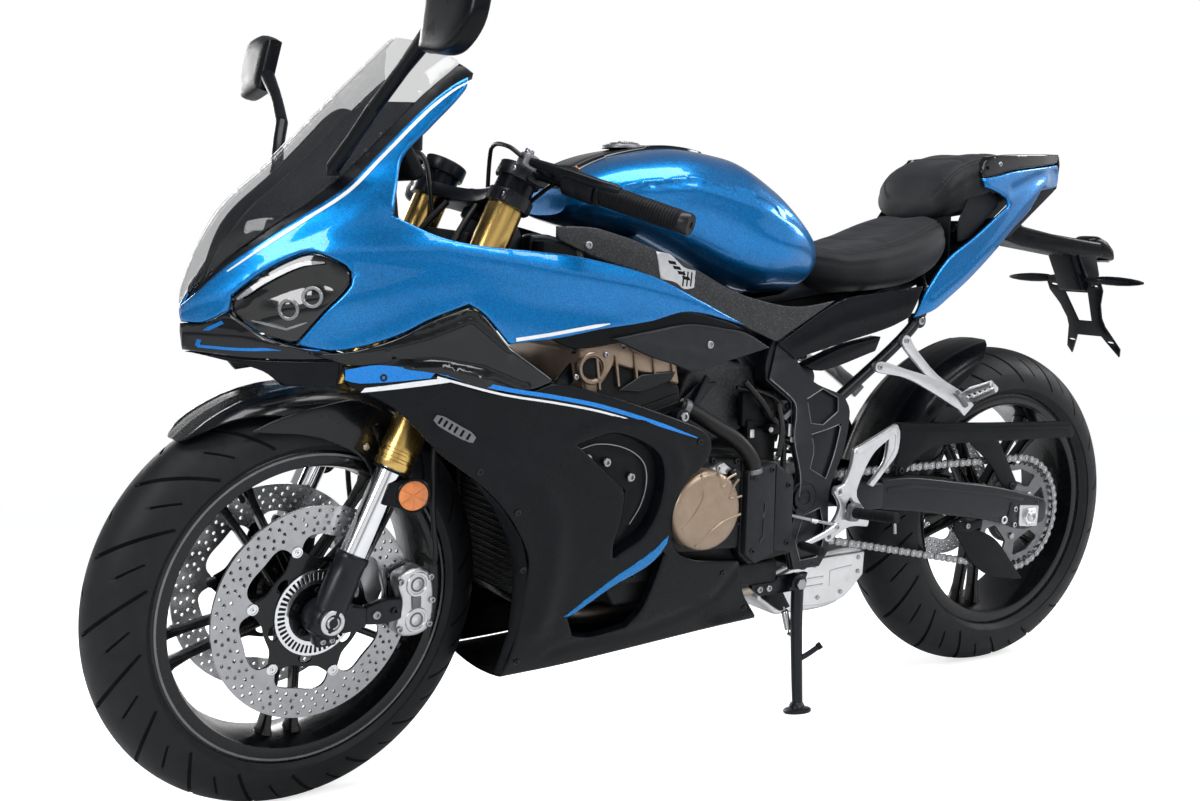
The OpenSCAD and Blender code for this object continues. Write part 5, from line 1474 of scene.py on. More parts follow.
def hugger():
    """Rear hugger: a shell over the tyre on two arms."""
    sec = spline([(0, 337.6), (30, 336), (50, 332.6), (66, 326), (78, 318), (84.4, 306), (86.8, 290)], 3.0, False)
    reach = [18.4, 22, 30, 50, 64, 74, 80, 83.6], [0.96, 1, 1, 1, 0.92, 0.74, 0.52, 0.30]
    top, low = [arch(sec, (RX, RR), np.linspace(18.4, 83.6, 56), reach, 45, dr, (0.42, 0.04), 110)
                for dr in (1.7, 4.2)]
    shell = sheet(top, low, 56, 45, "black_satin")
    q = both(prism([(-409, 417), (-450, 416), (-455, 430), (-448, 470), (-430, 500), (-404, 470), (-396, 440),
                    (-408, 392)], 86.6, 89.4, 1.0, "black_satin", ease=8),
             prism([(-408, 393), (-408, 417), (-450, 417), (-450, 393)], 85, 95.4, 1.6, "black_satin"),
             *bolt((-430, 95.4, 405), Y, 5, 3, mat="bolt_black"))
    piece("hugger", [shell] + q, "chassis", ["rear_hugger"], 50)


def rear_brake():
    """Rear caliper and its hose, on the right."""
    W = np.array([RX, RR])
    o = [(41, 53.5), (78, 62.6), (98, 66.4), (104, 72), (119, 94), (116, 101), (74, 127), (66, 127), (38, 112),
         (36, 106)]
    q = [prism(np.array(o) + W, 88.2, 122, 5, "alloy_dark", ease=9, seg=3),
         prism(np.array(o) + W, 60.4, 73, 4, "alloy_dark", ease=9, seg=3),
         prism(np.array([(116, 97), (119.6, 95), (72, 129), (66, 127.4)]) + W, 70, 92, 0.8, "alloy_dark")]
    q += [lathe([(120, 20), (123, 18), (123.8, 16), (123.8, 4)], (RX + 78, 0, RR + 94), Y, 30, mat="alloy_dark")]
    q += bolt((RX + 52, 121, RR + 70), Y, 5, 2.8)
    q += bolt((RX + 100, 121, RR + 84), Y, 5, 2.8)
    q += [prism(np.array([(42, 52), (80, 62), (78, 50), (46, 44)]) + W, 102, 113, 2, "frame_black")]
    hose = [(RX + 60, 112, RR + 122), (RX + 120, 112, RR + 148), (-480, 116, 428), (-360, 112, 424), (-240, 100, 440)]
    piece("caliper_r", [mirrored(p) for p in q], "chassis", ["rear_caliper"])
    piece("rear_hose", [mirrored(tube(hose, 4, 12, "hose", 8))], "chassis")


def footrests():
    """Rider footrests with heel plates, and the pillion hangers."""
    hang = [(-345, 514), (-354, 500), (-350, 462), (-323, 432), (-296, 405), (-285, 409), (-320, 446), (-326, 468),
            (-328, 488), (-292, 463), (-262, 413), (-259, 392), (-290, 352), (-287, 335), (-256, 339), (-238, 337),
            (-197, 316), (-185, 326), (-198, 341), (-217, 364), (-220, 380), (-206, 402), (-212, 411), (-229, 415),
            (-242, 442), (-249, 475)]
    tri = [(-243, 391), (-259, 372), (-251, 366), (-234, 363), (-236, 381)]
    mounts = ((-218, 403), (-197, 327))
    q = [prism(hang, 129, 138.6, 2.4, "alloy", ease=8, corner=50, holes=[tri] + [circle(5, 22, c) for c in mounts])]
    q += [prism([(-249, 473), (-345, 513), (-352, 500), (-348, 464), (-322, 434), (-318, 438), (-341, 468), (-343, 494),
                 (-336, 500), (-256, 466)], 138, 140, 0.8, "alloy")]
    for x, z in mounts:
        q += [ring((x, 0, z), Y, 4.6, 9, 126.3, 140, 1, 30, "alloy")]
        q += bolt((x, 133, z), Y, 4.4, 5)
    # peg: pivot block, ribbed bar and its feeler
    q += [prism([(-232, 352), (-250, 350), (-262, 358), (-262, 378), (-250, 384), (-236, 380)], 138, 152, 3,
                "alloy_dark", ease=6)]
    q += [tube([(-247, 132, 366), (-247, 156, 366)], 4, 14, "bolt", 1)]
    a, b = np.array([-244, 148, 366.0]), np.array([-262, 236, 372.0])
    d = (b - a) / np.linalg.norm(b - a)
    prof = [(0, 8.5)]
    for k in range(13):
        t = 6 + k * 6.2
        prof += [(t, 9.8), (t + 3.6, 9.8), (t + 4.2, 8.4), (t + 5.8, 8.4)]
    prof += [(87, 9.6), (89, 8)]
    q += [lathe(prof, a, d, 28, mat="rubber"),
          tube([b - d * 6 - [0, 0, 8], b - d * 6 - [2, 0, 27]], 2.6, 10, "bolt", 1)]
    piece("footrest_sets", both(*q), "chassis", ["rider_footrests"])
    # pillion hangers: two arms and a folding peg
    arms = [[(-366, 668), (-380, 666), (-390, 648), (-440, 596), (-496, 562), (-524, 540), (-500, 520), (-470, 545),
             (-424, 588), (-372, 642), (-362, 655)],
            [(-303, 621), (-316, 624), (-376, 608), (-440, 588), (-476, 566), (-505, 545), (-500, 524), (-472, 540),
             (-420, 570), (-374, 592), (-312, 604), (-302, 611)]]
    q = []
    for i, o in enumerate(arms):
        p = prism(o, 0, 9, 2.2, "alloy", ease=9, corner=50)
        t = np.clip((-p[0][:, 0] - 372) / 110, 0, 1)
        p[0][:, 1] += 114.0 + t * (26 if i == 0 else 27)
        q.append(p)
    for x, z in ((-372, 659), (-311, 614)):
        q += [disc((x, 0, z), Y, 9.4, 112, 123.4, 1.2, 28, "alloy")] + bolt((x, 123.2, z), Y, 5, 3)
    a, b = np.array([-486, 148, 552.0]), np.array([-472, 238, 586.0])
    q += [tube([(-500, 151, 540), (-474, 151, 566)], 5, 14, "alloy_dark", 1)]
    for s, k in ((1, 1.0), (-1, 0.85)):
        o = np.array([-9.0, 0, -7]) * s
        q += [beam([(a + o * 0.4, (5, 0, 4), (0, 5, 2)), ((a * .6 + b * .4) + o, (4, 0, 3), (0, 2, 5)),
                    (b + o * 0.7, (4, 0, 3), (0, 2, 5)), (b + o * 0.2 + [0, -1, 3], (2.4, 0, 2), (0, 1.5, 2.4))],
                   "alloy", 14, 0.7)]
    for k in range(5):
        c = a + (b - a) * (0.22 + 0.15 * k)
        q += [tube([c + [-8, 0, -6], c + [8, 0, 6]], 2.4, 8, "alloy", 1)]
    piece("pillion_sets", both(*q), "chassis", ["pillion_footrests"])


def levers():
    """Gear pedal on the left, brake pedal on the right."""
    for name, node, s in (("gear_pedal", "gear_lever", 1), ("rear_pedal", "brake_pedal", -1)):
        q = [lathe([(135.4, 5), (135.4, 8), (149, 8), (151, 6.4), (151, 3)], (-205, 0, 345), Y, 26, mat="alloy")]
        q += bolt((-205, 150.6, 345), Y, 4, 2.6)
        q += [beam([((-205, 146, 345), (0, 4.6, 0), (2, 0, 6)), ((-180, 146, 334), (0, 4.2, 0), (2, 0, 5)),
                    ((-150, 146, 325), (0, 4, 0), (1, 0, 4.6)), ((-134, 146, 320), (0, 4.6, 0), (1, 0, 5))], "alloy",
                   14, .7)]
        prof = [(0, 5)]
        for k in range(7):
            t = 8 + k * 6.6
            prof += [(t, 7.9), (t + 4, 7.9), (t + 4.6, 6.6), (t + 6, 6.6)]
        prof += [(56, 7)]
        q += [lathe(prof, (-132, 140, 320), Y, 24, mat="rubber")]
        if s == 1:
            q += [tube([(-198, 146, 350), (-150, 144, 362), (-112, 138, 372)], 3, 12, "bolt", 4),
                  lathe([(0, 3), (0, 5), (14, 5), (14, 3)], (-150, 144, 362), (-0.95, 0.03, -0.24), 6, mat="chrome")]
        if s == -1:
            q = [mirrored(p) for p in q]
        piece(name, q, "chassis", [node])


def stand():
    """Side stand leg, its spring and the bracket on the frame."""
    P = Vector((-150, 116, 246))
    F = Vector((-133, 151, 28.9))
    q = [lathe([(104.6, 6.2), (104.6, 14.5), (106, 16), (122.6, 16), (124, 14.5), (124, 6.2)], (P.x, 0, P.z), Y,
               40, True, mat="frame_black")]
    d = (F - P)
    pts = [P + Vector((0, 2, -8)), P + d * 0.3 + Vector((1.5, 0, 0)), P + d * 0.7 + Vector((1, 0, 0)),
           F + Vector((0, 0, 8))]
    q += [tube(pts, 10.5, 22, "frame_black", 6, radii=[10.9, 10.6, 9.6, 9.0])]
    m = Matrix.Translation(F) @ Matrix.Rotation(math.radians(11), 4, "X")
    foot = lathe([(0.0, 20), (0.4, 22.6), (1.8, 23.8), (5.5, 23.8), (7.5, 21), (9.0, 14), (16, 11.5), (18, 9)], n=40,
                 axis=UP, mat="frame_black")
    q += [moved(foot, m)]
    t = P + d * 0.60
    q += [tube([tuple(t), (t.x - 16, t.y + 10, t.z + 12), (t.x - 34, t.y + 18, t.z + 26)], 4.6, 16, "frame_black", 4),
          tube([(t.x - 30, t.y + 16, t.z + 23), (t.x - 36, t.y + 19, t.z + 28)], 6, 16, "rubber", 1)]
    pin = P + d * 0.42
    q += [tube([(pin.x, pin.y - 4, pin.z), (pin.x + 3, pin.y - 20, pin.z + 1)], 3.4, 14, "bolt", 1)]
    piece("stand_leg", q, "side_stand", ["side_stand"])
    # return spring beside the leg, carried with it from the bracket's post to the leg's post
    a, b = Vector((-128, 110, 205)), Vector((pin.x + 3, pin.y - 18, pin.z + 2))
    ax = (b - a).normalized()
    u = ax.orthogonal().normalized()
    w = ax.cross(u)
    L = (b - a).length
    helix = []
    n = 19 * 12
    for i in range(n + 1):
        t_ = TAU * i / 12
        helix.append(tuple(a + ax * (8 + (L - 16) * i / n) + (u * math.cos(t_) + w * math.sin(t_)) * 5.2))
    s = [tube(helix, 1.35, 7, "steel", 1), tube([tuple(a), tuple(a + ax * 9)], 1.4, 8, "steel", 1),
         tube([tuple(b - ax * 9), tuple(b)], 1.4, 8, "steel", 1)]
    piece("stand_spring", s, "side_stand")
    q = [prism([(-186, 257.5), (-117, 257.5), (-113, 249.6), (-61, 249.6), (-62, 243), (-80, 227), (-134, 227),
                (-168, 229), (-176, 236)], 92.3, 103.8, 2.4, "frame_black", ease=8)]
    q += [disc((P.x, 0, P.z), Y, 6, 98, 126, 1, 24, "bolt")]
    q += [lathe([(124.4, 5.8), (124.4, 10), (129.5, 10), (130.5, 9), (130.5, 5)], (P.x, 0, P.z), Y, 6, mat="bolt")]
    q += bolts(((-78, 240), (-98, 240)), 103.6, 6, 4)
    piece("stand_mount", q, "chassis", ["stand_bracket"])


rear_wheel()
chain()
swing()
hugger()
rear_brake()
footrests()
levers()
stand()


# ---- tank, seats and tail ----
TANK = [(298, 858, 905, 82.5, 2.6), (262, 848, 936, 117, 2.6), (180, 828, 962, 141, 2.6), (90, 794, 974, 150, 2.5),
        (0, 758, 966, 150, 2.4), (-80, 740, 930, 142.5, 2.4), (-140, 740, 880, 127.5, 2.4), (-172, 760, 845, 108, 2.4)]


def tank_at(x):
    return [float(pchip(x, [(s[0], s[i]) for s in TANK])) for i in (1, 2, 3, 4)]


def knee_at(x, z):
    """Depth of the rider's knee recess in the tank's side."""
    return 15 * math.exp(-((x + 75) / 70) ** 2 - ((z - 815) / 42) ** 2)


def tank_top(x, y):
    lo, hi, w, e = tank_at(x)
    return (lo + hi) / 2 + (hi - lo) / 2 * (1 - min(abs(y) / w, 1) ** e) ** (1 / e)


def tank():
    """Fuel tank with knee recesses, its black cover and the filler cap."""
    rows = []
    xs = list(np.linspace(-172, 298, 96))
    shrink = {0: 0.86, 1: 0.95, 2: 0.985, 93: 0.985, 94: 0.95, 95: 0.84}
    for i, x in enumerate(xs):
        lo, hi, w, e = tank_at(x)
        k = shrink.get(i, 1.0)
        row = []
        for j in range(96):
            a = TAU * j / 96
            c, d = math.cos(a), math.sin(a)
            y = w * k * squared(c, 2 / e)
            z = (lo + hi) / 2 + (hi - lo) / 2 * k * squared(d, 2 / e)
            # knee recess and the shoulder line above it
            knee = knee_at(x, z)
            line = np.interp(x, [-172, -100, 0, 110, 200, 298], [800, 862, 905, 926, 915, 890])
            rib = 3.6 * math.exp(-((z - line) / 7) ** 2) * np.clip((x + 150) / 80, 0, 1) * np.clip((300 - x) / 60, 0, 1)
            groove = 2.2 * math.exp(-((z - line + 16) / 9) ** 2) * np.clip((x + 150) / 80, 0, 1)
            n = (rib - knee * (abs(c) ** 0.4) - groove)
            y += math.copysign(n, c) * min(1, abs(c) * 2.2)
            row.append((x, y, z))
        rows.append(row)
    piece("tank_shell", [loft(rows, "paint_blue")], "chassis", ["fuel_tank"], 35)
    xs = np.linspace(4, 297, 40)
    wd = np.interp(xs, [4, 40, 90, 150, 210, 262, 297], [16, 30, 39, 44, 50, 56, 52])
    g, u = [], []
    for x, w in zip(xs, wd):
        for k in np.linspace(-1, 1, 25):
            y = w * k
            edge = min(1 - abs(k), (x - 4) / 30, (297 - x) / 14)
            lift = 5.0 - 4.2 * max(0, 1 - edge / 0.10) ** 2 - 1.6 * math.exp(-((abs(k) - 0.62) / 0.08) ** 2)
            g.append((x, y, tank_top(x, y) + lift))
            u.append((x, y, tank_top(x, y) - 1.5))
    z0 = tank_top(150, 0) + 3.2
    cap = [lathe([(0, 36), (3.5, 36), (5.0, 34.6), (5.0, 27.5), (3.4, 26.8), (3.4, 25.6), (7.4, 25), (9.2, 22.5),
                  (9.6, 12), (9.6, 0.5)], (150, 0, z0), UP, 56, mat="alloy_dark")]
    for k in range(7):
        a = TAU * k / 7
        cap += bolt((150 + 31 * math.cos(a), 31 * math.sin(a), z0 + 4.6), UP, 2.8, 1.8)
    cap += [block((147, 0, z0 + 10.2), (26, 11, 3), 1.4, None, "bolt", 2),
            disc((150, 0, z0 + 11.4), UP, 4.4, 0, 0.9, 0.3, 20, "bolt_black")]
    piece("tank_top", [sheet(g, u, 40, 25, "black_gloss")] + cap, "chassis", ["tank_cover"], 45)

    def on_tank(x, z):
        lo, hi, w, e = tank_at(x)
        m_, h = (lo + hi) / 2, (hi - lo) / 2
        return w * (1 - min(abs(z - m_) / h, 1) ** e) ** (1 / e) - knee_at(x, z)
    yy = np.vectorize(on_tank)
    lines = [stripe([(-70, 786), (-96, 785), (-122, 787), (-150, 793)], 6.0, "white_stripe", yy, 3.0, 3.0,
                    (0.9, 0.9)),
             stripe([(-100, 772), (-118, 773), (-136, 776)], 4.2, "white_stripe", yy, 3.0, 3.0, (1, 1))]
    piece("tank_lines", both(*lines))


def pad_section(x, lo, hi, w, e, dome):
    """One section of a seat: a flat base, full sides and a crowned top with a dished middle."""
    row = []
    for j in range(72):
        a = TAU * j / 72
        c, d = math.cos(a), math.sin(a)
        y = w * squared(c, 2 / e)
        z = (lo + hi) / 2 + (hi - lo) / 2 * squared(d, 2 / e)
        if d > 0:
            z -= dome * math.exp(-(y / (0.42 * w)) ** 2) * d
        row.append((x, y, z))
    return row


def seats():
    """Rider and pillion seats, upholstered and sewn."""
    S = [(-150, 772, 808, 44, 2.2), (-168, 764, 822, 60, 2.3), (-188, 750, 829, 76, 2.4), (-214, 742, 827, 97, 2.6),
         (-240, 738, 822, 113, 2.7), (-310, 741, 832, 128, 2.8), (-380, 748, 850, 128, 2.8), (-440, 764, 874, 120, 2.6),
         (-470, 782, 882, 107, 2.5), (-486, 796, 884, 93, 2.4)]

    def section(T, x):
        return [float(pchip(x, [(s[0], s[i]) for s in T])) for i in (1, 2, 3, 4)]

    def build(T, dome, name, node, groove_x):
        xs = np.linspace(T[0][0], T[-1][0], 76)
        rows = []
        for i, x in enumerate(xs):
            lo, hi, w, e = section(T, x)
            j = min(i, len(xs) - 1 - i)
            k = (0.80, 0.93, 0.98, 1.0)[min(j, 3)]
            row = pad_section(x, lo + (hi - lo) * (1 - k) / 2, hi - (hi - lo) * (1 - k) / 2, w * k, e, dome)
            new = []
            for (px, y, z) in row:
                t = abs(y) / (w * k + 1e-6)
                up = (z - lo) / (hi - lo)
                dz = 0.0
                # sewn seams: one round the top's edge, and channels across it
                if up > 0.5:
                    dz -= 3.2 * math.exp(-((t - 0.80) / 0.028) ** 2)
                    for gx in groove_x:
                        dz -= 3.0 * math.exp(-((x - gx - 16 * t * t) / 3.2) ** 2) * (t < 0.80)
                    dz += 0.7 * math.sin(x * 0.11 + y * 0.05) * math.exp(-((t - 0.4) / 0.3) ** 2)
                s = 1 if y > 0 else -1
                pull = 2.4 * math.exp(-((up - 0.62) / 0.05) ** 2)
                new.append((px, y - s * pull * min(1, t), z + dz))
            rows.append(new)
        p = loft(rows, "vinyl")
        # the top takes its own covering
        V = p[0]
        tops, sides = [], []
        for q in p[1]:
            c = V[list(q)].mean(0)
            lo, hi, w, e = section(T, np.clip(c[0], T[-1][0], T[0][0]))
            (tops if len(q) == 4 and abs(c[1]) < 0.79 * w and c[2] > (lo + hi) / 2 else sides).append(q)
        obj = piece(name, [[V, sides + tops, "vinyl"]], "chassis", [node], 62)
        me = obj.data
        me.materials.append(MATS["vinyl_top"])
        if len(me.polygons) == len(sides) + len(tops):
            me.polygons.foreach_set("material_index", [0] * len(sides) + [1] * len(tops))
        # thread along the seams
        st = []
        for s in (1, -1):
            for off in (0.765, 0.835):
                line = []
                for x in np.linspace(T[0][0] - 8, T[-1][0] + 6, 150):
                    lo, hi, w, e = section(T, x)
                    y = s * w * off
                    z = (lo + hi) / 2 + (hi - lo) / 2 * (1 - off ** e) ** (1 / e)
                    z -= dome * math.exp(-(off / 0.42) ** 2)
                    line.append((x, y, z - 3.2 * math.exp(-((off - 0.80) / 0.028) ** 2) + 0.5))
                for i in range(0, len(line) - 1, 2):
                    st.append(tube([line[i], line[i + 1]], 0.55, 6, "thread", 1))
        t = piece(name + "_thread", st)
    build(S, 7, "seat_rider", "rider_seat", (-268, -345, -420))
    T = [(-484, 872, 926, 84, 2.4), (-496, 872, 956, 97, 2.6), (-520, 876, 978, 104, 2.7), (-556, 888, 992, 105, 2.7),
         (-600, 904, 1001, 101, 2.7), (-636, 918, 1002, 92, 2.6), (-670, 930, 1000, 78, 2.6), (-712, 946, 994, 56, 2.4)]
    build(T, 5, "seat_pillion", "pillion_seat", (-552, -620))


def tail():
    """Tail panels, deck and tail light."""
    up = [(-411, 748), (-462, 804), (-528, 841), (-592, 880), (-629, 902), (-622, 916), (-596, 925), (-560, 934),
          (-554, 949), (-594, 955), (-650, 966), (-736, 976), (-822, 986), (-826, 960), (-822, 942), (-745, 933),
          (-707, 895), (-653, 861), (-592, 816), (-521, 765), (-468, 733), (-431, 712), (-382, 699)]
    f = [([(-420, 725), (-500, 772), (-590, 835), (-680, 905), (-770, 958)], 3.0, 9),
         ([(-640, 930), (-720, 955), (-810, 968)], -2.0, 10)]
    q = [panel(up, tail_y, 0, 3, 3, 7, features=f, mat="paint_blue")]
    win = [(-500, 834), (-530, 842), (-592, 884), (-622, 905), (-617, 918), (-590, 929), (-558, 938), (-542, 936),
           (-520, 900), (-500, 868)]
    q += [panel(win, tail_y, -16, 2, 1, 9, mat="black_matte")]
    top = [(-556, 950), (-552, 964), (-566, 982), (-600, 993), (-660, 998), (-736, 1002), (-822, 1005.4), (-825, 988),
           (-736, 978), (-650, 968), (-594, 957)]
    q += [panel(top, tail_y, -1.5, 3, 3, 7, mat="black_gloss")]
    parts = both(*q)
    # the black deck that closes the top, and the rear end panel
    g = []
    xs = np.linspace(-824, -520, 30)
    for x in xs:
        w = float(tail_y(x, np.interp(x, [-822, -736, -660, -589, -520], [1005, 1002, 998, 993, 984]))) - 3
        z = float(np.interp(x, [-824, -736, -660, -589, -520], [1005.6, 1001.6, 997, 991, 980]))
        for k in np.linspace(-1, 1, 21):
            dip = 26 * np.clip((x + 722) / 30, 0, 1) * (abs(k) < 0.9)
            g.append((x, w * k, z + 1.6 * (1 - k * k) - dip - 40 * float(np.clip((x + 570) / 30, 0, 1))))
    low = [(x, y, z - 3) for x, y, z in g]
    parts.append(sheet(g, low, 30, 21, "black_gloss"))
    rear = ((-53, 1003), (53, 1003), (56, 985), (52, 940), (40, 931), (-40, 931), (-52, 940), (-56, 985))
    V, F = bevelled([(x, y, z) for x in (-817, -824.5) for y, z in rear], capped(8), 2, 2)
    parts.append(part(V, F, "black_satin"))
    parts.append(prism([(-494, 790), (-494, 878), (-499, 880), (-499, 790)], -92, 92, 2, "black_matte"))
    parts.append(prism([(-470, 752), (-640, 868), (-640, 874), (-470, 760)], -74, 74, 2, "black_matte"))
    for s in (1, -1):
        parts += bolt((-586, s * 119, 975), (-0.1, s, 0.2), 4.5, 2.6)
    piece("tail_panels", parts, "chassis", ["tail_fairing"])
    tl = ((-37, 957), (37, 957), (39, 950), (33, 937), (-33, 937), (-39, 950))
    v = [(-825.6, y, z) for y, z in tl] + [(-838, y * 0.94, (z - 947) * 0.92 + 946) for y, z in tl]
    V, F = bevelled(v, capped(6), 2.4, 3)
    lens = [part(V, F, "red_lens")]
    for i in range(9):
        lens.append(block((-836.6, -28 + 7 * i, 947), (2.6, 3.6, 9), 0.8, None, "red_lens", 2))
    piece("tail_lens", lens, "chassis", ["tail_light"])


def side_panels_rear():
    """Covers over the frame between the tank and the seat."""
    up = [(345, 826), (345, 845), (296, 845), (270, 842), (196, 822), (102, 787), (22, 750), (-42, 732), (-97, 723),
          (-138, 723), (-196, 731), (-72, 665), (3, 695), (99, 737), (193, 776), (278, 800)]
    q = [panel(up, flat_y(131.2), 0, 3.5, 2, 7, mat="speckle",
               features=[([(270, 828), (196, 806), (102, 770), (22, 733), (-60, 706), (-130, 712)], 1.5, 9)])]
    # fan-shaped silver grille let into the cover
    q.append(panel([(171, 810), (146, 806), (118, 786), (96, 781), (98, 754), (118, 752), (134, 762), (162, 768)],
                   flat_y(131.2), 2.2, 2.4, 1.2, 7, mat="alloy"))
    for k in range(4):
        c = np.array([150 - 9 * k, 797 - 8 * k])
        q.append(prism([c + d for d in ((0, 0), (-14, -2), (-17, -7.5), (-3, -5.5))], 132.6, 133.9, 0.4, "black_matte",
                       seg=1))
    for k in range(3):
        x = 120 - 7.5 * k
        q.append(prism([(x, 781 - k), (x - 2.6, 780 - k), (x - 0.6, 756), (x + 2, 757)], 132.6, 133.9, 0.4,
                       "black_matte", seg=1))
    p, n = surface(flat_y(131.2), [292], [818], [0])
    q += bolt(p[0], n[0], 6, 2.6)
    seat = [(-76, 661), (-206, 730), (-300, 744), (-400, 755), (-386, 728), (-372, 701), (-322, 683), (-230, 662),
            (-114, 635)]
    q += [panel(seat, flat_y(130.6), 0, 3, 2, 7, mat="black_satin",
                features=[([(-110, 652), (-220, 692), (-320, 712), (-390, 728)], 1.6, 10)])]
    grey = [(270, 681), (207, 690), (131, 700), (60, 692), (20, 684), (-28, 660), (46, 643), (118, 627), (160, 640),
            (200, 652)]
    q += [panel(grey, flat_y(171), 0, 3.6, 2.6, 6, mat="grey_matte",
                features=[([(262, 681), (180, 664), (100, 652), (20, 662)], 2.0, 8)])]
    p, n = surface(flat_y(171), [92], [668], [0])
    q += bolt(p[0], n[0], 6, 2.6)
    q += [panel([(384, 688), (317, 699), (227, 709), (152, 721), (60, 704), (20, 690), (120, 690), (240, 676),
                 (330, 668)], flat_y(164), 0, 3, 2, 9, mat="black_matte")]
    # standoffs that carry the covers
    for x, z, y0, y1 in ((200, 783, 82.4, 128), (0, 708, 82.4, 128), (-300, 736, 52.1, 128), (150, 660, 118.4, 168)):
        q.append(disc((x, 0, z), Y, 5, y0, y1, 0.6, 20, "frame_black"))
    piece("cover_panels", both(*q), "chassis", ["side_covers"])


def mirrors():
    """Mirror stalks, cases and glasses."""
    foot = surface(body_y, [676], [906], [12.4])[0][0]
    q = [lathe([(-8.3, 7), (-8.3, 8.5), (3, 8.5), (5, 7.6), (8.4, 7)], foot, UP, 30, mat="black_satin")]
    q += [tube([foot + [0, 0, 2], foot * 0.5 + np.array([652, 186, 992]) * 0.5 + [1, 3, 0], (652, 186, 992)], 7.6, 20,
               "black_satin", 8, radii=[10, 9, 9.4])]
    q += [disc((652, 186, 992), (0.25, 0.8, 0.5), 8.6, -5, 6, 1.6, 26, "black_satin")]
    q += [tube([(652, 186, 992), (640, 250, 1036), (632, 318, 1076)], 6.8, 20, "black_satin", 8, radii=[9.4, 9, 12])]
    o = spline([(-42, -70), (-54, -20), (-50, 40), (-30, 78), (20, 74), (48, 30), (40, -60)], 9, corner=60)
    rot = Matrix.Rotation(math.radians(78), 4, "Y")
    M = Matrix.Translation((632, 372, 1090)) @ rot

    def shell(z, k):
        return [(p[0] * k, p[1] * k, z) for p in o]
    rows = [shell(z, k) for z, k in ((12.6, 0.50), (12.2, 0.74), (10, 0.9), (6, 0.975), (0, 1.0), (-9, 1.0),
                                     (-12, 0.985), (-12.8, 0.955), (-12.4, 0.93), (-10.2, 0.92))]
    case = moved(loft(rows, "black_satin"), M)
    glass = moved(loft([shell(-10.4, 0.915), shell(-11.4, 0.905), shell(-11.6, 0.88), shell(-11.6, 0.4)],
                       "mirror_glass"), M)
    q += [case, glass]
    piece("mirror_sets", both(*q), "chassis", ["mirrors"], 50)


def head_x(z):
    """Where the steering axis is at this height."""
    return HX - z * math.tan(RAKE)


def clocks():
    """Instrument panel, its bracket and wiring."""
    M = Matrix.Translation((560, 0, 946)) @ Matrix.Rotation(math.radians(28), 4, "Y")
    q = [block((0, 0, 0), (22, 164, 88), 7, None, "black_matte", 3),
         block((-11.2, 0, 0), (2.4, 132, 66), 1, None, "lens_black", 2)]
    for b in (-74, 74):
        q += bolt((-11, b, -34), (-1, 0, 0), 3.5, 1.4)
        q += [disc((-11, b, 0), (-1, 0, 0), 4.5, 0, 1.8, 0.5, 18, "rubber")]
    q = [moved(p, M) for p in q]
    q += [prism([(head_x(765) + 34.4, 765), (head_x(800) + 36, 800), (516, 818), (543, 852), (549, 919), (565, 909),
                 (600, 840), (638, 770), (638, 721), (560, 741)], -11.4, 11.4, 2.4, "frame_black")]
    for s in (1, -1):
        q += [tube([(560, s * 8, 820), (600, s * 60, 800), (640, s * 110, 780)], 6, 14, "frame_black", 6)]
    # wiring behind the panel
    q += [tube([(568, 20, 920), (566, 22, 880), (562, 18, 835), (580, 14, 785)], 6, 12, "hose", 8),
          tube([(568, -24, 920), (564, -24, 880), (566, -17, 835), (586, -13, 790)], 5, 12, "hose", 8)]
    piece("clock_set", q, "chassis", ["instrument_panel"])


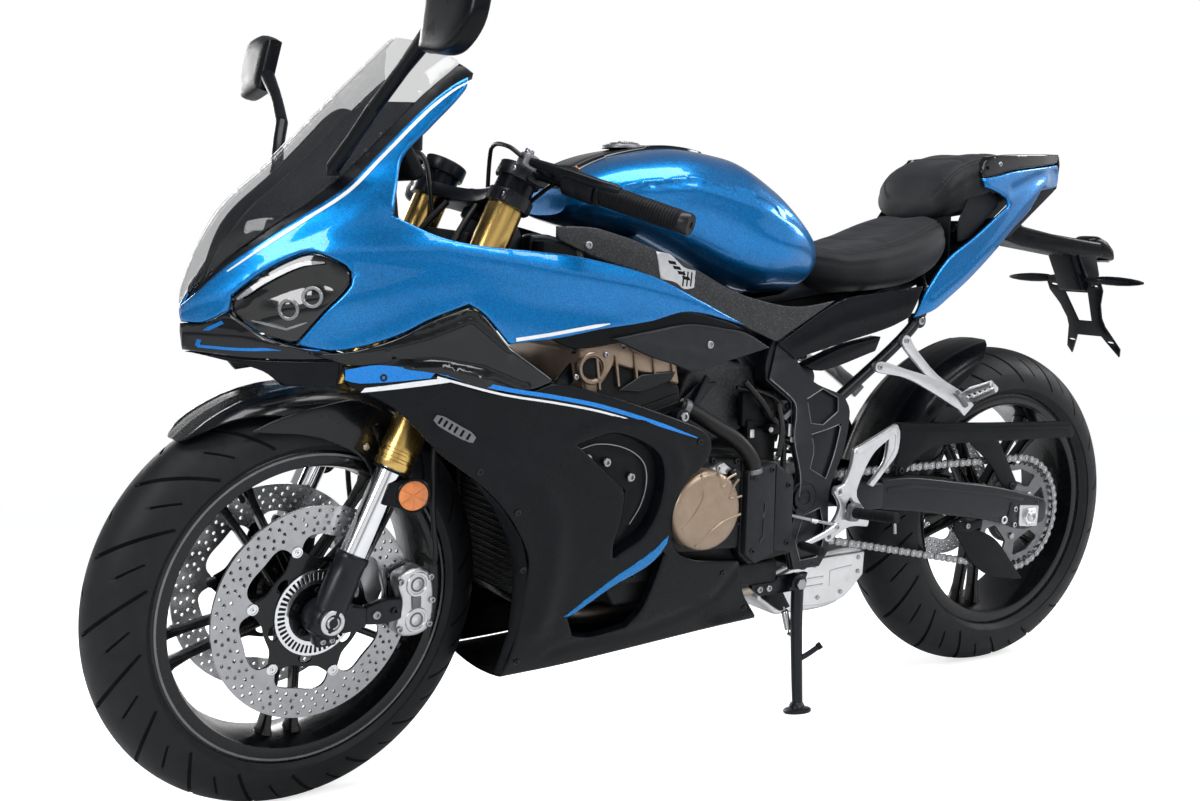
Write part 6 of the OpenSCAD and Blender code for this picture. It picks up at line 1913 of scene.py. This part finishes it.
def plate_holder():
    """Number plate holder, its lamp and the rear indicators."""
    a, b = np.array([-924, 812.0]), np.array([-1042, 600.0])
    u = (b - a) / np.linalg.norm(b - a)
    w = np.array([u[1], -u[0]])
    w = w if w[0] < 0 else -w
    out = [(-34, 2), (34, 2), (36, 46), (44, 56), (66, 58), (66, 84), (50, 118), (43, 150), (45, 170), (66, 222),
           (59, 240), (30, 192), (-30, 192), (-59, 240), (-66, 222), (-45, 170), (-43, 150), (-50, 118), (-66, 84),
           (-66, 58), (-44, 56), (-36, 46)]
    hole = [(-29, 88), (29, 88), (17, 158), (-17, 158)]
    slots = [[(sx + 9 * math.cos(t), sy + 3.2 * math.sin(t)) for t in np.linspace(0, TAU, 14, endpoint=False)]
             for sx, sy in ((-50, 72), (50, 72), (-48, 206), (48, 206))]
    L = [np.array(out, float), np.array(hole, float)] + [np.array(s) for s in slots]

    def P(p, h):
        q = a + u * p[1] + w * h
        return (q[0], p[0], q[1])
    q = [cut_out(L, lambda p: P(p, 3.0), lambda p: P(p, -1.6), 1.1, 2, "black_satin")]
    for sx, sy in ((-24, 24), (24, 24), (-38, 170), (38, 170)):
        c = P((sx, sy), 3)
        q += bolt(c, (w[0], 0, w[1]), 4.4, 2.6)
    # carrier arm out of the tail
    top = [(-692, 878), (-742, 883), (-762, 866), (-850, 852), (-960, 841), (-1000, 838), (-1030, 828), (-1000, 806),
           (-924, 806), (-760, 826), (-694, 844)]
    q += [prism(top, -32, 32, 7, "black_satin", ease=0, seg=3)]
    q += [prism([(-720, 872), (-766, 862), (-860, 848), (-960, 836), (-960, 832), (-860, 843), (-766, 856),
                 (-722, 864)], -33.6, 33.6, 1.2, "black_matte")]
    q += [prism([(-905, 812), (-985, 812), (-1000, 770), (-985, 738), (-948, 738), (-930, 770)], -30, 30, 4,
                "black_satin", ease=0)]
    # lamp housing
    rows = []
    for x, z0, z1, wd in ((-976, 812, 846, 20), (-984, 806, 850, 30), (-1000, 803, 850, 33), (-1020, 801, 842, 33),
                          (-1036, 800, 828, 31), (-1045, 799, 814, 26)):
        rows.append([(x, wd * squared(math.cos(t), 0.6), (z0 + z1) / 2 + (z1 - z0) / 2 * squared(math.sin(t), 0.7))
                     for t in np.linspace(0, TAU, 36, endpoint=False)])
    q += [loft(rows, "black_satin"),
          prism([(-1004, 800.6), (-1038, 799.8), (-1036, 796.4), (-1008, 796.8)], -22, 22, 1.2, "lamp_grey")]
    # indicators
    for s in (1, -1):
        q += [tube([(-955, s * 30, 764), (-955, s * 62, 762)], 6.4, 18, "rubber", 1, radii=[7.4, 5.6])]
        sec = []
        for y, hx_, hz in ((58, 5, 5), (66, 8, 7.6), (84, 9, 8.8), (110, 9, 9), (135, 8.6, 7.6), (155, 7, 5),
                           (165, 4, 2.6)):
            sec.append(((-955, s * y, 762 - (y - 56) * 0.018), (hx_, 0, 0), (0, 0, hz)))
        q += [beam(sec, "black_satin", 22, 0.8)]
        sec = []
        for y, hx_, hz in ((88, 2.2, 4.0), (100, 3, 6.4), (130, 3, 5.8), (152, 2.0, 3.2)):
            sec.append(((-962.0, s * y, 761.8 - (y - 56) * 0.018), (hx_, 0, 0), (0, 0, hz)))
        q += [beam(sec, "amber", 18, 0.8)]
    piece("plate_holder", q, "chassis", ["plate_bracket"])


tank()
seats()
tail()
side_panels_rear()
mirrors()
clocks()
plate_holder()


# ---- frame, engine and what hangs on them ----
def across(x, z, y0, y1, r, mat, bevel=1.2, n=40):
    return disc((x, 0, z), Y, r, y0, y1, bevel, n, mat)


def chassis_frame():
    """Steering head, spars, pivot plates and cross tubes."""
    q = []
    top, low = [Vector((807 - z * math.tan(RAKE), 0, z)) for z in (858, 690)]
    L = (top - low).length
    q.append(lathe([(0, 24), (0, 33), (3, 35), (14, 35), (18, 30), (L - 18, 30), (L - 14, 35), (L - 3, 35), (L, 33),
                    (L, 24)], low, top - low, 48, mat="frame_black"))
    head = [(807 - 700 * math.tan(RAKE) - 14, 700), (807 - 838 * math.tan(RAKE) - 14, 838), (365, 842), (330, 740),
            (400, 690)]
    q.append(prism(head, -53, 53, 5, "frame_black"))
    spar = [(372, 722), (364, 832), (330, 832), (60, 756), (-80, 690), (-150, 600), (-120, 560), (-60, 600), (40, 690),
            (300, 740)]
    q += both(prism(spar, 52, 82, 6, "frame_black", 14, seg=3))
    swage = [(350, 745), (346, 806), (322, 812), (70, 738), (-58, 678), (-118, 604), (-106, 590), (-62, 622),
             (46, 708), (290, 756)]
    q += both(prism(swage, 81, 84.5, 2, "frame_black", 14))
    q += both(prism([(-84, 686), (-150, 600), (-120, 560), (-62, 600)], 83, 114, 4, "frame_black"))
    plate = [(-60, 632), (-84, 690), (-150, 604), (-232, 568), (-246, 540), (-236, 474), (-208, 404), (-212, 300),
             (-190, 271), (-130, 271), (-118, 330), (-136, 392), (-138, 438), (-122, 500), (-116, 562), (-62, 600)]
    q += both(prism(plate, 112, 121, 2.5, "frame_black", 8, seg=2))
    hexa = spline([(-147, 566), (-181, 582), (-216, 565), (-217, 541), (-185, 520), (-158, 524)], 6, corner=30)
    r1 = spline([(-160, 505), (-196, 512), (-226, 520), (-214, 470), (-196, 426), (-160, 446), (-168, 478)], 6,
                corner=30)
    r2 = spline([(-150, 366), (-186, 376), (-198, 330), (-188, 290), (-146, 288), (-134, 322)], 6, corner=30)
    rim = [(-84, 686), (-150, 602), (-230, 567), (-244, 540), (-234, 474), (-206, 404), (-210, 301), (-189, 273),
           (-132, 273), (-120, 330), (-138, 392), (-140, 438), (-124, 500), (-118, 564), (-64, 602)]
    q += both(prism(rim, 120, 126, 1.6, "frame_black", 8, holes=[hexa, r1, r2]))
    for c, r, y in (((-149, 397), 21, 128), ((-137, 640), 7, 126)):
        q += both(ring((c[0], 0, c[1]), Y, r * 0.62, r, 120, y, 1, 40, "frame_black"),
                  across(c[0], c[1], 118, y - 1.5, r * 0.6, "bolt_black", 1, 6))
    q += both(ring((-149, 0, 397), Y, 26, 29, 120, 127.2, 0.8, 48, "frame_black"))
    # thin lighter metal lines round the recesses: painted highlights on their rims
    for loop in (hexa, r1, r2):
        q += both(tube([(a, 126.0, b) for a, b in np.vstack([loop, loop[:1]])[::2]], 0.9, 6, "alloy_dark", 1))
    # a lighter metal line down the front of each plate: a painted highlight on its edge
    edge = [(-64, 604, 127), (-116, 566, 127), (-124, 540, 127), (-122, 500, 127), (-138, 438, 127), (-138, 400, 127)]
    q += both(tube([(a, c, b) for a, b, c in edge], 1.3, 8, "alloy_dark", 6))
    q.append(prism([(170, 786), (170, 823.8), (200, 832.3), (200, 792)], -84, 84, 3, "frame_black"))
    q.append(across(-150, 600, -114, 114, 22, "frame_black"))
    q.append(across(-165, 280, -114, 114, 14, "frame_black"))
    piece("frame_spars", q, "chassis", ["main_frame"])


def under_seat():
    """Rear subframe, electrical tray and battery."""
    q = []
    rail = [(-10, 690), (-10, 722), (-140, 738), (-182, 758.2), (-310, 758.2), (-380, 764.2), (-440, 778.2),
            (-500, 806), (-500, 893.4), (-545, 897.2), (-610, 907.1), (-670, 927.4), (-712, 945.4), (-815.7, 960),
            (-815.7, 934), (-700, 846), (-420, 738)]
    wins = [spline([(-60, 702), (-66, 716), (-140, 726), (-300, 746), (-380, 748), (-360, 740), (-200, 712)], 10),
            spline([(-520, 812), (-520, 876), (-620, 892), (-690, 912), (-730, 916), (-690, 866)], 10)]
    q += both(prism(rail, 34, 51.7, 2.5, "frame_black", holes=wins))
    arm = [(-214, 101.5, 543), (-416, 101.5, 692), (-474, 45, 778)]
    q += both(tube(arm, 10, 18, "frame_black", 8))
    q += both(*[disc(p, Y, 13, -10, 10, 1.5, 28, "frame_black") for p in (arm[0], arm[1])],
              *bolt((-214, 111, 543), Y, 7, 4), *bolt((-416, 111, 692), Y, 7, 4))
    q.append(across(-560, 860, -40, 40, 9, "frame_black"))
    # electrical tray and battery between the rails
    q.append(prism([(-130, 664), (-130, 724), (-330, 742), (-330, 690)], -32, 32, 5, "black_matte"))
    q.append(prism([(-350, 700), (-350, 744), (-470, 776), (-470, 744)], -32, 32, 4, "black_matte"))
    q += both(prism([(-140, 622), (-228, 652), (-312, 668), (-300, 642), (-180, 612)], 96, 124, 3, "black_satin", 12))
    piece("rear_rails", q, "chassis", ["rear_subframe"])


def engine():
    """Crankcase, cylinders, head, airbox, throttle bodies and filter."""
    q = []
    q.append(prism([(-112, 250), (-112, 292), (242, 292), (220, 250)], -110, 110, 7, "engine", seg=3))
    case = [(-112, 288), (-112, 430), (-60, 486), (120, 486), (232, 430), (262, 330), (242, 288)]
    q.append(prism(case, -128, 84, 6, "engine", 16, seg=3))
    q.append(prism([(2, 290), (2, 486), (120, 486), (232, 430), (262, 330), (242, 290)], 83, 128, 5, "engine", 16))
    q.append(prism([(2, 330), (2, 480), (118, 480), (226, 426), (254, 334)], -150, 150, 8, "engine", 16, seg=3))
    cyl = [(82, 485), (106, 600), (230, 640), (286, 560), (262, 440), (236, 420)]
    q.append(prism(cyl, -112, 112, 6, "engine", seg=3))
    # barrel ribs and the split lines of the cases
    for t in np.linspace(0.12, 0.88, 9):
        a = np.array([82, 485]) * (1 - t) + np.array([106, 600]) * t
        b = np.array([250, 430]) * (1 - t) + np.array([284, 556]) * t
        d = (b - a) / np.linalg.norm(b - a)
        n = np.array([-d[1], d[0]]) * 1.8
        q += both(prism([a - n + d * 8, a + n + d * 8, b + n - d * 8, b - n - d * 8], 110, 116.5, 0.8, "engine", seg=1))
    q += both(prism([(4, 370), (4, 374), (250, 374), (250, 370)], 149, 151.5, 0.8, "engine", seg=1))
    headb = [(106, 598), (128, 700), (196, 716), (296, 662), (280, 566), (230, 636)]
    q.append(prism(headb, -116, 116, 7, "bronze", seg=3))
    for c, r in (((272, 632), 25), ((188, 676), 25)):
        q += both(ring((c[0], 0, c[1]), Y, r - 7, r, 110, 119.5, 1.5, 44, "bronze"),
                  across(c[0], c[1], 108, 116.5, r - 8, "engine"),
                  *bolt((c[0] + r + 4, 116, c[1] - 12), Y, 4.5, 3.5),
                  *bolt((c[0] - r + 1, 116, c[1] + 20), Y, 4.5, 3.5))
    for k in range(5):
        x, z = 120 + 34 * k, 640 - 4 * k
        q += both(prism([(x, z - 26), (x + 5, z - 26), (x + 11, z + 22), (x + 6, z + 22)], 112, 119.5, 1, "bronze",
                        seg=1))
    q += both(prism([(-48, 486), (-110, 432), (-112, 556), (-70, 590), (-48, 560)], 40, 92, 4, "engine"))
    # airbox and throttle bodies
    q.append(prism([(96, 560), (74, 612), (20, 640), (-58, 622), (-84, 566), (-66, 524), (0, 500), (70, 500)], -84, 84,
                   7, "speckle", 10, seg=3))
    for y in (-54, -18, 18, 54):
        q.append(lathe([(0, 20), (0, 24), (40, 24), (44, 27), (60, 27)], (60, y, 640), (0.55, 0, 0.2), 28,
                       mat="alloy_dark"))
    q.append(disc((-62, 0, 388), Y, 32.6, 80, 104, 2, 48, "alloy_dark"))
    # filler, sensors, case bolts
    for x, z in ((20, 300), (80, 297), (140, 297), (200, 302), (236, 340), (250, 400), (16, 476), (64, 480), (112, 478),
                 (170, 456), (214, 428)):
        q += both(*bolt((x, 127 if z < 330 else 149.5, z), Y, 5.2, 4, mat="bolt_black"))
    q += both(lathe([(0, 12), (6, 12), (8, 9), (20, 9), (22, 7)], (30, 150, 455), (0, 1, 0.2), 20, mat="bolt_black"))
    q.append(prism([(262, 300), (290, 306), (296, 372), (262, 380)], -34, 34, 5, "black_satin"))
    q.append(lathe([(0, 36), (3, 38), (52, 38), (58, 34), (60, 20)], (258, -44, 330), (1, 0, -0.1), 44,
                   mat="black_satin"))
    piece("engine_cast", q, "chassis", ["engine_block"])


def covers():
    """Round crankcase covers and the sprocket cover."""
    cx, cz = 96.0, 408.0
    q = [lathe([(149, 60), (150, 65), (158, 65.5), (160, 62)], (cx, 0, cz), Y, 72, mat="engine")]
    q.append(lathe([(158, 57), (160, 64.5), (176, 64.5), (182, 63), (186.5, 59), (188.8, 53), (189.6, 40), (190, 1)],
                   (cx, 0, cz), Y, 96, mat="bronze"))

    def pt(a, b, y):
        """From the cover's own drawing grid, which runs right and down, to the motorcycle."""
        return (cx - (a - 865) * 0.405, y, cz - (b - 875) * 0.348)
    for line, w in (([(826, 704), (834, 800), (806, 862), (740, 946)], 2.2),
                    ([(905, 700), (925, 770), (955, 735), (992, 716)], 2.0),
                    ([(1022, 822), (960, 822), (985, 770), (1006, 742)], 2.0),
                    ([(1020, 905), (930, 930), (866, 976), (806, 1034)], 2.2)):
        pts = np.array([pt(a, b, 0) for a, b in line])
        r = np.hypot(pts[:, 0] - cx, pts[:, 2] - cz)
        pts[:, 1] = np.where(r > 56, 186.6, 189.4)
        q.append(tube(pts, w, 10, "bronze", 6))
    # the pressed ear of the starter idler and its rim bolts
    for i in range(8):
        a = 0.35 + i * math.pi / 4
        q += bolt((cx + 61.5 * math.cos(a), 157, cz + 61.5 * math.sin(a)), Y, 4.6, 4, mat="bolt_black")
    q += [prism([(74, 470), (50, 478), (34, 466), (44, 458), (66, 462)], 150, 162, 2, "alloy"),
          *bolt((62, 162, 470), Y, 4.5, 3)]
    # right side: clutch cover
    r_ = [lathe([(149, 62), (150, 65), (160, 65), (166, 60), (168, 56), (184, 54), (187, 50), (188, 36), (189, 1)],
                (cx, 0, cz), Y, 84, mat="engine")]
    r_ += [ring((cx, 0, cz), Y, 30, 33, 186, 190.2, 0.8, 60, "engine")]
    for i in range(7):
        a = i * TAU / 7
        r_ += bolt((cx + 58 * math.cos(a), 164, cz + 58 * math.sin(a)), Y, 4.6, 4)
    piece("case_covers", q + [mirrored(p) for p in r_], "chassis", ["engine_covers"], 35)
    s = [prism([(-108, 310), (-108, 440), (-60, 470), (1.6, 472), (1.6, 320), (-20, 300)], 112, 146, 3, "engine", 10,
               seg=3)]
    s.append(prism([(-1, 458), (-58, 468), (-60, 318), (-22, 304), (-1, 322)], 145, 160, 2.4, "grey_matte", 10))
    s.append(prism([(-66, 466), (-104, 436), (-104, 314), (-66, 320)], 145, 152, 2, "grey_matte", 10))
    s.append(prism([(-36, 404), (-40, 404), (-38, 346), (-30, 338), (-28, 342), (-34, 350)], 158.5, 161.5, 0.8,
                   "black_gloss", seg=1))
    for x, z in ((-10, 448), (-50, 458), (-14, 326), (-92, 330), (-92, 428)):
        s += bolt((x, 151 if x < -60 else 159, z), Y, 4.6, 3.6, mat="bolt_black")
    s += tube_run([(-70, 150, 478), (-84, 140, 520), (-88, 124, 560)], 4.5)
    piece("chain_cover", s, "chassis", ["sprocket_cover"])


def tube_run(path, r):
    return [tube(path, r, 14, "hose", 8)]


def cooling():
    """Radiator with its tanks, slats and hoses."""
    core = [(328, 272), (372, 275), (386, 550), (352, 554)]
    q = [prism(core, -112, 112, 1.5, "fins", seg=1)]
    q += both(prism([(322, 262), (378, 266), (393, 560), (348, 564)], 110, 128, 4, "black_satin", seg=3))
    q += [prism([(348, 552), (388, 549), (389, 562), (350, 565)], -112, 112, 2.5, "black_satin"),
          prism([(324, 262), (376, 265), (377, 277), (326, 274)], -112, 112, 2.5, "black_satin")]
    q += both(prism([(297.4, 640), (372, 558), (360, 550), (292.5, 612)], 90, 98, 2, "frame_black"))
    q += both(tube([(360, 118, 480), (352, 128, 480), (350, 134, 480)], 5, 14, "frame_black", 1))
    # slats over the core
    for k in range(26):
        t = (k + 0.5) / 26
        x = 373 + (386 - 373) * t
        z = 275 + 273 * t
        q.append(block((x + 0.6, 0, z), (3.6, 221, 1.4), 0.4, mat="core", seg=1))
    q += [lathe([(0, 18), (6, 18), (8, 22), (22, 22), (24, 18), (24, 10)], (362, 96, 562), UP, 36, mat="black_satin")]
    q += tube_run([(352, 96, 300), (318, 100, 300), (280, 104, 318), (262, 104, 340)], 15)
    q += [mirrored(tube([(352, 96, 540), (316, 100, 560), (292, 104, 590), (284, 104, 612)], 15, 18, "hose", 8))]
    piece("radiator_pack", q, "chassis", ["radiator"])


def exhaust():
    """Header pipes and the silencer under the engine."""
    y = 48
    path = [(300, y, 556), (306, y, 520), (302, y, 400), (298, y, 290), (292, y, 250), (262, y * .95, 230),
            (200, y * .8, 222), (60, y * .7, 222), (-60, y * .62, 222), (-122, y * .6, 222)]
    q = both(prism([(285.8, 575), (280.6, 545), (320, 542), (322, 571)], y - 24, y + 24, 4, "header"),
             tube(path, 16, 24, "header", 8),
             ring((60, y * .7, 222), (1, 0, 0), 15.5, 18, -7, 7, 1, 36, "header"))
    piece("header_pipes", q, "chassis", ["exhaust_header"])
    m = []
    out = [(-118.3, 246), (-118.3, 200), (-160, 168), (-300, 172), (-366, 220), (-368, 268), (-330, 278), (-200, 262)]
    m.append(prism(out, -80, 50, 9, "silencer", 14, seg=4))
    seen = [(-226, 262), (-360, 266), (-358, 222), (-306, 182), (-190, 182), (-164, 196), (-150, 240)]
    m.append(prism(seen, 48, 57, 3, "silencer", 10, seg=3))
    m.append(prism([(-128, 242), (-124, 206), (-164, 178), (-186, 184), (-152, 240)], 48, 60, 3, "black_satin", 10))
    for x, z in ((-150, 204), (-200, 196), (-250, 192), (-304, 196), (-344, 230), (-344, 256), (-240, 252)):
        m += [across(x, z, 55, 59, 4.2, "bolt", 1, 20)]
    for z in (212, 226):
        m.append(prism([(-176, z), (-176, z + 4), (-262, z + 5), (-262, z + 1)], 55, 58.8, 1, "silencer", seg=1))
    m.append(prism([(-276, 210), (-276, 240), (-330, 244), (-322, 214)], 55, 58.5, 1.4, "silencer", 8))
    m += [lathe([(0, 22), (4, 25), (20, 25), (22, 22), (22, 17), (2, 15)], (-330, -40, 214), (-0.85, 0, -0.5), 36,
                mat="header")]
    m.append(mirrored(prism(seen, 76, 84, 3, "silencer", 10)))
    piece("silencer_box", m, "chassis", ["muffler"])


def shock():
    """Rear shock absorber and its spring."""
    a, b = np.array([-262, 0, 437.0]), np.array([-170.5, 0, 570.0])
    d = b - a
    L = np.linalg.norm(d)
    d /= L
    q = [lathe([(-4, 9), (-4, 13), (0, 15), (18, 15), (24, 13), (L - 40, 13), (L - 36, 20), (L - 6, 20), (L, 15),
                (L, 9)], a, d, 32, mat="alloy_dark"),
         lathe([(14, 13), (14, 23), (20, 23), (22, 19), (22, 13)], a, d, 32, mat="black_satin"),
         lathe([(L - 44, 13), (L - 44, 23), (L - 34, 23), (L - 32, 19), (L - 32, 13)], a, d, 32, mat="black_satin")]
    u = np.array([0, 1, 0.0])
    w = np.cross(d, u)
    path = []
    for i in range(6 * 24 + 1):
        t = i / (6 * 24)
        g = TAU * 6 * t
        path.append(a + d * (24 + (L - 72) * t) + (u * math.cos(g) + w * math.sin(g)) * 18.8)
    q.append(tube(path, 4.4, 10, "spring", 1))
    q += [across(-262, 437, -14, 14, 16.6, "alloy_dark"), across(-170.5, 570, -14, 14, 14, "alloy_dark")]
    q += [lathe([(0, 14), (2, 16), (58, 16), (62, 12), (64, 4)], (-196, -34, 470), (-0.3, 0, 1), 32, mat="alloy_dark")]
    piece("shock_unit", q, "chassis", ["shock_absorber"])


def plumbing():
    """Hoses, plugs and brackets seen between the fairing and the frame."""
    q = tube_run([(104, 112, 566), (84, 120, 556), (52, 134, 534), (14, 148, 508), (-12, 154, 476),
                  (-20, 150, 446)], 13)
    q += [ring((96, 116, 562), (-0.9, 0.2, -0.4), 12.8, 15, -5, 5, 0.8, 28, "alloy_dark"),
          ring((-18, 152, 458), (-0.2, 0, -1), 12.8, 15, -4, 4, 0.8, 28, "alloy_dark")]
    q += tube_run([(-20, 118, 600), (-52, 124, 566), (-74, 122, 540), (-98, 116, 520), (-112, 112, 480),
                   (-110, 112, 420)], 5)
    q += tube_run([(-10, 110, 590), (-60, 116, 580), (-100, 112, 560), (-122, 112, 520)], 3.6)
    # relay, connectors
    q += [disc((-72, 112, 549), Y, 10, -6, 8, 1.5, 24, "bolt_black"),
          block((-90, 112, 518), (34, 20, 18), 3, mat="black_matte"),
          disc((-74, 122, 518), Y, 4.4, 0, 2.5, 0.5, 18, "alloy"),
          block((-40, 108, 520), (14, 10, 26), 2, mat="black_matte"),
          block((-41, 114, 512), (9, 4, 14), 1, mat="alloy"), block((-120, 116, 514), (12, 9, 22), 2, mat="alloy"),
          block((-112, 118, 541), (22, 8, 10), 2, Matrix.Rotation(0.6, 3, "Y"), mat="alloy_dark"),
          *bolt((-121, 121, 498), Y, 5, 3), *bolt((-40, 118, 478), Y, 6, 4),
          block((-60, 100, 552), (70, 16, 60), 5, mat="black_matte")]
    q += [prism([(120, 622), (184, 619), (226, 596), (184, 592), (128, 608)], 118, 121, 1, "frame_black", seg=1),
          prism([(20, 600), (60, 598), (96, 566), (60, 560)], 92, 98, 1.5, "frame_black", seg=1)]
    q += [block((64, 104, 577), (10, 8, 76), 2, Matrix.Rotation(-0.5, 3, "Y"), mat="frame_black"),
          disc((116, 134, 552), Y, 12.5, -12, 6, 2, 32, "frame_black"), *bolt((116, 140, 552), Y, 8, 5)]
    q += both(block((334, 105, 776), (62, 42, 96), 6, mat="black_matte"),
              tube([(356, 96, 736), (330, 124, 752), (304, 126, 800), (318, 100, 832)], 6, 14, "hose", 8))
    q += both(tube([(300, 100, 660), (240, 108, 650), (196, 104, 640), (150, 92, 640)], 5.5, 14, "hose", 8))
    piece("hoses_and_plugs", q, "chassis")


chassis_frame()
under_seat()
engine()
covers()
cooling()
exhaust()
shock()
plumbing()

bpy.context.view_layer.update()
